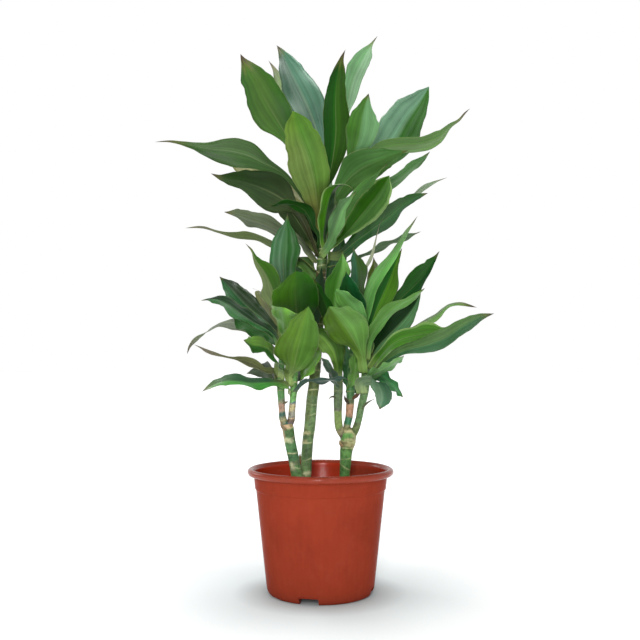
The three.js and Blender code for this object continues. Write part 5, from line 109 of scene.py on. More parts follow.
    {'name': 'right_17', 'slot': 'leaf_green', 'kind': 'dull', 'twist': -0.2287, 'faceAt': 0.55, 'face': [-0.2641, -0.3591, 0.8952], 'up': [[100, 120, 88], [84, 122, 60]], 'un': [[105, 130, 87], [105, 130, 87]], 'dry': 0.1, 'curl': 0.9, 'curlAt': 0.64, 'left': [5.5, 5.5, 5.8, 7.7, 10.4, 12.7, 12.1, 8.9, 5.9, 4.2, 3.4, 2.7, 2.5, 3.7, 1.6, 0.0], 'right': [5.5, 5.5, 5.8, 7.7, 10.4, 13.2, 16.4, 17.7, 18.5, 10.5, 5.5, 3.4, 2.6, 4.6, 2.8, 0.0], 'points': [[65.8, -4.5, 293.6], [79.2, 4.2, 313.5], [107.5, 22.3, 335.2], [129.2, 35.8, 347.1], [150.0, 49.3, 358.5], [163.7, 58.7, 366.6], [173.2, 66.1, 374.6], [182.5, 72.6, 380.2], [196.6, 81.3, 382.8], [210.8, 90.1, 381.6], [225.2, 99.2, 378.4]]},
    {'name': 'right_18', 'slot': 'leaf_green', 'kind': 'satin', 'twist': 0.2232, 'faceAt': 0.55, 'face': [-0.3178, 0.8106, 0.4919], 'up': [[54, 105, 25], [54, 105, 25]], 'un': [[58, 112, 16], [56, 107, 19]], 'dry': 0.04, 'pale': 0.3, 'left': [8.4, 9.4, 10.8, 13.1, 14.8, 14.9, 14.6, 14.0, 13.9, 13.1, 11.8, 10.0, 7.7, 5.0, 1.8, 0.0], 'right': [8.4, 8.4, 8.5, 9.3, 10.5, 11.9, 13.2, 14.1, 14.7, 16.8, 15.9, 13.2, 7.1, 4.5, 1.8, 0.0], 'points': [[65.2, -12.5, 291.0], [74.1, -13.0, 303.7], [88.3, -16.0, 320.7], [106.7, -15.1, 331.8], [131.0, -9.3, 337.2], [158.9, 2.4, 341.4], [184.9, 15.9, 344.5]]},
    {'name': 'right_19', 'slot': 'leaf_green', 'kind': 'gloss', 'twist': -0.5065, 'faceAt': 0.55, 'face': [-0.5313, -0.7858, 0.3165], 'up': [[69, 100, 54], [53, 90, 57]], 'un': [[92, 118, 78], [92, 118, 78]], 'dry': 0.05, 'mid': 0.1, 'left': [5.5, 5.5, 5.6, 6.4, 7.8, 9.5, 11.3, 12.9, 13.6, 13.4, 12.5, 12.7, 10.8, 6.4, 3.5, 0.0], 'right': [5.5, 5.5, 5.6, 6.2, 7.2, 8.3, 9.1, 10.3, 12.6, 13.5, 13.6, 11.8, 9.9, 8.1, 3.5, 0.0], 'points': [[66.3, -6.6, 276.4], [75.3, -14.0, 293.2], [90.5, -21.4, 306.3], [109.2, -30.1, 316.1], [133.7, -41.6, 322.4], [157.6, -54.3, 331.8], [177.3, -66.8, 345.3], [195.3, -78.6, 356.1], [213.1, -89.5, 361.2]]},
    {'name': 'right_21', 'slot': 'leaf_green', 'kind': 'satin', 'twist': -0.0254, 'faceAt': 0.55, 'face': [0.8089, 0.52, 0.2745], 'up': [[57, 110, 58], [57, 110, 58]], 'un': [[62, 117, 70], [62, 117, 70]], 'dry': 0.05, 'mid': 0.3, 'left': [5.5, 6.5, 8.0, 10.1, 10.3, 10.4, 11.0, 11.5, 11.7, 11.8, 11.1, 9.3, 7.5, 6.8, 3.0, 0.0], 'right': [5.5, 5.5, 5.6, 6.2, 7.2, 8.3, 9.4, 10.0, 8.7, 7.3, 7.0, 7.6, 6.4, 5.3, 2.9, 0.0], 'points': [[62.1, -14.5, 280.8], [64.7, -14.9, 281.5], [74.6, -25.1, 284.3], [85.4, -35.8, 278.8], [95.9, -47.6, 268.3], [103.9, -57.7, 256.8]]},
    {'name': 'right_22', 'slot': 'leaf_green', 'kind': 'satin', 'twist': -0.7138, 'faceAt': 0.55, 'face': [0.2868, -0.3412, 0.8952], 'up': [[70, 108, 81], [100, 130, 103]], 'un': [[102, 129, 95], [102, 129, 95]], 'dry': 0.05, 'sheen_streaks': 0.06, 'mid': 0.25, 'left': [7.8, 7.8, 7.9, 8.9, 10.5, 12.5, 13.5, 14.1, 14.1, 13.3, 11.7, 10.4, 9.4, 7.2, 3.0, 0.0], 'right': [8.2, 8.7, 9.3, 9.5, 9.9, 10.7, 12.4, 14.5, 15.5, 11.6, 11.3, 11.0, 10.2, 8.2, 3.0, 0.0], 'points': [[54.4, -13.1, 259.7], [52.9, -16.3, 272.7], [69.8, -38.2, 277.0], [76.0, -61.2, 268.9], [76.5, -88.9, 257.7], [69.9, -123.9, 245.8]]},
    {'name': 'right_24', 'slot': 'leaf_green', 'kind': 'matt', 'twist': -0.4508, 'faceAt': 0.55, 'face': [-0.8597, 0.4885, 0.1494], 'up': [[38, 82, 26], [38, 82, 26]], 'un': [[30, 79, 19], [29, 57, 19]], 'left': [5.5, 5.5, 5.6, 6.3, 7.5, 8.9, 10.4, 11.7, 12.6, 13.0, 12.4, 10.9, 8.6, 5.6, 2.0, 0.0], 'right': [5.5, 5.5, 5.6, 6.3, 7.5, 8.9, 10.4, 11.7, 12.6, 13.0, 12.4, 10.9, 8.6, 5.6, 2.0, 0.0], 'points': [[26.4, -10.3, 305.4], [28.4, -13.2, 318.4], [15.4, -36.3, 342.4], [9.5, -53.9, 364.8], [3.1, -65.9, 380.5], [-3.2, -75.5, 393.7], [-9.9, -84.9, 406.6]]},
    {'name': 'right_25', 'slot': 'leaf_dark', 'kind': 'satin', 'twist': 0.3804, 'faceAt': 0.55, 'face': [0.6059, -0.5608, 0.5642], 'up': [[25, 90, 5], [25, 90, 5]], 'un': [[83, 116, 67], [83, 116, 67]], 'left': [5.5, 5.5, 5.7, 6.6, 8.1, 10.0, 11.8, 13.2, 13.9, 13.8, 13.9, 13.5, 11.5, 6.8, 2.2, 0.0], 'right': [5.5, 5.5, 5.7, 6.6, 8.1, 10.0, 11.8, 13.2, 13.9, 13.7, 12.6, 10.8, 8.4, 5.4, 2.0, 0.0], 'points': [[16.2, -2.0, 310.3], [13.0, -0.6, 323.3], [11.5, 17.7, 350.6], [-0.7, 37.4, 385.5], [-10.3, 47.3, 405.5], [-22.9, 55.8, 424.3], [-38.5, 62.7, 437.6], [-58.5, 70.3, 448.2]]},
    {'name': 'head_26', 'slot': 'leaf_dark', 'kind': 'matt', 'twist': 0.131, 'faceAt': 0.55, 'face': [0.0835, -0.8413, 0.5341], 'up': [[33, 49, 20], [33, 49, 20]], 'un': [[85, 103, 69], [85, 103, 69]], 'left': [7.3, 7.8, 8.3, 9.5, 12.1, 15.3, 18.6, 20.0, 18.1, 15.3, 12.6, 10.9, 8.6, 5.6, 2.0, 0.0], 'right': [6.5, 6.5, 6.9, 7.7, 8.7, 9.9, 11.0, 12.0, 12.7, 13.0, 12.4, 10.9, 8.6, 5.6, 2.0, 0.0], 'points': [[-2.1, 7.2, 447.5], [-14.1, 11.3, 463.4], [-26.5, 22.8, 485.3], [-41.9, 36.0, 509.3], [-56.2, 47.7, 529.3], [-70.6, 57.6, 543.7], [-88.3, 69.3, 560.1]]},
]
SMALL_LEAVES = [
    {'name': 'head_08', 'slot': 'leaf_dark', 'kind': 'satin', 'twist': -0.4569, 'faceAt': 0.55, 'face': [0.0992, -0.7537, 0.6497], 'up': [[35, 70, 20], [35, 70, 20]], 'un': [[85, 109, 69], [85, 109, 69]], 'left': [5.5, 5.5, 5.6, 6.0, 6.7, 7.7, 8.8, 10.0, 11.1, 12.0, 12.7, 13.0, 12.6, 9.5, 3.4, 0.0], 'right': [5.5, 5.5, 5.6, 6.0, 6.7, 7.7, 8.8, 10.0, 11.1, 12.0, 12.7, 13.0, 12.0, 8.5, 2.9, 0.0], 'points': [[3.7, 0.0, 498.3], [8.6, 9.4, 511.3], [30.3, 62.9, 544.7], [57.9, 114.5, 595.6], [77.4, 146.0, 632.7], [87.6, 162.9, 655.2], [97.6, 174.7, 669.8]], 'on': 'cane_middle'},
    {'name': 'head_20', 'slot': 'leaf_green', 'kind': 'dull', 'twist': 0.1589, 'faceAt': 0.55, 'face': [-0.0446, -0.6452, 0.7627], 'up': [[104, 106, 58], [104, 106, 58]], 'un': [[111, 123, 79], [111, 123, 79]], 'basec': (92, 86, 52, 0.2, 0.5), 'left': [5.5, 5.5, 5.6, 6.3, 7.5, 8.9, 10.4, 11.7, 12.9, 15.1, 17.1, 17.1, 11.9, 6.5, 2.0, 0.0], 'right': [5.5, 5.5, 5.6, 6.6, 8.3, 10.5, 12.4, 14.0, 15.0, 14.5, 13.0, 10.9, 8.6, 5.6, 2.0, 0.0], 'points': [[3.5, 0.0, 487.7], [2.9, 10.9, 500.7], [-17.1, 33.5, 513.0], [-45.7, 66.0, 542.5], [-75.5, 92.8, 564.8], [-103.2, 114.8, 580.9], [-131.8, 137.2, 600.5], [-161.3, 159.2, 620.6]], 'on': 'cane_middle'},
    {'name': 'left_05', 'slot': 'leaf_pale', 'kind': 'dull', 'twist': -0.2259, 'faceAt': 0.55, 'face': [0.6621, -0.4833, 0.5728], 'up': [[130, 135, 90], [130, 135, 90]], 'un': [[125, 137, 94], [125, 137, 94]], 'dry': 0.08, 'left': [5.5, 5.5, 5.6, 5.9, 6.6, 7.4, 8.5, 9.6, 11.1, 13.0, 15.4, 21.0, 21.0, 1.5, 0.3, 0.0], 'right': [5.5, 5.5, 5.6, 5.9, 6.6, 7.4, 8.5, 9.5, 10.6, 11.5, 12.3, 12.8, 12.6, 1.1, 0.3, 0.0], 'points': [[-50.1, -12.7, 313.9], [-58.0, 5.7, 334.2], [-65.7, 24.4, 357.6], [-73.5, 41.1, 380.2], [-81.2, 52.7, 396.2], [-95.8, 63.2, 403.9]], 'on': 'cane_left'},
    {'name': 'left_12', 'slot': 'leaf_dark', 'kind': 'matt', 'twist': -0.95, 'faceAt': 0.55, 'face': [0.7907, 0.558, 0.252], 'up': [[38, 73, 24], [38, 73, 24]], 'un': [[26, 47, 14], [31, 51, 14]], 'left': [6.2, 7.1, 8.2, 9.9, 12.4, 15.2, 13.8, 9.6, 6.5, 6.2, 5.9, 5.2, 4.1, 2.8, 1.3, 0.0], 'right': [5.5, 5.5, 5.6, 6.4, 7.8, 10.3, 13.7, 17.1, 16.8, 15.3, 13.1, 9.9, 6.1, 2.9, 1.3, 0.0], 'points': [[-51.9, -14.9, 266.2], [-59.9, -8.6, 279.2], [-62.8, 11.1, 288.8], [-75.3, 28.4, 292.6], [-88.9, 49.1, 288.8], [-104.8, 74.9, 283.5]], 'on': 'cane_left'},
    {'name': 'left_17', 'slot': 'leaf_green', 'kind': 'dull', 'twist': -0.0596, 'faceAt': 0.55, 'face': [0.0977, 0.2823, 0.9543], 'up': [[56, 90, 62], [56, 90, 62]], 'un': [[60, 85, 75], [60, 85, 75]], 'left': [3.7, 2.6, 2.5, 3.2, 6.6, 11.5, 16.7, 18.4, 18.2, 16.8, 14.7, 12.3, 9.4, 6.0, 2.8, 0.0], 'right': [5.5, 5.0, 4.4, 4.0, 3.6, 4.8, 11.0, 10.4, 7.7, 5.0, 4.5, 5.5, 5.7, 4.6, 2.5, 0.0], 'points': [[-35.7, -12.0, 257.0], [-22.7, -26.7, 274.7], [-7.1, -35.8, 277.5], [12.1, -46.3, 279.1], [24.6, -53.1, 281.8], [38.3, -60.7, 277.6]], 'on': 'cane_left'},
    {'name': 'right_08', 'slot': 'leaf_dark', 'kind': 'satin', 'twist': 0.4849, 'faceAt': 0.55, 'face': [-0.7035, -0.4005, 0.5872], 'up': [[70, 85, 25], [70, 85, 25]], 'un': [[95, 114, 69], [95, 114, 69]], 'left': [5.5, 5.5, 5.6, 6.3, 7.5, 8.9, 10.4, 11.7, 12.6, 13.0, 12.7, 11.4, 9.5, 7.3, 3.2, 0.0], 'right': [5.5, 5.5, 5.6, 6.3, 7.5, 8.9, 10.4, 11.7, 12.6, 13.0, 12.6, 12.8, 12.2, 9.3, 3.3, 0.0], 'points': [[45.6, 10.7, 339.6], [50.0, 19.0, 352.6], [55.6, 39.6, 365.0], [64.5, 64.2, 392.8], [71.8, 81.4, 413.8], [77.1, 97.5, 435.3], [77.1, 109.5, 452.5]], 'on': 'cane_right'},
    {'name': 'right_09', 'slot': 'leaf_pale', 'kind': 'dull', 'twist': 0.7415, 'faceAt': 0.55, 'face': [0.887, -0.3187, -0.3342], 'up': [[150, 160, 130], [150, 160, 130]], 'un': [[137, 151, 117], [137, 151, 117]], 'dry': 0.2, 'left': [5.5, 5.5, 5.8, 7.4, 9.6, 11.1, 12.7, 13.9, 13.7, 10.3, 5.2, 2.3, 1.5, 1.0, 0.5, 0.0], 'right': [5.5, 5.5, 5.8, 7.4, 9.6, 10.8, 9.7, 7.5, 6.0, 7.6, 4.9, 2.9, 2.4, 1.4, 0.6, 0.0], 'points': [[46.1, 10.9, 344.7], [37.1, 8.9, 357.7], [48.9, 10.9, 370.5], [54.3, 10.1, 404.0], [61.0, 8.8, 429.4], [70.3, 7.3, 450.8], [75.6, 5.6, 470.7], [79.6, 4.2, 485.3], [87.6, 2.5, 501.2]], 'on': 'cane_right'},
    {'name': 'right_20', 'slot': 'leaf_pale', 'kind': 'dull', 'twist': -0.6671, 'faceAt': 0.55, 'face': [0.0085, 0.2345, 0.9721], 'up': [[86, 134, 72], [86, 134, 72]], 'un': [[95, 143, 84], [110, 160, 91]], 'dry': 0.05, 'left': [5.5, 5.5, 5.6, 6.6, 8.3, 10.0, 8.4, 9.5, 9.8, 9.5, 8.2, 6.6, 5.7, 4.6, 2.3, 0.0], 'right': [5.5, 5.6, 6.2, 7.5, 9.2, 9.4, 9.3, 9.3, 9.8, 10.0, 9.5, 8.4, 6.6, 4.3, 1.5, 0.0], 'points': [[58.8, -7.3, 272.8], [67.9, -27.3, 284.4], [79.0, -54.8, 291.9], [90.0, -90.1, 300.5], [98.8, -128.0, 309.7]], 'on': 'cane_right'},
    {'name': 'right_23', 'slot': 'leaf_green', 'kind': 'dull', 'twist': -0.2987, 'faceAt': 0.55, 'face': [0.5754, 0.5062, 0.6424], 'up': [[66, 99, 66], [66, 99, 66]], 'un': [[75, 100, 80], [75, 100, 80]], 'left': [5.5, 5.5, 5.6, 5.9, 6.4, 7.1, 7.8, 8.4, 8.8, 8.9, 7.6, 5.6, 3.9, 4.1, 2.2, 0.0], 'right': [3.7, 3.0, 5.2, 7.0, 9.0, 11.1, 10.8, 9.1, 7.2, 8.2, 12.6, 12.5, 9.8, 5.5, 1.6, 0.0], 'points': [[23.3, -5.0, 262.9], [17.6, -18.3, 277.7], [13.6, -28.9, 289.6], [8.3, -37.0, 300.6], [-0.7, -43.5, 307.7]], 'on': 'cane_right'},
    {'name': 'head_28', 'slot': 'leaf_green', 'kind': 'satin', 'twist': -0.4582, 'faceAt': 0.55, 'face': [0.3275, -0.6514, 0.6844], 'up': [[60, 105, 40], [60, 105, 40]], 'un': [[92, 122, 73], [92, 122, 73]], 'left': [5.5, 5.5, 5.7, 6.6, 8.2, 10.2, 12.3, 14.1, 15.5, 16.0, 15.2, 13.4, 10.6, 6.9, 2.4, 0.0], 'right': [5.5, 5.5, 5.7, 6.6, 8.2, 10.2, 12.3, 14.1, 15.5, 16.0, 15.2, 13.4, 10.6, 6.9, 2.4, 0.0], 'points': [[2.8, 0.0, 454.0], [5.1, 11.6, 467.0], [-7.6, 52.6, 519.0], [-13.7, 97.8, 565.7], [-20.1, 140.1, 608.7], [-25.2, 177.2, 646.4]], 'on': 'cane_middle'},
    {'name': 'head_29', 'slot': 'leaf_green', 'kind': 'satin', 'twist': -0.1059, 'faceAt': 0.55, 'face': [-0.0684, -0.4855, 0.8716], 'up': [[60, 105, 40], [60, 105, 40]], 'un': [[92, 122, 73], [92, 122, 73]], 'left': [5.5, 5.5, 5.6, 6.4, 7.7, 9.3, 11.0, 12.5, 13.6, 14.0, 13.3, 11.7, 9.2, 6.0, 2.1, 0.0], 'right': [5.5, 5.5, 5.6, 6.4, 7.7, 9.3, 11.0, 12.5, 13.6, 14.0, 13.3, 11.7, 9.2, 6.0, 2.1, 0.0], 'points': [[2.4, 0.4, 444.5], [6.2, 11.7, 457.5], [24.4, 53.0, 470.1], [45.5, 98.9, 496.2], [67.7, 136.6, 515.1], [84.1, 161.7, 526.5]], 'on': 'cane_middle'},
    {'name': 'left_18', 'slot': 'leaf_green', 'kind': 'satin', 'twist': -0.1381, 'faceAt': 0.55, 'face': [0.4535, -0.4323, 0.7794], 'up': [[60, 110, 45], [60, 110, 45]], 'un': [[92, 125, 74], [92, 125, 74]], 'left': [5.5, 5.5, 5.6, 6.5, 8.0, 9.8, 11.7, 13.3, 14.5, 15.0, 14.3, 12.5, 9.9, 6.5, 2.3, 0.0], 'right': [5.5, 5.5, 5.6, 6.5, 8.0, 9.8, 11.7, 13.3, 14.5, 15.0, 14.3, 12.5, 9.9, 6.5, 2.3, 0.0], 'points': [[-32.9, -9.5, 317.0], [-38.0, -1.8, 330.0], [-39.8, 61.9, 361.8], [-44.3, 111.6, 392.9], [-44.0, 147.2, 416.1]], 'on': 'cane_left'},
    {'name': 'right_26', 'slot': 'leaf_green', 'kind': 'satin', 'twist': 0.3083, 'faceAt': 0.55, 'face': [-0.6364, -0.3937, 0.6634], 'up': [[50, 95, 40], [50, 95, 40]], 'un': [[89, 118, 73], [89, 118, 73]], 'left': [5.5, 5.5, 5.6, 6.5, 8.0, 9.8, 11.7, 13.3, 14.5, 15.0, 14.3, 12.5, 9.9, 6.5, 2.3, 0.0], 'right': [5.5, 5.5, 5.6, 6.5, 8.0, 9.8, 11.7, 13.3, 14.5, 15.0, 14.3, 12.5, 9.9, 6.5, 2.3, 0.0], 'points': [[44.3, 10.1, 325.2], [49.6, 18.4, 338.2], [41.1, 58.3, 358.9], [37.2, 116.1, 390.3], [34.2, 167.9, 417.7]], 'on': 'cane_right'},
    {'name': 'right_27', 'slot': 'leaf_green', 'kind': 'satin', 'twist': 0.253, 'faceAt': 0.55, 'face': [0.0555, -0.2747, 0.9599], 'up': [[60, 105, 45], [60, 105, 45]], 'un': [[92, 122, 74], [92, 122, 74]], 'left': [5.5, 5.5, 5.6, 6.4, 7.7, 9.3, 11.0, 12.5, 13.6, 14.0, 13.3, 11.7, 9.2, 6.0, 2.1, 0.0], 'right': [5.5, 5.5, 5.6, 6.4, 7.7, 9.3, 11.0, 12.5, 13.6, 14.0, 13.3, 11.7, 9.2, 6.0, 2.1, 0.0], 'points': [[59.5, -8.0, 290.4], [55.2, 1.8, 303.4], [78.8, 40.5, 314.3], [101.0, 77.7, 327.1], [130.6, 118.7, 333.5], [154.7, 150.2, 337.0]], 'on': 'cane_right'},
    # from here on each base colour darkens the blade towards its cane, painted shade deep in the crown; head_31 and
    # right_28 are near-black all over, painted shade filling the dark hollows of the crown
    {'name': 'head_30', 'slot': 'leaf_green', 'kind': 'dull', 'twist': -0.2004, 'faceAt': 0.55, 'face': [0.4363, -0.5935, 0.6763], 'up': [[81, 119, 54], [89, 121, 68]], 'un': [[102, 130, 80], [102, 130, 80]], 'dry': 0, 'basec': (57, 78, 33, 0.3, 0.5), 'left': [6.5, 6.5, 6.7, 7.5, 8.9, 10.6, 12.0, 12.8, 12.9, 12.2, 11.0, 9.3, 7.2, 4.6, 1.7, 0.0], 'right': [6.5, 7.6, 9.3, 12.0, 13.3, 14.1, 15.1, 18.0, 20.7, 20.3, 18.4, 14.1, 9.4, 5.2, 1.7, 0.0], 'points': [[0.7, 2.3, 411.3], [-10.0, 3.7, 412.9], [-18.1, 6.9, 425.2], [-27.5, 10.7, 435.0], [-37.0, 14.3, 441.5], [-46.6, 17.9, 445.2]], 'on': 'cane_middle'},
    {'name': 'head_31', 'slot': 'leaf_dark', 'kind': 'dull', 'twist': 0.1823, 'faceAt': 0.55, 'face': [0.3038, -0.7358, 0.6052], 'up': [[14, 38, 14], [14, 38, 14]], 'un': [[82, 100, 68], [82, 100, 68]], 'dry': 0, 'basec': (11, 30, 11, 0.3, 0.5), 'left': [7.5, 7.5, 7.7, 8.7, 10.3, 12.2, 13.8, 14.8, 14.9, 14.1, 12.6, 10.7, 8.3, 5.3, 2.0, 0.0], 'right': [7.5, 7.5, 7.7, 8.7, 10.3, 12.2, 13.8, 14.8, 14.9, 14.1, 12.6, 10.7, 8.3, 5.3, 2.0, 0.0], 'points': [[2.0, 1.0, 436.8], [-6.0, 14.1, 451.6], [-11.6, 27.8, 469.6], [-18.6, 40.1, 487.8], [-27.1, 50.1, 504.6], [-37.0, 56.9, 515.5], [-48.4, 62.5, 520.6]], 'on': 'cane_middle'},
    {'name': 'right_28', 'slot': 'leaf_dark', 'kind': 'dull', 'twist': -1.0093, 'faceAt': 0.55, 'face': [-0.4759, -0.8653, 0.1574], 'up': [[12, 50, 6], [8, 42, 5]], 'un': [[81, 102, 67], [81, 102, 67]], 'dry': 0, 'basec': (8, 30, 11, 0.3, 0.5), 'left': [7.6, 7.7, 7.9, 9.1, 11.2, 13.5, 15.5, 16.8, 16.8, 15.9, 14.3, 12.1, 9.4, 6.0, 2.2, 0.0], 'right': [7.6, 7.7, 7.9, 9.1, 11.2, 13.5, 15.5, 16.8, 16.8, 16.0, 15.1, 13.6, 11.0, 6.8, 2.3, 0.0], 'points': [[-33.6, -10.1, 303.6], [-24.0, -9.0, 316.6], [-27.0, -8.7, 330.0], [-16.5, -8.0, 351.1], [-8.6, -7.9, 370.9], [-4.0, -8.3, 389.4], [-0.7, -9.1, 409.1], [2.0, -10.1, 427.6]], 'on': 'cane_left'},
    {'name': 'left_19', 'slot': 'leaf_dark', 'kind': 'dull', 'twist': -0.514, 'faceAt': 0.55, 'face': [-0.3127, 0.6529, -0.6899], 'up': [[42, 87, 33], [42, 87, 33]], 'un': [[38, 78, 32], [38, 78, 32]], 'dry': 0, 'basec': (16, 36, 12, 0.3, 0.5), 'left': [6.0, 6.0, 6.1, 7.0, 8.3, 10.1, 11.8, 13.4, 14.5, 15.0, 14.3, 12.5, 9.9, 6.5, 2.3, 0.0], 'right': [6.0, 6.0, 6.1, 7.0, 8.3, 10.1, 12.5, 15.3, 17.2, 14.7, 13.1, 15.4, 10.6, 5.4, 1.5, 0.0], 'points': [[-49.3, -12.0, 329.1], [-58.5, -10.9, 328.6], [-71.8, -9.2, 339.2], [-89.0, -7.9, 346.5], [-106.2, -7.0, 356.4], [-122.2, -6.6, 368.3]], 'on': 'cane_left'},
    {'name': 'left_20', 'slot': 'leaf_dark', 'kind': 'dull', 'twist': 0.5454, 'faceAt': 0.55, 'face': [-0.8021, 0.5886, 0.1009], 'up': [[33, 73, 25], [33, 73, 25]], 'un': [[16, 48, 16], [16, 48, 16]], 'dry': 0, 'basec': (12, 38, 12, 0.3, 0.5), 'left': [7.0, 7.0, 7.2, 8.2, 10.6, 14.0, 17.4, 17.1, 15.3, 13.3, 11.8, 10.0, 7.7, 5.0, 1.8, 0.0], 'right': [4.7, 3.5, 4.8, 6.9, 9.5, 11.4, 12.9, 13.8, 13.9, 13.1, 11.8, 10.0, 7.7, 5.0, 1.8, 0.0], 'points': [[-35.1, -11.8, 269.1], [-31.4, 10.0, 284.9], [-22.3, 23.1, 298.1], [-12.9, 29.9, 310.2], [-6.1, 33.0, 322.5]], 'on': 'cane_left'},
    {'name': 'right_29', 'slot': 'leaf_dark', 'kind': 'dull', 'twist': -0.5385, 'faceAt': 0.55, 'face': [0.7106, -0.6954, 0.1071], 'up': [[63, 112, 65], [63, 112, 66]], 'un': [[93, 126, 82], [93, 126, 82]], 'dry': 0, 'basec': (28, 54, 30, 0.3, 0.5), 'left': [7.2, 6.1, 6.9, 10.6, 11.5, 12.0, 12.4, 12.9, 12.9, 12.2, 11.0, 9.3, 7.2, 4.6, 1.7, 0.0], 'right': [9.1, 9.1, 9.2, 9.7, 10.6, 11.5, 12.4, 12.9, 12.9, 12.2, 11.0, 9.3, 7.2, 4.6, 1.7, 0.0], 'points': [[39.9, 7.7, 259.4], [39.6, 16.3, 276.7], [37.1, 21.0, 298.1], [33.7, 18.2, 316.9], [30.2, 12.4, 333.0]], 'on': 'cane_right'},
    {'name': 'right_30', 'slot': 'leaf_green', 'kind': 'dull', 'twist': -0.4805, 'faceAt': 0.55, 'face': [-0.8044, 0.5293, 0.2697], 'up': [[87, 136, 55], [87, 136, 55]], 'un': [[118, 176, 71], [87, 130, 59]], 'dry': 0, 'basec': (57, 104, 49, 0.3, 0.5), 'left': [6.6, 6.7, 7.9, 10.1, 12.9, 14.3, 13.5, 12.7, 12.8, 12.3, 11.0, 9.2, 7.3, 4.7, 1.7, 0.0], 'right': [6.6, 6.6, 6.7, 7.1, 7.7, 8.6, 9.4, 10.2, 10.8, 11.0, 10.5, 9.2, 7.3, 4.7, 1.7, 0.0], 'points': [[40.0, 7.8, 262.1], [42.9, -3.9, 278.6], [44.6, -12.6, 295.8], [45.1, -17.3, 311.5], [44.3, -19.8, 325.9]], 'on': 'cane_right'},
    {'name': 'right_31', 'slot': 'leaf_dark', 'kind': 'dull', 'twist': 0.704, 'faceAt': 0.55, 'face': [0.5316, -0.5338, 0.6576], 'up': [[30, 66, 24], [30, 66, 24]], 'un': [[84, 107, 69], [84, 107, 69]], 'dry': 0, 'basec': (24, 52, 19, 0.3, 0.5), 'left': [8.4, 8.4, 8.5, 9.0, 9.8, 10.6, 11.4, 11.9, 11.9, 11.2, 10.1, 8.6, 6.6, 4.3, 1.6, 0.0], 'right': [8.4, 8.4, 8.5, 9.0, 9.8, 10.6, 11.4, 11.9, 11.9, 11.2, 10.1, 8.6, 6.6, 4.3, 1.6, 0.0], 'points': [[59.0, -7.6, 278.2], [57.6, 12.7, 288.8], [54.3, 29.5, 302.1], [49.3, 39.7, 317.0], [43.3, 43.0, 333.5]], 'on': 'cane_right'},
]
# cane axes [x, y, z, radius], upwards
CANES = {
    'middle': [[-19.8, 4, 151.5, 7.3], [-18.5, 4, 171.3, 7.3], [-16.6, 4, 197.7, 7.3], [-13.5, 4, 224.1, 7.5], [-11.3, 4, 250.5, 7.4], [-8.2, 4, 277, 7.2], [-6.9, 4, 290.3, 7.1], [-4, 4, 330.2, 6.9], [-0.9, 3, 383.4, 6.8], [1.3, 2, 423.4, 6.8], [2.7, 0, 449.9, 6.6], [3.3, 0, 476.7, 6], [3.7, 0, 500.8, 5.2], [3.9, 0, 516.9, 4.4]],
    'leftTrunk': [[-30.9, -14, 153.9, 7.3], [-34.6, -14, 173.4, 7.1], [-37.7, -14, 186.4, 7.2], [-40.1, -14, 199.4, 7.3], [-42.1, -14, 212.4, 7.6], [-43.4, -14, 220.2, 7.4]],
    'leftShootA': [[-43.8, -14, 216.3, 5.2], [-49.2, -15, 226.8, 4.8], [-50.3, -15, 238.5, 4.2], [-51, -15, 251.5, 4.6], [-51.9, -15, 264.5, 4.9], [-51.7, -14, 284.1, 4.6], [-50.5, -13, 306.3, 4.1], [-49.2, -12, 329.9, 3.4]],
    'leftShootB': [[-42.5, -14, 216.3, 5.2], [-38.1, -13, 226.6, 4.8], [-37.3, -12, 238.3, 4.4], [-36, -12, 251.3, 4.2], [-35.3, -12, 264.4, 4.8], [-34.5, -11, 284, 4.8], [-33.5, -10, 306.3, 4.3], [-32.3, -9, 328.7, 3.5]],
    'rightTrunk': [[32.1, 2, 151.8, 6.8], [33.1, 2, 171.5, 7.6], [34.1, 2, 184.7, 8.3], [36.4, 2, 196.5, 10.2], [36.8, 2, 205.8, 11.4], [37.1, 2, 211, 9], [37.1, 2, 213.9, 5]],
    'rightShootA': [[34.4, 1, 199.3, 5.6], [25.1, -2, 212.7, 5.3], [23.1, -4, 231.2, 5.1], [23.2, -5, 251, 5.8], [23.3, -5, 270.7, 6.1], [23.1, -5, 297, 5.4], [21.2, -4, 327.4, 3.9]],
    'rightShootB': [[36.2, 3, 201.7, 5.4], [35.2, 5, 216.1, 4.9], [38, 6, 227.9, 4.9], [39.5, 7, 246.4, 5.4], [40.1, 8, 266.3, 5.7], [41.4, 9, 290.2, 5.4], [44.1, 10, 323.6, 4.6], [46.2, 11, 346.4, 3.8]],
    'rightShootC': [[39, 1, 200.6, 5.6], [45.9, -2, 211.4, 4.9], [50.5, -4, 226, 4.4], [52.9, -5, 239.2, 4.7], [55.7, -6, 251, 5.1], [58.6, -7, 266.8, 5.6], [59.3, -8, 285.3, 5.6], [60.2, -8, 306.3, 4.8], [60.7, -8, 327.3, 3.8]],
}
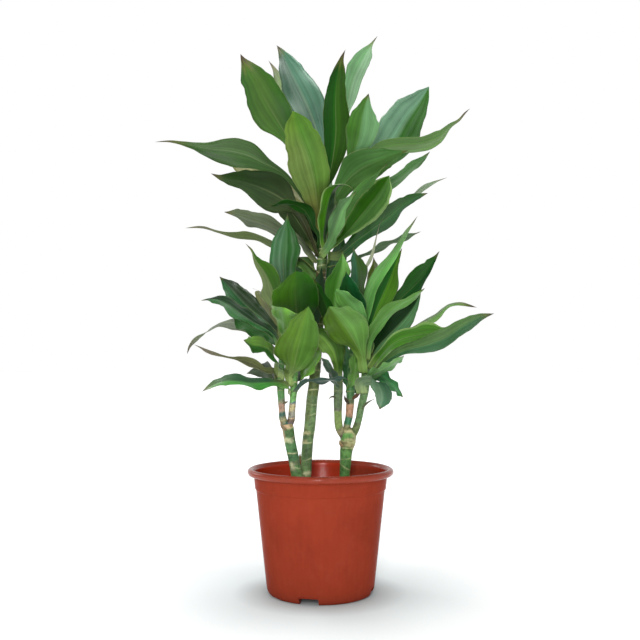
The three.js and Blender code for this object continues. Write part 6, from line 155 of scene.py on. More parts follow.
# leaf scars: height, or (height, rise to the right, rise to the back, strength, half width in mm)
RINGS = {
    'middle': [92.4, 112.1, 131.8, (154.2, 0.1, 0.0, 0.7, 0.6), (172.6, 0.38, 0.05, 0.9, 0.6), (195.0, 0.1, 0.1, 0.6, 0.7), (206.9, 0.08, 0.0, 0.6, 0.8), (231.6, 0.26, 0.05, 0.85, 0.5), (247.2, -0.1, 0.32, 0.85, 0.5), (264.4, 0.28, 0.0, 0.85, 0.5), 277.0, 289.0, 300.3, 311.6, 322.2, 332.2, 342.2, 351.5, 360.8, 370.1, 378.8, 387.5, 396.9, 404.9, 412.9, 420.9, 429.0, 437.0, 443.7, 450.4, 457.1, 463.8, 470.5, 475.9, 481.3, 486.7, 492.0, 497.4, 502.8],
    'leftTrunk': [95.7, 115.1, 131.9, (165.6, -0.5, 0.2, 0.6, 0.6), (183.0, -0.16, 0.05, 0.95, 0.6), (200.7, 0.42, 0.0, 0.95, 0.9), (214.7, 0.1, 0.0, 0.8, 0.7)],
    'leftShootA': [(225.5, 0.3, 0, 0.7, 0.8), (237.2, 0.0, 0.1, 0.5, 0.5), (248.9, 0.0, 0.2, 0.6, 0.6), 264.5, 271.7, 278.9, 285.4, 291.9, 298.5, 305.0, 311.5, 316.8, 322.0],
    'leftShootB': [(227.8, 0.1, 0.1, 0.7, 0.7), (236.3, 0.3, 0.1, 0.5, 0.5), (246.1, -0.5, 0.1, 0.6, 0.5), 263.1, 275.5, 282.7, 289.3, 295.8, 302.4, 308.9, 315.5, 320.7],
    'rightTrunk': [90.2, 108.5, 125.6, (163.2, -0.62, 0.1, 0.95, 0.5), (174.2, 0.1, 0.1, 0.95, 0.5), (188.6, 0.05, 0.1, 0.6, 0.6), (196.5, 0.0, 0.1, 0.6, 0.7)],
    'rightShootA': [(223.3, 0.0, 0.1, 0.3, 0.5), (237.8, 0.1, 0.1, 0.3, 0.5), 262.8, 277.9, 291.8, 305.0, 318.2],
    'rightShootB': [(228.5, 0.0, 0.1, 0.6, 0.5), (235.8, -0.5, 0.2, 0.6, 0.5), (245.1, 0.3, 0.2, 0.5, 0.5), 262.3, 278.3, 294.2, 310.2, 326.2],
    'rightShootC': [(226.1, 0.1, 0.1, 0.2, 0.5), (245.8, 0.2, 0.1, 0.2, 0.5), 268.8, 282.6, 295.7, 308.9, 320.8],
}
# dry scraps and thin sprouts on the canes
SCRAPS = [
    {'on': 'cane_right', 'name': 'scrap', 'kind': 'dull', 'left': [1.38, 1.6, 1.83, 2.06, 2.29, 2.52, 2.75, 2.67, 2.5, 2.28, 2.0, 1.68, 1.31, 0.91, 0.47, 0.0], 'right': [1.38, 1.6, 1.83, 2.06, 2.29, 2.52, 2.75, 2.67, 2.5, 2.28, 2.0, 1.68, 1.31, 0.91, 0.47, 0.0], 'twist': 0.0, 'faceAt': 0.5, 'face': [0, -1, 0.2], 'up': [[96, 70, 54], [96, 70, 54]], 'un': [[96, 70, 54], [96, 70, 54]], 'dry': 0.0, 'basec': (84, 76, 56, 0.2, 0.5), 'points': [[41.8, 3, 251.9], [46.9, -2, 256.1], [51.4, -5, 261.5], [52.7, -6, 265.5]]},
    {'on': 'cane_right', 'name': 'scrap', 'kind': 'dull', 'left': [1.0, 1.17, 1.33, 1.5, 1.67, 1.83, 2.0, 1.94, 1.82, 1.66, 1.45, 1.22, 0.95, 0.66, 0.34, 0.0], 'right': [1.0, 1.17, 1.33, 1.5, 1.67, 1.83, 2.0, 1.94, 1.82, 1.66, 1.45, 1.22, 0.95, 0.66, 0.34, 0.0], 'twist': 0.0, 'faceAt': 0.5, 'face': [0, -1, 0.2], 'up': [[56, 48, 38], [56, 48, 38]], 'un': [[56, 48, 38], [56, 48, 38]], 'dry': 0.0, 'basec': (84, 76, 56, 0.2, 0.5), 'points': [[38.4, 2, 245.3], [34.4, -1, 249.5], [32.1, -3, 254.2], [32.3, -4, 258.2]]},
    {'on': 'cane_right', 'name': 'scrap', 'kind': 'dull', 'left': [0.7, 0.82, 0.93, 1.05, 1.17, 1.28, 1.4, 1.36, 1.27, 1.16, 1.02, 0.85, 0.67, 0.46, 0.24, 0.0], 'right': [0.7, 0.82, 0.93, 1.05, 1.17, 1.28, 1.4, 1.36, 1.27, 1.16, 1.02, 0.85, 0.67, 0.46, 0.24, 0.0], 'twist': 0.0, 'faceAt': 0.5, 'face': [0, -1, 0.2], 'up': [[78, 80, 58], [78, 80, 58]], 'un': [[78, 80, 58], [78, 80, 58]], 'dry': 0.0, 'basec': (84, 76, 56, 0.2, 0.5), 'points': [[53.8, -9, 238.1], [58.3, -12, 244.8], [64.1, -14, 249.7], [70.5, -15, 252.8]]},
    {'on': 'cane_right', 'name': 'scrap', 'kind': 'dull', 'left': [0.65, 0.76, 0.87, 0.98, 1.08, 1.19, 1.3, 1.26, 1.18, 1.08, 0.94, 0.79, 0.62, 0.43, 0.22, 0.0], 'right': [0.65, 0.76, 0.87, 0.98, 1.08, 1.19, 1.3, 1.26, 1.18, 1.08, 0.94, 0.79, 0.62, 0.43, 0.22, 0.0], 'twist': 0.0, 'faceAt': 0.5, 'face': [0, -1, 0.2], 'up': [[76, 76, 60], [76, 76, 60]], 'un': [[76, 76, 60], [76, 76, 60]], 'dry': 0.0, 'basec': (84, 76, 56, 0.2, 0.5), 'points': [[21.7, -9, 252.5], [17.7, -11, 255.5], [13.8, -12, 255.3], [10.5, -12, 252.0]]},
    {'on': 'cane_left', 'name': 'scrap', 'kind': 'dull', 'left': [0.8, 0.93, 1.07, 1.2, 1.33, 1.47, 1.6, 1.55, 1.46, 1.32, 1.16, 0.98, 0.76, 0.53, 0.27, 0.0], 'right': [0.8, 0.93, 1.07, 1.2, 1.33, 1.47, 1.6, 1.55, 1.46, 1.32, 1.16, 0.98, 0.76, 0.53, 0.27, 0.0], 'twist': 0.0, 'faceAt': 0.5, 'face': [0, -1, 0.2], 'up': [[88, 78, 58], [88, 78, 58]], 'un': [[88, 78, 58], [88, 78, 58]], 'dry': 0.0, 'basec': (84, 76, 56, 0.2, 0.5), 'points': [[-49.5, -19, 246.5], [-45.5, -20, 248.5], [-41.6, -20, 249.8]]},
    {'on': 'cane_left', 'name': 'scrap', 'kind': 'dull', 'left': [1.05, 1.23, 1.4, 1.58, 1.75, 1.93, 2.1, 2.04, 1.91, 1.74, 1.53, 1.28, 1.0, 0.7, 0.36, 0.0], 'right': [1.05, 1.23, 1.4, 1.58, 1.75, 1.93, 2.1, 2.04, 1.91, 1.74, 1.53, 1.28, 1.0, 0.7, 0.36, 0.0], 'twist': 0.0, 'faceAt': 0.5, 'face': [0, -1, 0.2], 'up': [[120, 104, 78], [120, 104, 78]], 'un': [[120, 104, 78], [120, 104, 78]], 'dry': 0.0, 'basec': (84, 76, 56, 0.2, 0.5), 'points': [[-43.5, -21, 212.9], [-47.4, -22, 215.0], [-50.9, -22, 220.1], [-51.3, -21, 224.6]]},
    {'on': 'cane_right', 'name': 'scrap', 'kind': 'dull', 'left': [1.05, 1.23, 1.4, 1.58, 1.75, 1.93, 2.1, 2.04, 1.91, 1.74, 1.53, 1.28, 1.0, 0.7, 0.36, 0.0], 'right': [1.05, 1.23, 1.4, 1.58, 1.75, 1.93, 2.1, 2.04, 1.91, 1.74, 1.53, 1.28, 1.0, 0.7, 0.36, 0.0], 'twist': 0.0, 'faceAt': 0.5, 'face': [0, -1, 0.2], 'up': [[140, 118, 86], [140, 118, 86]], 'un': [[140, 118, 86], [140, 118, 86]], 'dry': 0.0, 'basec': (84, 76, 56, 0.2, 0.5), 'points': [[29.6, -6, 189.4], [26.3, -7, 193.5], [24.9, -7, 198.7]]},
    {'on': 'cane_middle', 'name': 'scrap', 'kind': 'dull', 'left': [0.85, 0.99, 1.13, 1.27, 1.42, 1.56, 1.7, 1.65, 1.55, 1.41, 1.24, 1.04, 0.81, 0.56, 0.29, 0.0], 'right': [0.85, 0.99, 1.13, 1.27, 1.42, 1.56, 1.7, 1.65, 1.55, 1.41, 1.24, 1.04, 0.81, 0.56, 0.29, 0.0], 'twist': 0.0, 'faceAt': 0.5, 'face': [0, -1, 0.2], 'up': [[120, 110, 74], [120, 110, 74]], 'un': [[120, 110, 74], [120, 110, 74]], 'dry': 0.0, 'basec': (84, 76, 56, 0.2, 0.5), 'points': [[-25.7, -2, 170.7], [-27.0, -4, 176.1], [-26.7, -4, 181.4]]},
]
# the inside colour is a brighter, more saturated copy of the wall's plastic: painted light that makes up for the dim
# light in the well
POT = {'wall': [138, 53, 35], 'rough': 0.165, 'spec': 0.3, 'inside': [196, 46, 8], 'matt': 0.0045}
# floor: shade darkens the floor's colour round the foot as a painted shadow, and the cool tint near the pot is
# painted shade against its red bounce light
LIGHT = {'floor': 0.885, 'glow': [0.28, 2.3, 0.0, 0.9], 'world': 1.0, 'sky': [[0, [1, 1, 1]], [0.4, [1, 1, 1]], [0.7, [0.3, 0.31, 0.32]], [1, [0.2, 0.21, 0.22]]], 'areas': [['key', [0.7, -1.4, 2.0], [0, 0, 0.4], 0.8, 5, [1, 0.98, 0.95]], ['fill', [-1.5, -0.9, 1.0], [0, 0, 0.35], 1.0, 2.5, [0.95, 0.98, 1]], ['top', [0.0, 0.1, 2.3], [0, 0, 0.4], 1.3, 45, [1, 1, 1]], ['rim', [-1.3, 1.0, 0.9], [0, 0, 0.3], 0.5, 3, [1, 1, 1]], ['strip', [-0.15, -2.2, 0.85], [0, 0, 0.25], 0.3, 24, [1, 1, 1], 1.1]], 'side': 0.75, 'painted_cool_tint': [0.9, 0.99, 0.995], 'shade': [0.115, 0.74]}

# ------------------------------------------------------------------ helpers
def lin(c):
    """sRGB 0..255 to linear"""
    out = []
    for v in c:
        v = v / 255.0
        out.append(v / 12.92 if v <= 0.04045 else ((v + 0.055) / 1.055) ** 2.4)
    return np.array(out)


def smooth(x):
    x = np.clip(x, 0.0, 1.0)
    return x * x * (3.0 - 2.0 * x)


def spline(points, steps):
    p = [np.array(q, float) for q in points]
    p = [2 * p[0] - p[1]] + p + [2 * p[-1] - p[-2]]
    out = []
    for i in range(1, len(p) - 2):
        p0, p1, p2, p3 = p[i - 1], p[i], p[i + 1], p[i + 2]
        d0 = max(np.linalg.norm(p1 - p0) ** 0.5, 1e-4)
        d1 = max(np.linalg.norm(p2 - p1) ** 0.5, 1e-4)
        d2 = max(np.linalg.norm(p3 - p2) ** 0.5, 1e-4)
        t1 = ((p1 - p0) / d0 - (p2 - p0) / (d0 + d1) + (p2 - p1) / d1) * d1
        t2 = ((p2 - p1) / d1 - (p3 - p1) / (d1 + d2) + (p3 - p2) / d2) * d1
        for k in range(steps):
            t = k / steps
            out.append(p1 * (2 * t ** 3 - 3 * t * t + 1) + t1 * (t ** 3 - 2 * t * t + t)
                       + p2 * (-2 * t ** 3 + 3 * t * t) + t2 * (t ** 3 - t * t))
    out.append(p[-2])
    return np.array(out)


def evenly(line, n):
    seg = np.linalg.norm(np.diff(line, axis=0), axis=1)
    run = np.concatenate([[0], np.cumsum(seg)])
    at = np.linspace(0, run[-1], n + 1)
    return np.stack([np.interp(at, run, line[:, i]) for i in range(3)], 1), run[-1]


def unit(v):
    return v / np.maximum(np.linalg.norm(v, axis=-1, keepdims=True), 1e-12)


def turn(v, k, a):
    return v * math.cos(a) + np.cross(k, v) * math.sin(a) + k * np.dot(k, v) * (1 - math.cos(a))


def half_width(s, widths):
    """smooth half width in mm at the fractions s, from values at even steps base to tip"""
    k = np.linspace(0, 1, 241)
    w = np.interp(k, np.linspace(0, 1, len(widths)), widths)
    g = np.exp(-(np.arange(-12, 13) / 5.0) ** 2)
    g = g / g.sum()
    pad = np.concatenate([np.full(12, w[0]), w, -w[-2:-14:-1]])
    w = np.convolve(pad, g, "valid")
    tip = 0.34 * (1 - smooth((s - 0.97) / 0.03)) + 0.08
    return np.maximum(np.interp(s, k, w), tip)


def new_mesh(name, verts, faces, material, uv=None, colour=None, shade=True, relief=None):
    me = bpy.data.meshes.new(name)
    me.from_pydata([tuple(v) for v in verts], [], [tuple(int(i) for i in f) for f in faces])
    me.update()
    if uv is not None:
        layer = me.uv_layers.new(name="leaf")
        idx = np.empty(len(me.loops), dtype=np.int64)
        me.loops.foreach_get("vertex_index", idx)
        layer.data.foreach_set("uv", np.asarray(uv, dtype=np.float32)[idx].ravel())
    if colour is not None:
        a = me.color_attributes.new("tone", "FLOAT_COLOR", "POINT")
        rgba = np.ones((len(verts), 4), dtype=np.float32)
        rgba[:, :3] = colour
        a.data.foreach_set("color", rgba.ravel())
    if relief is not None:
        a = me.attributes.new("relief", "FLOAT", "POINT")
        a.data.foreach_set("value", np.asarray(relief, dtype=np.float32))
    if shade:
        me.polygons.foreach_set("use_smooth", np.ones(len(me.polygons), dtype=bool))
    me.materials.append(material)
    ob = bpy.data.objects.new(name, me)
    scene.collection.objects.link(ob)
    return ob


# ------------------------------------------------------------------ materials
def material(name):
    m = bpy.data.materials.new(name)
    m.use_nodes = True
    nt = m.node_tree
    b = nt.nodes["Principled BSDF"]
    return m, nt, b


def node(nt, kind, **kw):
    n = nt.nodes.new(kind)
    for k, v in kw.items():
        setattr(n, k, v)
    return n


def mixc(nt, fac, a, b, mode="MIX"):
    n = nt.nodes.new("ShaderNodeMix")
    n.data_type = "RGBA"
    n.blend_type = mode
    for sock, val in ((n.inputs[0], fac), (n.inputs[6], a), (n.inputs[7], b)):
        if hasattr(val, "is_linked") or isinstance(val, bpy.types.NodeSocket):
            nt.links.new(val, sock)
        elif isinstance(val, (int, float)):
            sock.default_value = val
        else:
            sock.default_value = tuple(val) + ((1.0,) if len(val) == 3 else ())
    return n.outputs[2]


def math_(nt, op, a, b=None, clamp=False):
    n = nt.nodes.new("ShaderNodeMath")
    n.operation = op
    n.use_clamp = clamp
    for sock, val in ((n.inputs[0], a), (n.inputs[1], b)):
        if val is None:
            continue
        if isinstance(val, bpy.types.NodeSocket):
            nt.links.new(val, sock)
        else:
            sock.default_value = val
    return n.outputs[0]


def ramp(nt, fac, stops, interp="LINEAR"):
    n = nt.nodes.new("ShaderNodeValToRGB")
    n.color_ramp.interpolation = interp
    els = n.color_ramp.elements
    while len(els) < len(stops):
        els.new(0.5)
    for e, (p, c) in zip(els, stops):
        e.position = p
        e.color = (c, c, c, 1) if isinstance(c, (int, float)) else tuple(c) + (1,)
    nt.links.new(fac, n.inputs[0])
    return n.outputs[0]


def maprange(nt, v, a, b, c, d):
    n = nt.nodes.new("ShaderNodeMapRange")
    nt.links.new(v, n.inputs[0])
    for i, x in zip((1, 2, 3, 4), (a, b, c, d)):
        n.inputs[i].default_value = x
    return n.outputs[0]


def leaf_material(name, rough, gloss_noise, vein, spec=0.5):
    """u runs across the blade (0..1), v along it (0..1); tone holds the blade's own colour together with its painted
    light and shade
    """
    m, nt, b = material(name)
    L = nt.links.new
    tone = node(nt, "ShaderNodeAttribute", attribute_name="tone")
    uv = node(nt, "ShaderNodeUVMap", uv_map="leaf")
    sep = node(nt, "ShaderNodeSeparateXYZ")
    L(uv.outputs[0], sep.inputs[0])
    # veins run along the blade
    stretch = node(nt, "ShaderNodeMapping")
    stretch.inputs["Scale"].default_value = (46.0, 1.3, 1.0)
    L(uv.outputs[0], stretch.inputs[0])
    n1 = node(nt, "ShaderNodeTexNoise")
    n1.inputs["Scale"].default_value = 1.0
    n1.inputs["Detail"].default_value = 3.0
    n1.inputs["Roughness"].default_value = 0.6
    L(stretch.outputs[0], n1.inputs["Vector"])
    broad = node(nt, "ShaderNodeMapping")
    broad.inputs["Scale"].default_value = (9.0, 0.8, 1.0)
    L(uv.outputs[0], broad.inputs[0])
    n2 = node(nt, "ShaderNodeTexNoise")
    n2.inputs["Scale"].default_value = 1.0
    n2.inputs["Detail"].default_value = 2.0
    L(broad.outputs[0], n2.inputs["Vector"])
    pos = node(nt, "ShaderNodeTexCoord")
    n3 = node(nt, "ShaderNodeTexNoise")
    n3.inputs["Scale"].default_value = 26.0
    n3.inputs["Detail"].default_value = 4.0
    L(pos.outputs["Object"], n3.inputs["Vector"])
    n4 = node(nt, "ShaderNodeTexNoise")
    n4.inputs["Scale"].default_value = 420.0
    n4.inputs["Detail"].default_value = 2.0
    L(pos.outputs["Object"], n4.inputs["Vector"])
    veins = ramp(nt, n1.outputs[0], [(0.32, 1.0 - vein), (0.5, 1.0), (0.7, 1.0 + vein)])
    bands = ramp(nt, n2.outputs[0], [(0.3, 0.76), (0.52, 1.0), (0.74, 1.26)])
    blotch = ramp(nt, n3.outputs[0], [(0.3, 0.82), (0.5, 1.0), (0.72, 1.13)])
    c = mixc(nt, 1.0, tone.outputs[0], veins, "MULTIPLY")
    c = mixc(nt, 1.0, c, bands, "MULTIPLY")
    c = mixc(nt, 1.0, c, blotch, "MULTIPLY")
    # midrib: a slim pale line that fades out towards the tip
    off = math_(nt, "ABSOLUTE", math_(nt, "SUBTRACT", sep.outputs[0], 0.5))
    rib = math_(nt, "LESS_THAN", off, 0.018)
    rib = maprange(nt, off, 0.0, 0.034, 1.0, 0.0)
    fade = maprange(nt, sep.outputs[1], 0.25, 0.85, 0.42, 0.0)
    ribf = math_(nt, "MULTIPLY", rib, fade)
    pale = mixc(nt, 0.5, c, (0.42, 0.50, 0.22))
    c = mixc(nt, ribf, c, pale)
    # thin pale margin
    edge = maprange(nt, off, 0.480, 0.498, 0.0, 0.5)
    edge = math_(nt, "MULTIPLY", edge, maprange(nt, sep.outputs[1], 0.62, 0.90, 1.0, 0.0))
    c = mixc(nt, edge, c, mixc(nt, 0.45, c, (0.40, 0.44, 0.18)))
    L(c, b.inputs["Base Color"])
    r = math_(nt, "ADD", math_(nt, "MULTIPLY", n2.outputs[0], gloss_noise), rough - gloss_noise * 0.5)
    r = math_(nt, "ADD", r, math_(nt, "MULTIPLY", math_(nt, "SUBTRACT", n3.outputs[0], 0.5), gloss_noise))
    L(r, b.inputs["Roughness"])
    b.inputs["Specular IOR Level"].default_value = spec
    # narrow blades have shallower veins: relief is the blade's width as a share of a full blade's
    relief = node(nt, "ShaderNodeAttribute", attribute_name="relief")
    bump1 = node(nt, "ShaderNodeBump")
    bump1.inputs["Strength"].default_value = 0.35
    bump1.inputs["Distance"].default_value = 0.0004
    L(math_(nt, "MULTIPLY", n1.outputs[0], relief.outputs["Fac"]), bump1.inputs["Height"])
    bump2 = node(nt, "ShaderNodeBump")
    bump2.inputs["Strength"].default_value = 0.08
    bump2.inputs["Distance"].default_value = 0.0002
    L(n4.outputs[0], bump2.inputs["Height"])
    L(bump1.outputs[0], bump2.inputs["Normal"])
    bump3 = node(nt, "ShaderNodeBump")
    bump3.inputs["Strength"].default_value = 0.5
    bump3.inputs["Distance"].default_value = 0.0012
    L(math_(nt, "MULTIPLY", n2.outputs[0], relief.outputs["Fac"]), bump3.inputs["Height"])
    L(bump2.outputs[0], bump3.inputs["Normal"])
    L(bump3.outputs[0], b.inputs["Normal"])
    return m


LEAF = leaf_material("leaf_satin", 0.40, 0.16, 0.14, spec=0.16)
LEAF_GLOSS = leaf_material("leaf_glossy", 0.30, 0.14, 0.16, spec=0.30)
LEAF_DULL = leaf_material("leaf_dull", 0.52, 0.14, 0.14, spec=0.09)

# ------------------------------------------------------------------ leaf meshes
NS, NU = 60, 14          # steps along and across
THICK = 0.55             # mm at the midrib


def leaf_arrays(lf, seed):
    rng = np.random.default_rng(seed)
    n = 120
    line, length = evenly(spline(lf["points"], 12), n)
    d = unit(np.gradient(line, axis=0))
    mid = int(n * lf["faceAt"])
    up = [None] * (n + 1)
    f = np.array(lf["face"], float)
    f = f - np.dot(f, d[mid]) * d[mid]
    up[mid] = f / np.linalg.norm(f)
    for i in range(mid + 1, n + 1):
        v = up[i - 1] - np.dot(up[i - 1], d[i]) * d[i]
        up[i] = v / np.linalg.norm(v)
    for i in range(mid - 1, -1, -1):
        v = up[i + 1] - np.dot(up[i + 1], d[i]) * d[i]
        up[i] = v / np.linalg.norm(v)
    curl = lf.get("curl", 0.0)
    for i in range(n + 1):
        a = lf["twist"] * (1 - float(smooth(np.array(i / n / 0.6)))) + curl * float(smooth(np.array((i / n - lf.get("curlAt", 0.82)) / 0.18)))
        up[i] = turn(up[i], d[i], a)
    up = np.array(up)
    # stations are closer together near the tip
    s = np.linspace(0, 1, NS + 1)
    s = s + 0.06 * np.sin(math.pi * s) * 0.5
    s = np.clip(s, 0, 1)
    s[0], s[-1] = 0.0, 0.9995
    x = s * n
    C = np.stack([np.interp(x, np.arange(n + 1), line[:, k]) for k in range(3)], 1)
    T = unit(np.stack([np.interp(x, np.arange(n + 1), d[:, k]) for k in range(3)], 1))
    U = np.stack([np.interp(x, np.arange(n + 1), up[:, k]) for k in range(3)], 1)
    U = unit(U - (U * T).sum(1, keepdims=True) * T)
    S = np.cross(T, U)
    hl = half_width(s, lf["left"])
    hr = half_width(s, lf["right"])
    h = 0.5 * (hl + hr)
    # slightly uneven margins
    ph = rng.uniform(0, 6.28, 6)
    wobl = 1 + 0.012 * np.sin(41 * s + ph[2]) + 0.008 * np.sin(77 * s + ph[0])
    wobr = 1 + 0.012 * np.sin(37 * s + ph[3]) + 0.008 * np.sin(83 * s + ph[1])
    # the margins crinkle where the blade narrows to its tip
    late = smooth((s - 0.62) / 0.22)
    wobl = wobl + late * (0.042 * np.sin(52 * s + ph[1]) + 0.026 * np.sin(95 * s + ph[4]))
    wobr = wobr + late * (0.042 * np.sin(47 * s + ph[5]) + 0.026 * np.sin(101 * s + ph[2]))
    u = np.linspace(-1, 1, NU + 1)
    fold = np.radians(lf.get("fold", 12.0) + (14 - lf.get("fold", 12.0)) * (1 - smooth(s / 0.3)))
    wave = lf.get("wave", 2.0) * smooth(s / 0.25) * smooth((1 - s) / 0.1)
    kw = lf.get("waves", 2.2 + 1.6 * float(rng.uniform()))
    pts = np.empty((NS + 1, NU + 1, 3))
    for j, uj in enumerate(u):
        hh = hl * wobl if uj < 0 else hr * wobr
        a = abs(uj)
        rise = np.sin(fold) * hh * (math.sqrt(a * a + 0.012) - math.sqrt(0.012))
        # the blade arches back down a little towards the margin
        rise = rise - hh * 0.10 * a ** 3
        ripple = wave * a ** 2 * np.sin(2 * math.pi * kw * s + (ph[4] if uj < 0 else ph[5]))
        ripple = ripple * np.clip(hh / 8.0, 0, 1)
        pts[:, j] = C + S * (uj * hh * np.cos(fold))[:, None] + U * (rise + ripple)[:, None]
    # normals of the sheet
    du = np.gradient(pts, axis=1)
    dv = np.gradient(pts, axis=0)
    N = unit(np.cross(dv, du))
    # one sign for the whole blade, so the two faces never change places
    if (N * U[:, None, :]).sum() < 0:
        N = -N
    t = np.empty((NS + 1, NU + 1))
    for j, uj in enumerate(u):
        a = abs(uj)
        t[:, j] = THICK * (0.34 + 0.66 * math.exp(-(a / 0.16) ** 2)) * (1 - 0.55 * s) * (1.0 + 1.3 * (1 - smooth(s / 0.16)))
    t[:, 0] *= 0.6
    t[:, -1] *= 0.6
    t = np.maximum(t, 0.30) * np.clip(h / 1.2, 0.35, 1)[:, None]
    top = pts + N * (t * 0.30)[..., None]
    # the midrib stands out underneath
    ridge = np.exp(-(np.abs(u) / 0.09) ** 2)[None, :] * 0.55 * (1 - 0.8 * s)[:, None] * np.clip(h / 8, 0, 1)[:, None]
    under = pts - N * (t * 0.70 + ridge)[..., None]
    groove = np.exp(-(np.abs(u) / 0.07) ** 2)[None, :] * 0.28 * (1 - 0.8 * s)[:, None] * np.clip(h / 8, 0, 1)[:, None]
    top = top - N * groove[..., None]
    return s, u, top, under, length, rng


def leaf_colour(lf, s, u, upper, rng):
    """blade colour by place: the two halves, partly the blade's own colour and partly painted light and shade, a
    painted highlight along the middle, the base, the tip, streaks of painted sheen, margins and the dry end
    """
    tl, tr = (lin(c) for c in lf["up" if upper else "un"])
    S, Uu = np.meshgrid(s, u, indexing="ij")
    # painted light and shade: where the two halves' colours differ they stand for a lit half and a shaded half, and
    # soft sets how wide the change between them is
    soft = lf.get("soft", 0.20)
    blend = smooth((Uu + soft / 2) / soft)[..., None]
    col = tl * (1 - blend) + tr * blend
    ph = rng.uniform(0, 6.28, 6)
    # colour drifts slowly along and across the blade
    k = 1 + 0.09 * np.sin(4.3 * S + 1.5 * Uu + ph[0]) + 0.06 * np.sin(11 * S - 2.2 * Uu + ph[1])
    col = col * k[..., None]
    # painted highlight: a positive mid lightens a band down the middle of the blade; a negative mid darkens it, as
    # painted shade
    shine = lf.get("mid", 0.0)
    if shine:
        k = np.exp(-(Uu / 0.34) ** 2) * shine
        col = col * (1 + k[..., None])
    if "tipc" in lf:
        k = smooth((S - lf["tipc"][3]) / max(1 - lf["tipc"][3], 0.05)) * lf["tipc"][4]
        col = col * (1 - k[..., None]) + lin(lf["tipc"][:3]) * k[..., None]
    bc = lf.get("basec", (150, 165, 95, 0.16, 0.5))
    k = (1 - smooth(S / bc[3])) * bc[4]
    col = col * (1 - k[..., None]) + lin(bc[:3]) * k[..., None]
    # painted sheen: pale streaks of reflected light run along the blade, with darker streaks between them
    st = lf.get("sheen_streaks", 0.0)
    if st:
        k = (np.sin(Uu * 15 + ph[2] + 0.6 * np.sin(5 * S + ph[3])) * 0.5 + 0.5) ** 2
        k = k * smooth(S / 0.2) * smooth((1 - S) / 0.15) * st
        col = col * (1 - k[..., None]) + lin((185, 205, 190)) * k[..., None]
        k = (np.sin(Uu * 22 + ph[4] + 0.5 * np.sin(7 * S + ph[5])) * 0.5 + 0.5) ** 3 * st * 0.8
        col = col * (1 - k[..., None])
    pm = lf.get("pale", 0.0)
    if pm:
        k = smooth((np.abs(Uu) - 0.70) / 0.22) * pm
        if lf.get("edge", 0):
            k = k * (Uu * lf["edge"] > 0)
        col = col * (1 - k[..., None]) + lin((170, 195, 130)) * k[..., None]
    ol = lf.get("olive", 0.0)
    if ol:
        k = (0.5 + 0.5 * np.sin(5 * S + 2.3 * Uu + ph[0])) * ol
        col = col * (1 - k[..., None]) + lin((122, 118, 52)) * k[..., None]
    dry = lf.get("dry", 0.05)
    if dry:
        ragged = 0.3 * np.sin(8 * Uu + ph[1]) * dry
        k = smooth((S - (1 - dry) + ragged) / (dry * 0.35 + 0.01))
        col = col * (1 - k[..., None]) + lin((66, 52, 40)) * k[..., None]
        y = smooth((S - (1 - dry * 2.0) + ragged) / dry) * (1 - k) * 0.45
        col = col * (1 - y[..., None]) + lin((100, 92, 46)) * y[..., None]
    return np.clip(col, 0.0015, 0.9)


def leaf_mesh(lf, seed):
    s, u, top, under, length, rng = leaf_arrays(lf, seed)
    ns, nu = len(s), len(u)
    ct = leaf_colour(lf, s, u, True, rng)
    cu = leaf_colour(lf, s, u, False, rng)
    V = np.concatenate([top.reshape(-1, 3), under.reshape(-1, 3)]) * MM
    col = np.concatenate([ct.reshape(-1, 3), cu.reshape(-1, 3)])
    S, Uu = np.meshgrid(s, u, indexing="ij")
    uv1 = np.stack([Uu.ravel() * 0.5 + 0.5, S.ravel()], 1)
    uv = np.concatenate([uv1, uv1])
    F = []
    o = ns * nu
    # both sides are split along the same diagonal, so the thin walls never pass through each other
    for i in range(ns - 1):
        for j in range(nu - 1):
            a = i * nu + j
            F += [(a, a + nu, a + nu + 1), (a, a + nu + 1, a + 1)]
            F += [(o + a, o + a + nu + 1, o + a + nu), (o + a, o + a + 1, o + a + nu + 1)]
        a = i * nu
        F += [(a, o + a, o + a + nu), (a, o + a + nu, a + nu)]
        a = i * nu + nu - 1
        F += [(a, a + nu, o + a + nu), (a, o + a + nu, o + a)]
    for j in range(nu - 1):
        F += [(j, j + 1, o + j + 1), (j, o + j + 1, o + j)]
        a = (ns - 1) * nu + j
        F += [(a, o + a, o + a + 1), (a, o + a + 1, a + 1)]
    # face direction by volume
    F = np.array(F)
    v = V[F]
    if (v[:, 0] * np.cross(v[:, 1], v[:, 2])).sum() < 0:
        F = F[:, ::-1]
    h = 0.5 * (half_width(s, lf["left"]) + half_width(s, lf["right"]))
    relief = np.tile(np.repeat(np.clip((h / 20.0) ** 1.2, 0.02, 1.0), nu), 2)
    return V, F, uv, col, relief


def ride_piece(ob, node_name, slot_name):
    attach(ob, "root")
    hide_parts(node_name)
    return ob


LEAF_MATT = leaf_material("leaf_matt", 0.60, 0.12, 0.14, spec=0.03)
LEAF_KIND = {"matt": LEAF_MATT, "satin": LEAF, "gloss": LEAF_GLOSS, "dull": LEAF_DULL}
for i, lf in enumerate(LEAVES):
    V, F, uv, col, relief = leaf_mesh(lf, 100 + i)
    ob = new_mesh("blade_" + lf["name"], V, F, LEAF_KIND[lf["kind"]], uv, col, relief=relief)
    ride_piece(ob, "leaf_" + lf["name"], lf["slot"])

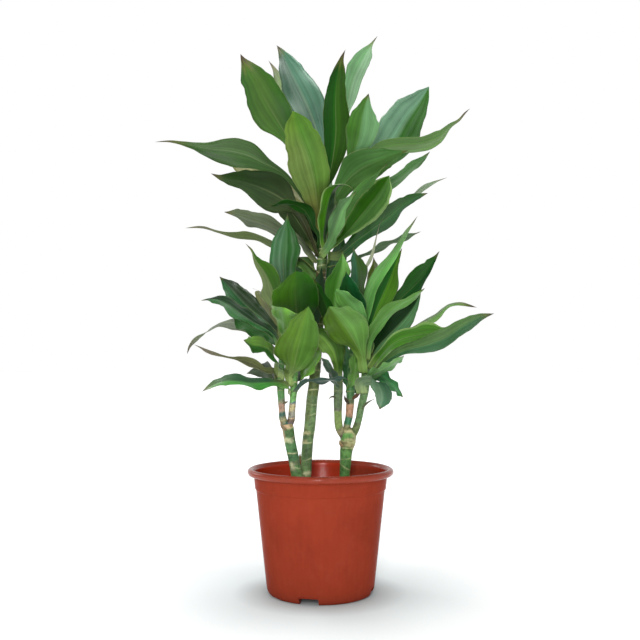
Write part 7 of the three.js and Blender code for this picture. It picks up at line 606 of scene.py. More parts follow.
# ------------------------------------------------------------------ canes
def bark_material():
    m, nt, b = material("cane_bark")
    L = nt.links.new
    tone = node(nt, "ShaderNodeAttribute", attribute_name="tone")
    pos = node(nt, "ShaderNodeTexCoord")
    mp = node(nt, "ShaderNodeMapping")
    mp.inputs["Scale"].default_value = (1.0, 1.0, 0.16)
    L(pos.outputs["Object"], mp.inputs[0])
    n1 = node(nt, "ShaderNodeTexNoise")          # long fibres
    n1.inputs["Scale"].default_value = 900.0
    n1.inputs["Detail"].default_value = 4.0
    n1.inputs["Roughness"].default_value = 0.65
    L(mp.outputs[0], n1.inputs["Vector"])
    n2 = node(nt, "ShaderNodeTexNoise")          # blotches
    n2.inputs["Scale"].default_value = 230.0
    n2.inputs["Detail"].default_value = 5.0
    L(pos.outputs["Object"], n2.inputs["Vector"])
    mz = node(nt, "ShaderNodeMapping")
    mz.inputs["Scale"].default_value = (0.25, 0.25, 1.0)
    L(pos.outputs["Object"], mz.inputs[0])
    n3 = node(nt, "ShaderNodeTexNoise")          # fine rings
    n3.inputs["Scale"].default_value = 620.0
    n3.inputs["Detail"].default_value = 2.0
    L(mz.outputs[0], n3.inputs["Vector"])
    c = mixc(nt, 1.0, tone.outputs[0], ramp(nt, n1.outputs[0], [(0.3, 0.84), (0.5, 1.0), (0.72, 1.14)]), "MULTIPLY")
    c = mixc(nt, 1.0, c, ramp(nt, n2.outputs[0], [(0.34, 0.62), (0.50, 1.0), (0.68, 1.18)]), "MULTIPLY")
    c = mixc(nt, 1.0, c, ramp(nt, n3.outputs[0], [(0.35, 0.90), (0.5, 1.0), (0.68, 1.07)]), "MULTIPLY")
    L(c, b.inputs["Base Color"])
    L(ramp(nt, n2.outputs[0], [(0.3, 0.36), (0.7, 0.56)]), b.inputs["Roughness"])
    b.inputs["Specular IOR Level"].default_value = 0.28
    b1 = node(nt, "ShaderNodeBump")
    b1.inputs["Strength"].default_value = 0.5
    b1.inputs["Distance"].default_value = 0.0004
    L(n1.outputs[0], b1.inputs["Height"])
    b2 = node(nt, "ShaderNodeBump")
    b2.inputs["Strength"].default_value = 0.5
    b2.inputs["Distance"].default_value = 0.0005
    L(n3.outputs[0], b2.inputs["Height"])
    L(b1.outputs[0], b2.inputs["Normal"])
    L(b2.outputs[0], b.inputs["Normal"])
    return m


BARK = bark_material()


def cane_tube(points, rings, tone, seed, down=0.0, sides=32, step=0.9):
    """points [x, y, z, r] upwards; rings are heights of leaf scars; tone(z, turn, rng) gives the colour"""
    rng = np.random.default_rng(seed)
    pts = [list(p) for p in points]
    if down:
        d = np.array(pts[0][:3]) - np.array(pts[1][:3])
        d = d / np.linalg.norm(d)
        reach = (pts[0][2] - down) / -d[2]
        pts.insert(0, list(np.array(pts[0][:3]) + d * reach) + [pts[0][3] * 0.95])
    P = np.array(pts)
    fine = spline(P[:, :3], 16)
    # radius rides along with the same parameter
    rad = []
    for i in range(len(P) - 1):
        for k in range(16):
            rad.append(P[i, 3] + (P[i + 1, 3] - P[i, 3]) * smooth(np.array(k / 16)))
    rad.append(P[-1, 3])
    rad = np.array(rad)
    seg = np.linalg.norm(np.diff(fine, axis=0), axis=1)
    run = np.concatenate([[0], np.cumsum(seg)])
    n = max(4, int(run[-1] / step))
    at = np.linspace(0, run[-1], n + 1)
    C = np.stack([np.interp(at, run, fine[:, k]) for k in range(3)], 1)
    R = np.interp(at, run, rad)
    T = unit(np.gradient(C, axis=0))
    A = np.tile(np.array([1.0, 0, 0]), (n + 1, 1))
    A = unit(A - (A * T).sum(1, keepdims=True) * T)
    B = np.cross(T, A)
    q = np.linspace(0, 2 * math.pi, sides, endpoint=False)
    rings = [r if isinstance(r, tuple) else (r, float(rng.uniform(-0.22, 0.22)), float(rng.uniform(-0.15, 0.25)), float(rng.uniform(0.45, 0.9)), float(rng.uniform(0.4, 0.7))) for r in rings]
    wand = rng.uniform(0, 6.28, (len(rings), 2))
    V = np.empty((n + 1, sides, 3))
    mark = np.zeros((n + 1, sides))
    for j, a in enumerate(q):
        z = C[:, 2]
        bump = np.zeros(n + 1)
        for k, rz in enumerate(rings):
            # a leaf scar runs slanted and a little wavy around the cane and fades in places
            x = z - rz[0] - rz[1] * R * math.cos(a) - rz[2] * R * math.sin(a) - 0.35 * math.sin(2 * a + wand[k, 0])
            bump += 0.030 * np.exp(-(x / 1.3) ** 2) - 0.022 * np.exp(-((x - 1.1) / 0.6) ** 2)
            fade = rz[3] * (0.62 + 0.38 * math.sin(1.6 * a + wand[k, 1]))
            mark[:, j] = np.maximum(mark[:, j], fade * np.exp(-(x / rz[4]) ** 2))
        lump = 0.02 * np.sin(3 * a + z * 0.11 + seed) + 0.014 * np.sin(5 * a - z * 0.23 + 2 * seed)
        r = R * (1 + bump + lump)
        V[:, j] = C + A * (r * math.cos(a))[:, None] + B * (r * math.sin(a))[:, None]
    col = np.empty((n + 1, sides, 3))
    for i in range(n + 1):
        for j in range(sides):
            col[i, j] = tone(C[i, 2], q[j], mark[i, j])
    verts = np.concatenate([V.reshape(-1, 3), C[:1] , C[-1:]])
    cols = np.concatenate([col.reshape(-1, 3), col[0, :1], col[-1, :1]])
    F = []
    for i in range(n):
        for j in range(sides):
            k = (j + 1) % sides
            F.append((i * sides + j, i * sides + k, (i + 1) * sides + k, (i + 1) * sides + j))
    a, b = (n + 1) * sides, (n + 1) * sides + 1
    for j in range(sides):
        k = (j + 1) % sides
        F.append((a, k, j))
        F.append((b, n * sides + j, n * sides + k))
    uv = np.zeros((len(verts), 2))
    uv[:, 0] = 0.25
    uv[:, 1] = 0.5
    return verts * MM, F, uv, cols


def cane_piece(name, tubes, leaves, scraps):
    V, F, UV, COL, MI, REL = [], [], [], [], [], []
    off = 0
    for arr in tubes:
        v, f, uv, c = arr
        V.append(v); UV.append(uv); COL.append(c); REL.append(np.ones(len(v)))
        F += [tuple(int(i) + off for i in q) for q in f]
        MI += [0] * len(f)
        off += len(v)
    for i, lf in enumerate(leaves + scraps):
        v, f, uv, c, rl = leaf_mesh(lf, 300 + i)
        V.append(v); UV.append(uv); COL.append(c); REL.append(rl)
        F += [tuple(int(k) + off for k in q) for q in f]
        MI += [1] * len(f)
        off += len(v)
    ob = new_mesh(name + "_grown", np.concatenate(V), F, BARK, np.concatenate(UV), np.concatenate(COL), relief=np.concatenate(REL))
    ob.data.materials.append(LEAF)
    ob.data.polygons.foreach_set("material_index", np.array(MI, dtype=np.int32))
    ride_piece(ob, name, "cane")
    return ob


def patchy(base, ring, bands=(), green=None, seed=0):
    """bark colour by height: base, ring colour at scars, and (low, high, colour, strength) bands"""
    rng = np.random.default_rng(seed)
    ph = rng.uniform(0, 6.28, 6)
    b0, r0 = lin(base), lin(ring)
    g0 = lin(green) if green else None
    # a band may keep to one side: mid and half width of the arc in degrees, 270 faces the front
    bl = [(b[0], b[1], lin(b[2]), b[3], b[4] if len(b) > 4 else 0.0, b[5] if len(b) > 5 else 360.0) for b in bands]

    def tone(z, a, mark):
        c = b0
        if g0 is not None:
            k = 0.5 + 0.5 * math.sin(z * 0.09 + ph[0] + 1.3 * math.sin(a + ph[1]))
            c = c * (1 - k) + g0 * k
        k = 0.5 + 0.5 * math.sin(z * 0.31 + 2 * a + ph[2]) * math.sin(z * 0.17 - a + ph[3])
        c = c * (0.86 + 0.28 * k)
        for lo, hi, cc, st, mid, wide in bl:
            soft = 0.9 * math.sin(2 * a + ph[4]) + 0.5 * math.sin(5 * a + ph[5])
            e = min(max((z + soft - lo) / 2.6 + 0.5, 0), 1) * min(max((hi - z - soft) / 2.6 + 0.5, 0), 1)
            if wide < 180:
                d = abs((math.degrees(a) - mid + 180.0) % 360.0 - 180.0)
                e *= min(max((wide - d) / 30.0 + 0.5, 0), 1)
            e *= st
            c = c * (1 - e) + cc * e
        return c * (1 - mark) + r0 * mark
    return tone


TONES = {
    'middle': {'base': (85, 111, 70), 'ring': (210, 208, 157), 'green': (105, 135, 83), 'seed': 3, 'bands': [(0, 152.9, (123, 134, 90), 0.5), (255.8, 383.5, (88, 99, 52), 0.75), (222.7, 253.2, (95, 108, 64), 0.75, 180, 95), (204.9, 209.5, (170, 163, 117), 0.85, 225, 60), (193.7, 198.3, (170, 163, 117), 0.8, 215, 50), (151.5, 156.8, (212, 210, 168), 0.7, 300, 50), (209.5, 218.8, (123, 123, 79), 0.4, 190, 60), (386.2, 407.6, (72, 79, 41), 0.8), (407.6, 423.6, (79, 57, 37), 0.85), (420.9, 434.1, (64, 81, 39), 0.6), (434.1, 451.3, (57, 95, 37), 0.8), (451.3, 510.2, (59, 81, 41), 0.8)]},
    'leftTrunk': {'base': (74, 119, 70), 'ring': (217, 210, 162), 'green': (98, 137, 81), 'seed': 4, 'bands': [(199.4, 214.3, (64, 93, 49), 0.8), (199.4, 215.0, (175, 147, 121), 0.9, 188, 34), (215.0, 222.1, (165, 136, 101), 0.8), (216.9, 219.5, (215, 175, 143), 0.8, 250, 40), (196.8, 202.6, (208, 206, 165), 0.6, 250, 60), (160.4, 172.1, (208, 206, 165), 0.75, 236, 26), (170.8, 182.5, (67, 106, 69), 0.6), (168.2, 173.4, (110, 99, 77), 0.5, 300, 50)]},
    'leftShootA': {'base': (52, 92, 75), 'ring': (177, 162, 124), 'green': (65, 104, 88), 'seed': 5, 'bands': [(221.5, 230.0, (145, 139, 99), 0.7), (235.9, 247.6, (164, 130, 110), 0.9), (247.6, 252.1, (133, 118, 86), 0.6), (252.8, 343.0, (93, 143, 70), 0.7)]},
    'leftShootB': {'base': (57, 75, 102), 'ring': (219, 198, 155), 'green': (69, 85, 111), 'seed': 6, 'bands': [(221.3, 228.5, (121, 98, 70), 0.8), (228.5, 237.0, (155, 152, 130), 0.8), (237.0, 246.1, (196, 182, 127), 0.8), (231.8, 234.4, (70, 61, 48), 0.8, 225, 40), (248.7, 343.1, (121, 182, 82), 0.75)]},
    'rightTrunk': {'base': (80, 126, 64), 'ring': (209, 209, 149), 'green': (99, 148, 76), 'seed': 7, 'bands': [(188.6, 196.5, (162, 156, 111), 0.95, 285, 75), (188.6, 196.5, (92, 90, 56), 0.7, 215, 45), (183.4, 188.6, (65, 94, 48), 0.6, 240, 70), (207.1, 211.7, (188, 177, 135), 0.9), (211.7, 216.3, (149, 137, 94), 0.8), (197.2, 199.8, (188, 173, 132), 0.8, 300, 60), (199.2, 207.1, (181, 162, 124), 0.75, 318, 14), (151.8, 182.0, (67, 99, 52), 0.7, 195, 42)]},
    'rightShootA': {'base': (87, 80, 81), 'ring': (179, 183, 128), 'green': (99, 95, 83), 'seed': 8, 'bands': [(207.5, 213.4, (162, 156, 111), 0.7), (214.2, 237.8, (118, 149, 67), 0.7), (240.5, 336.6, (81, 115, 60), 0.6)]},
    'rightShootB': {'base': (51, 110, 77), 'ring': (190, 163, 124), 'green': (60, 119, 82), 'seed': 9, 'bands': [(209.5, 218.0, (155, 145, 105), 0.75), (228.6, 245.8, (180, 136, 108), 0.92), (245.7, 253.0, (108, 97, 64), 0.6), (253.0, 337.0, (73, 114, 56), 0.7)]},
    'rightShootC': {'base': (93, 105, 75), 'ring': (143, 157, 107), 'green': (84, 98, 60), 'seed': 11, 'bands': [(199.4, 219.1, (98, 116, 62), 0.5), (222.0, 336.6, (85, 134, 74), 0.5)]},
}
PARTS = {
    "cane_left": ["leftTrunk", "leftShootA", "leftShootB"],
    "cane_middle": ["middle"],
    "cane_right": ["rightTrunk", "rightShootA", "rightShootB", "rightShootC"],
}
for name, parts in PARTS.items():
    tubes = []
    for i, part in enumerate(parts):
        tubes.append(cane_tube(CANES[part], RINGS[part], patchy(**TONES[part]), 10 + len(part) + i,
                               down=66.0 if i == 0 else 0.0))
    cane_piece(name, tubes, [lf for lf in SMALL_LEAVES if lf["on"] == name], [s for s in SCRAPS if s["on"] == name])

# ------------------------------------------------------------------ pot
def pot_material():
    m, nt, b = material("pot_plastic")
    L = nt.links.new
    pos = node(nt, "ShaderNodeTexCoord")
    n1 = node(nt, "ShaderNodeTexNoise")
    n1.inputs["Scale"].default_value = 16.0
    n1.inputs["Detail"].default_value = 5.0
    n1.inputs["Roughness"].default_value = 0.6
    L(pos.outputs["Object"], n1.inputs["Vector"])
    n2 = node(nt, "ShaderNodeTexNoise")          # moulded grain
    n2.inputs["Scale"].default_value = 1500.0
    n2.inputs["Detail"].default_value = 2.0
    L(pos.outputs["Object"], n2.inputs["Vector"])
    # faint draw lines from the mould run up the wall, so the height is squeezed
    mp = node(nt, "ShaderNodeMapping")
    mp.inputs["Scale"].default_value = (1.0, 1.0, 0.02)
    L(pos.outputs["Object"], mp.inputs[0])
    n3 = node(nt, "ShaderNodeTexNoise")
    n3.inputs["Scale"].default_value = 260.0
    n3.inputs["Detail"].default_value = 2.0
    L(mp.outputs[0], n3.inputs["Vector"])
    n4 = node(nt, "ShaderNodeTexNoise")          # dust and scuffs
    n4.inputs["Scale"].default_value = 90.0
    n4.inputs["Detail"].default_value = 6.0
    n4.inputs["Roughness"].default_value = 0.7
    L(pos.outputs["Object"], n4.inputs["Vector"])
    base = tuple(lin(POT["wall"]))
    c = mixc(nt, 1.0, base, ramp(nt, n1.outputs[0], [(0.3, 0.96), (0.5, 1.0), (0.7, 1.035)]), "MULTIPLY")
    c = mixc(nt, 1.0, c, ramp(nt, n3.outputs[0], [(0.3, 0.97), (0.5, 1.0), (0.7, 1.035)]), "MULTIPLY")
    dust = ramp(nt, n4.outputs[0], [(0.50, 0.0), (0.78, 0.05)])
    c = mixc(nt, dust, c, tuple(lin((176, 120, 100))))
    # painted shade: the colour darkens towards the floor over the lowest 16 mm, at the foot
    sep = node(nt, "ShaderNodeSeparateXYZ")
    L(pos.outputs["Object"], sep.inputs[0])
    low = maprange(nt, sep.outputs[2], 0.0, 0.016, 0.25, 0.0)
    c = mixc(nt, low, c, tuple(lin((92, 40, 28))))
    r = ramp(nt, n1.outputs[0], [(0.3, POT["rough"] - 0.04), (0.7, POT["rough"] + 0.05)])
    r = math_(nt, "ADD", r, math_(nt, "MULTIPLY", n4.outputs[0], 0.08))
    L(r, b.inputs["Roughness"])
    # the outside is scuffed matt by handling, the rim and the inside keep the shine of the mould
    flat = node(nt, "ShaderNodeVectorMath", operation="MULTIPLY")
    L(pos.outputs["Object"], flat.inputs[0])
    flat.inputs[1].default_value = (1.0, 1.0, 0.0)
    rad = node(nt, "ShaderNodeVectorMath", operation="LENGTH")
    L(flat.outputs[0], rad.inputs[0])
    skin = math_(nt, "MULTIPLY", sep.outputs[2], (STEP_BL - WBOT) / (STEP_Z - 8.0))
    skin = math_(nt, "ADD", skin, (WBOT - 8.0 * (STEP_BL - WBOT) / (STEP_Z - 8.0)) / 1000.0)
    depth = math_(nt, "SUBTRACT", skin, rad.outputs["Value"])
    inside = maprange(nt, depth, 0.0003, 0.0010, 0.0, 1.0)
    # the foot under the wall is outside too
    inside = math_(nt, "MULTIPLY", inside, maprange(nt, sep.outputs[2], 0.0090, 0.0105, 0.0, 1.0))
    lip = maprange(nt, sep.outputs[2], 0.1520, 0.1545, 0.0, 1.0)
    shine = math_(nt, "MAXIMUM", inside, math_(nt, "MULTIPLY", lip, 0.6))
    spec = math_(nt, "ADD", math_(nt, "MULTIPLY", shine, POT["spec"] - POT["matt"]), POT["matt"])
    L(spec, b.inputs["Specular IOR Level"])
    # painted light: the well takes the brighter, more saturated inside colour in place of the wall's own
    well = mixc(nt, inside, c, tuple(lin(POT["inside"])))
    well = mixc(nt, 1.0, well, ramp(nt, n1.outputs[0], [(0.3, 0.94), (0.5, 1.0), (0.7, 1.05)]), "MULTIPLY")
    L(well, b.inputs["Base Color"])
    b1 = node(nt, "ShaderNodeBump")
    b1.inputs["Strength"].default_value = 0.16
    b1.inputs["Distance"].default_value = 0.00012
    L(n2.outputs[0], b1.inputs["Height"])
    b2 = node(nt, "ShaderNodeBump")
    b2.inputs["Strength"].default_value = 0.25
    b2.inputs["Distance"].default_value = 0.00025
    L(n3.outputs[0], b2.inputs["Height"])
    L(b1.outputs[0], b2.inputs["Normal"])
    L(b2.outputs[0], b.inputs["Normal"])
    return m


WALL_T, RIM_R, RIM_Z, RIM_B, WTOP = 1.8, 96.1, 162.0, 153.0, 87.6
STEP_Z, STEP_A, STEP_BL, WBOT, FOOT, FIN, HUB, CHAN = 135.0, 85.9, 84.6, 70.7, 65.6, 58.0, 36.0, 9.0


POT_MAT = pot_material()


def inner_r(z):
    return WBOT + (STEP_BL - WBOT) / (STEP_Z - 8) * (z - 8) - WALL_T


def rounded(profile, radii, k=5):
    """replaces each marked corner with a short curve"""
    out = []
    n = len(profile)
    for i, p in enumerate(profile):
        r = radii.get(i, 0)
        if not r or i in (0, n - 1):
            out.append(p)
            continue
        a, b, c = np.array(profile[i - 1], float), np.array(p, float), np.array(profile[i + 1], float)
        la, lc = np.linalg.norm(a - b), np.linalg.norm(c - b)
        t = min(r, la * 0.45, lc * 0.45)
        s, e = b + (a - b) / la * t, b + (c - b) / lc * t
        for j in range(k + 1):
            u = j / k
            q = (1 - u) ** 2 * s + 2 * u * (1 - u) * b + u * u * e
            out.append((float(q[0]), float(q[1])))
    return out


pot_profile = [
    (0, 0), (HUB, 0), (HUB + 3, CHAN), (FIN - 2, CHAN), (FIN, 0), (FOOT, 0),
    (FOOT + 2.6, 1.6), (FOOT + 4.2, 4.4), (WBOT, 8),
    (STEP_BL, STEP_Z - 1), (STEP_A, STEP_Z + 0.5), (WTOP, RIM_B - 2),
    (WTOP + 1.2, RIM_B + 0.4), (RIM_R - 2.6, RIM_B), (RIM_R - 0.6, RIM_B + 1.8),
    (RIM_R, RIM_B + 4.6), (RIM_R - 0.8, RIM_Z - 2.2), (RIM_R - 3, RIM_Z - 0.4),
    (RIM_R - 5.2, RIM_Z), (RIM_R - 7.4, RIM_Z - 1.2), (WTOP - WALL_T + 0.6, RIM_Z - 4.2),
    (WTOP - WALL_T, RIM_B - 3), (STEP_A - WALL_T, STEP_Z + 1.5), (STEP_BL - WALL_T, STEP_Z - 0.5),
    (inner_r(12.5), 12.5), (FOOT + 0.4, CHAN + 2), (HUB + 2, CHAN + 2), (HUB - 1, 2), (0, 2),
]
pot_round = {1: 1.2, 2: 1.0, 3: 1.0, 4: 1.0, 5: 1.2, 6: 1.5, 7: 2.0, 8: 4.0, 9: 0.8, 10: 0.8, 11: 1.2, 12: 0.6,
             13: 1.2, 14: 1.4, 15: 2.0, 16: 1.6, 17: 1.3, 18: 1.3, 19: 1.3, 20: 2.0, 21: 4.0, 22: 1.0, 23: 1.0,
             24: 3.0, 25: 1.0, 26: 1.0, 27: 1.0}


def lathe(profile, sides, wobble=None):
    """closed lathe; profile runs from the axis under to the axis above"""
    n = len(profile)
    V = [(0.0, 0.0, profile[0][1])]
    ring = []
    for (r, z) in profile[1:-1]:
        ids = []
        for j in range(sides):
            a = 2 * math.pi * j / sides
            rr, zz = (r, z) if wobble is None else wobble(r, z, a)
            ids.append(len(V))
            V.append((rr * math.cos(a), rr * math.sin(a), zz))
        ring.append(ids)
    V.append((0.0, 0.0, profile[-1][1]))
    F = []
    for j in range(sides):
        k = (j + 1) % sides
        F.append((0, ring[0][k], ring[0][j]))
        F.append((len(V) - 1, ring[-1][j], ring[-1][k]))
    for a, b in zip(ring, ring[1:]):
        for j in range(sides):
            k = (j + 1) % sides
            F.append((a[j], a[k], b[k], b[j]))
    return np.array(V) * MM, F


def pot_wobble(r, z, a):
    # a blow moulded wall is never quite round
    k = min(max((z - 8) / 120, 0), 1)
    return r + 0.18 * k * math.sin(2 * a + 0.6) + 0.09 * k * math.sin(5 * a + z * 0.02), z


Vp, Fp = lathe(rounded(pot_profile, pot_round), 180, pot_wobble)
pot = new_mesh("pot_shell", Vp, Fp, POT_MAT)
cutters = []


def cutter(name, verts, faces):
    ob = new_mesh(name, np.array(verts), faces, POT_MAT, shade=False)
    cutters.append(ob)
    md = pot.modifiers.new(name, "BOOLEAN")
    md.operation = "DIFFERENCE"
    md.solver = "EXACT"
    md.object = ob


def drum(r, z0, z1, cx, cy, sides=28):
    V, F = [], []
    for z in (z0, z1):
        for j in range(sides):
            a = 2 * math.pi * j / sides
            V.append(((cx + r * math.cos(a)) * MM, (cy + r * math.sin(a)) * MM, z * MM))
    F.append(tuple(range(sides - 1, -1, -1)))
    F.append(tuple(range(sides, 2 * sides)))
    for j in range(sides):
        k = (j + 1) % sides
        F.append((j, k, sides + k, sides + j))
    return V, F


allV, allF, highV, highF = [], [], [], []
for i in range(8):
    a = 2 * math.pi * (i + 0.5) / 8
    V, F = drum(5.0, CHAN - 6, CHAN + 6, 47.5 * math.cos(a), 47.5 * math.sin(a))
    o = len(allV)
    allV += V
    allF += [tuple(k + o for k in f) for f in F]
for i in range(4):
    a = math.radians(-102.5 + 90 * i)
    x, y = np.array([math.cos(a), math.sin(a)]), np.array([-math.sin(a), math.cos(a)])
    prof = [(-12.5, -5.0), (12.5, -5.0), (12.5, 6.0), (11.8, 7.3), (10.4, 7.8), (-10.4, 7.8), (-11.8, 7.3), (-12.5, 6.0)]
    high = [(u * 1.008, z + 3.0 if z > 0 else z - 1) for (u, z) in prof]
    # the notch opens the foot ring, and above it a shallow recess goes on up the wall
    for toV, toF, outline, near, reach in ((allV, allF, prof, FOOT - 10, FOOT + 8), (highV, highF, high, FOOT + 1.8, FOOT + 9)):
        o = len(toV)
        for d in (near, reach):
            for (u, z) in outline:
                p = x * d + y * u
                toV.append((p[0] * MM, p[1] * MM, z * MM))
        m = len(outline)
        toF.append(tuple(o + k for k in range(m - 1, -1, -1)))
        toF.append(tuple(o + m + k for k in range(m)))
        for k in range(m):
            kk = (k + 1) % m
            toF.append((o + k, o + kk, o + m + kk, o + m + k))
cutter("cuts", allV, allF)
cutter("recess", highV, highF)
bpy.context.view_layer.update()
made = bpy.data.meshes.new_from_object(pot.evaluated_get(bpy.context.evaluated_depsgraph_get()))
pot.modifiers.clear()
pot.data = made
for c in cutters:
    bpy.data.objects.remove(c)
pot.data.polygons.foreach_set("use_smooth", np.ones(len(pot.data.polygons), dtype=bool))
pot.data.set_sharp_from_angle(angle=math.radians(38))
ride_piece(pot, "nursery_pot", "pot")

# ------------------------------------------------------------------ soil
def soil_material():
    m, nt, b = material("potting_mix")
    L = nt.links.new
    pos = node(nt, "ShaderNodeTexCoord")
    n1 = node(nt, "ShaderNodeTexNoise")
    n1.inputs["Scale"].default_value = 120.0
    n1.inputs["Detail"].default_value = 8.0
    n1.inputs["Roughness"].default_value = 0.7
    L(pos.outputs["Object"], n1.inputs["Vector"])
    v = node(nt, "ShaderNodeTexVoronoi")
    v.inputs["Scale"].default_value = 420.0
    L(pos.outputs["Object"], v.inputs["Vector"])
    tone = node(nt, "ShaderNodeAttribute", attribute_name="tone")
    c = mixc(nt, 1.0, tone.outputs[0], ramp(nt, n1.outputs[0], [(0.3, 0.5), (0.55, 1.0), (0.75, 1.5)]), "MULTIPLY")
    c = mixc(nt, 1.0, c, ramp(nt, v.outputs["Distance"], [(0.1, 1.15), (0.5, 0.8)]), "MULTIPLY")
    L(c, b.inputs["Base Color"])
    b.inputs["Roughness"].default_value = 0.93
    b.inputs["Specular IOR Level"].default_value = 0.25
    b1 = node(nt, "ShaderNodeBump")
    b1.inputs["Strength"].default_value = 0.8
    b1.inputs["Distance"].default_value = 0.001
    L(n1.outputs[0], b1.inputs["Height"])
    b2 = node(nt, "ShaderNodeBump")
    b2.inputs["Strength"].default_value = 0.6
    b2.inputs["Distance"].default_value = 0.0006
    L(v.outputs["Distance"], b2.inputs["Height"])
    L(b1.outputs[0], b2.inputs["Normal"])
    L(b2.outputs[0], b.inputs["Normal"])
    return m


SOIL_MAT = soil_material()
SOIL_TOP = 132.0
sr = np.random.default_rng(7)
waves = [(sr.uniform(0.02, 0.30), sr.uniform(0, 6.28), sr.uniform(0, 6.28), sr.uniform(0.3, 1.0)) for _ in range(40)]


def soil_height(x, y):
    r = math.hypot(x, y)
    h = np.interp(r, [0, 16, 38, 60, 74, 81], [0.8, 0.4, 1.4, -0.2, -1.2, -2.4])
    for f, p, d, a in waves:
        h += 0.22 * a / (1 + 5 * f) * math.sin(f * (x * math.cos(d) + y * math.sin(d)) + p) * 1.6
    return SOIL_TOP + h


def soil_piece():
    sides, rings = 120, 52
    rtop = inner_r(SOIL_TOP - 2.5) - 0.35
    V = [(0, 0, soil_height(0, 0))]
    idx = []
    for i in range(1, rings + 1):
        r = rtop * i / rings
        row = []
        for j in range(sides):
            a = 2 * math.pi * j / sides
            jr = r if i == rings else r + sr.uniform(-0.4, 0.4)
            x, y = jr * math.cos(a), jr * math.sin(a)
            row.append(len(V))
            V.append((x, y, soil_height(x, y) + (sr.uniform(-0.35, 0.35) if i < rings else -0.3)))
        idx.append(row)
    F = []
    for j in range(sides):
        F.append((0, idx[0][j], idx[0][(j + 1) % sides]))
    for a, b in zip(idx, idx[1:]):
        for j in range(sides):
            k = (j + 1) % sides
            F.append((a[j], b[j], b[k], a[k]))
    last = idx[-1]
    for (r, z) in ((inner_r(125) - 0.4, 125.0), (inner_r(70) - 0.4, 70.0), (inner_r(13.5) - 0.8, 13.5), (FOOT - 3, CHAN + 2.4)):
        row = []
        for j in range(sides):
            a = 2 * math.pi * j / sides
            row.append(len(V))
            V.append((r * math.cos(a), r * math.sin(a), z))
        for j in range(sides):
            k = (j + 1) % sides
            F.append((last[j], row[j], row[k], last[k]))
        last = row
    V.append((0, 0, CHAN + 2.4))
    for j in range(sides):
        F.append((len(V) - 1, last[(j + 1) % sides], last[j]))
    col = [lin((62, 44, 32))] * len(V)
    # crumbs, bark chips and a little perlite
    stems = [(c[0][0], c[0][1], c[0][3]) for c in (CANES["leftTrunk"], CANES["middle"], CANES["rightTrunk"])]
    ico = [(0, 0, -1), (0.72, -0.53, -0.45), (-0.28, -0.85, -0.45), (-0.89, 0, -0.45), (-0.28, 0.85, -0.45), (0.72, 0.53, -0.45),
           (0.28, -0.85, 0.45), (-0.72, -0.53, 0.45), (-0.72, 0.53, 0.45), (0.28, 0.85, 0.45), (0.89, 0, 0.45), (0, 0, 1)]
    tri = [(0, 1, 2), (1, 0, 5), (0, 2, 3), (0, 3, 4), (0, 4, 5), (1, 5, 10), (2, 1, 6), (3, 2, 7), (4, 3, 8), (5, 4, 9),
           (1, 10, 6), (2, 6, 7), (3, 7, 8), (4, 8, 9), (5, 9, 10), (6, 10, 11), (7, 6, 11), (8, 7, 11), (9, 8, 11), (10, 9, 11)]
    for k in range(1500):
        r = (rtop - 4) * math.sqrt(sr.uniform(0, 1))
        a = sr.uniform(0, 6.2832)
        x, y = r * math.cos(a), r * math.sin(a)
        if any(math.hypot(x - sx, y - sy) < rad + 3.5 for sx, sy, rad in stems):
            continue
        kind = sr.uniform()
        if kind < 0.05:
            size, c = sr.uniform(0.8, 1.5), lin((205, 200, 188))
        elif kind < 0.3:
            size, c = sr.uniform(1.2, 3.2), lin((96, 66, 44)) * sr.uniform(0.7, 1.2)
        else:
            size, c = sr.uniform(0.7, 2.0), lin((60, 43, 31)) * sr.uniform(0.6, 1.4)
        flat = sr.uniform(0.35, 0.9)
        sx, sy = size * sr.uniform(0.7, 1.4), size * sr.uniform(0.5, 1.0)
        t = sr.uniform(0, 6.28)
        z0 = soil_height(x, y)
        o = len(V)
        for (u, v, w) in ico:
            j = sr.uniform(0.8, 1.2)
            uu, vv, ww = u * sx * j, v * sy * j, w * size * flat * j
            V.append((x + uu * math.cos(t) - vv * math.sin(t), y + uu * math.sin(t) + vv * math.cos(t), z0 + ww + size * flat * 0.35))
            col.append(c)
        F += [tuple(o + i for i in f) for f in tri]
    return np.array(V) * MM, F, np.array(col)


Vs, Fs, Cs = soil_piece()
soil = new_mesh("soil_bed", Vs, Fs, SOIL_MAT, None, Cs)
ride_piece(soil, "potting_soil", "soil")

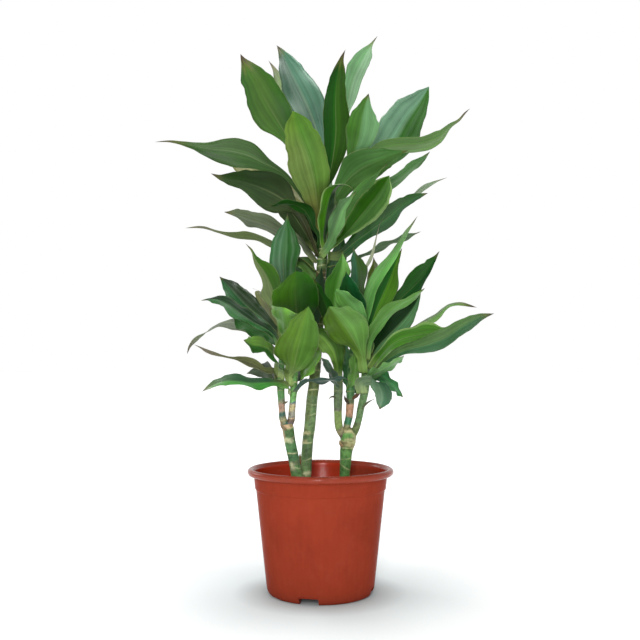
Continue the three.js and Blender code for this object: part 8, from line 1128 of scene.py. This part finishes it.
# ------------------------------------------------------------------ floor and light
def floor():
    m, nt, b = material("floor_paper")
    pos = node(nt, "ShaderNodeTexCoord")
    n1 = node(nt, "ShaderNodeTexNoise")
    n1.inputs["Scale"].default_value = 6.0
    nt.links.new(pos.outputs["Object"], n1.inputs["Vector"])
    c = mixc(nt, 1.0, (LIGHT["floor"],) * 3, ramp(nt, n1.outputs[0], [(0.3, 0.995), (0.7, 1.0)]), "MULTIPLY")
    flat = node(nt, "ShaderNodeVectorMath", operation="MULTIPLY")
    nt.links.new(pos.outputs["Object"], flat.inputs[0])
    flat.inputs[1].default_value = (1.0, 1.0, 0.0)
    far = node(nt, "ShaderNodeVectorMath", operation="LENGTH")
    nt.links.new(flat.outputs[0], far.inputs[0])
    # painted shade: a touch of cool tint in the floor's colour by the foot of the pot, against the red light the pot
    # throws back
    near = maprange(nt, far.outputs["Value"], 0.10, 0.26, 1.0, 0.0)
    c = mixc(nt, near, c, mixc(nt, 1.0, c, tuple(LIGHT["painted_cool_tint"]), "MULTIPLY"))
    # painted shadow: the floor's colour darkens close round the foot of the pot
    painted_contact_shadow = maprange(nt, far.outputs["Value"], 0.070, LIGHT["shade"][0], LIGHT["shade"][1], 1.0)
    c = mixc(nt, 1.0, c, painted_contact_shadow, "MULTIPLY")
    nt.links.new(c, b.inputs["Base Color"])
    b.inputs["Roughness"].default_value = 0.9
    b.inputs["Specular IOR Level"].default_value = 0.1
    # the paper glows a little away from the pot, so that it meets the white backdrop without a line
    glow = maprange(nt, far.outputs["Value"], LIGHT["glow"][0], LIGHT["glow"][1], LIGHT["glow"][2], LIGHT["glow"][3])
    b.inputs["Emission Color"].default_value = (1.0, 1.0, 1.0, 1.0)
    nt.links.new(glow, b.inputs["Emission Strength"])
    s, k = 14.0, 24
    V = [((-s + 2 * s * i / k), (-s + 2 * s * j / k), 0.0) for j in range(k + 1) for i in range(k + 1)]
    F = [(j * (k + 1) + i, j * (k + 1) + i + 1, (j + 1) * (k + 1) + i + 1, (j + 1) * (k + 1) + i) for j in range(k) for i in range(k)]
    ob = new_mesh("floor", np.array(V), F, m)


floor()


def area(name, loc, target, size, power, colour=(1, 1, 1), size_y=None):
    d = bpy.data.lights.new(name, "AREA")
    d.shape = "RECTANGLE"
    d.size, d.size_y = size, size_y or size
    d.energy = power
    d.color = colour
    o = bpy.data.objects.new(name, d)
    o.location = loc
    o.rotation_euler = (Vector(target) - Vector(loc)).to_track_quat("-Z", "Y").to_euler()
    scene.collection.objects.link(o)


for row in LIGHT["areas"]:
    area(*row)

world = bpy.data.worlds.new("studio")
world.use_nodes = True
scene.world = world
wn = world.node_tree
bg = wn.nodes["Background"]
tc = wn.nodes.new("ShaderNodeTexCoord")
sp = wn.nodes.new("ShaderNodeSeparateXYZ")
wn.links.new(tc.outputs["Generated"], sp.inputs[0])
rp = wn.nodes.new("ShaderNodeValToRGB")
els = rp.color_ramp.elements
while len(els) < len(LIGHT["sky"]):
    els.new(0.5)
for e, (p, c) in zip(els, LIGHT["sky"]):
    e.position = p
    e.color = (c[0], c[1], c[2], 1)
wn.links.new(sp.outputs[2], rp.inputs[0])
# a white screen stands behind the plant, and the rest of the studio is dimmer
screen = maprange(wn, sp.outputs[1], 0.55, 0.86, LIGHT["side"], 1.0)
sky = mixc(wn, 1.0, rp.outputs[0], screen, "MULTIPLY")
wn.links.new(sky, bg.inputs[0])
bg.inputs[1].default_value = LIGHT["world"]

scene.view_settings.view_transform = "Standard"
scene.view_settings.look = "None"
scene.view_settings.exposure = 0.0
scene.view_settings.gamma = 1.0
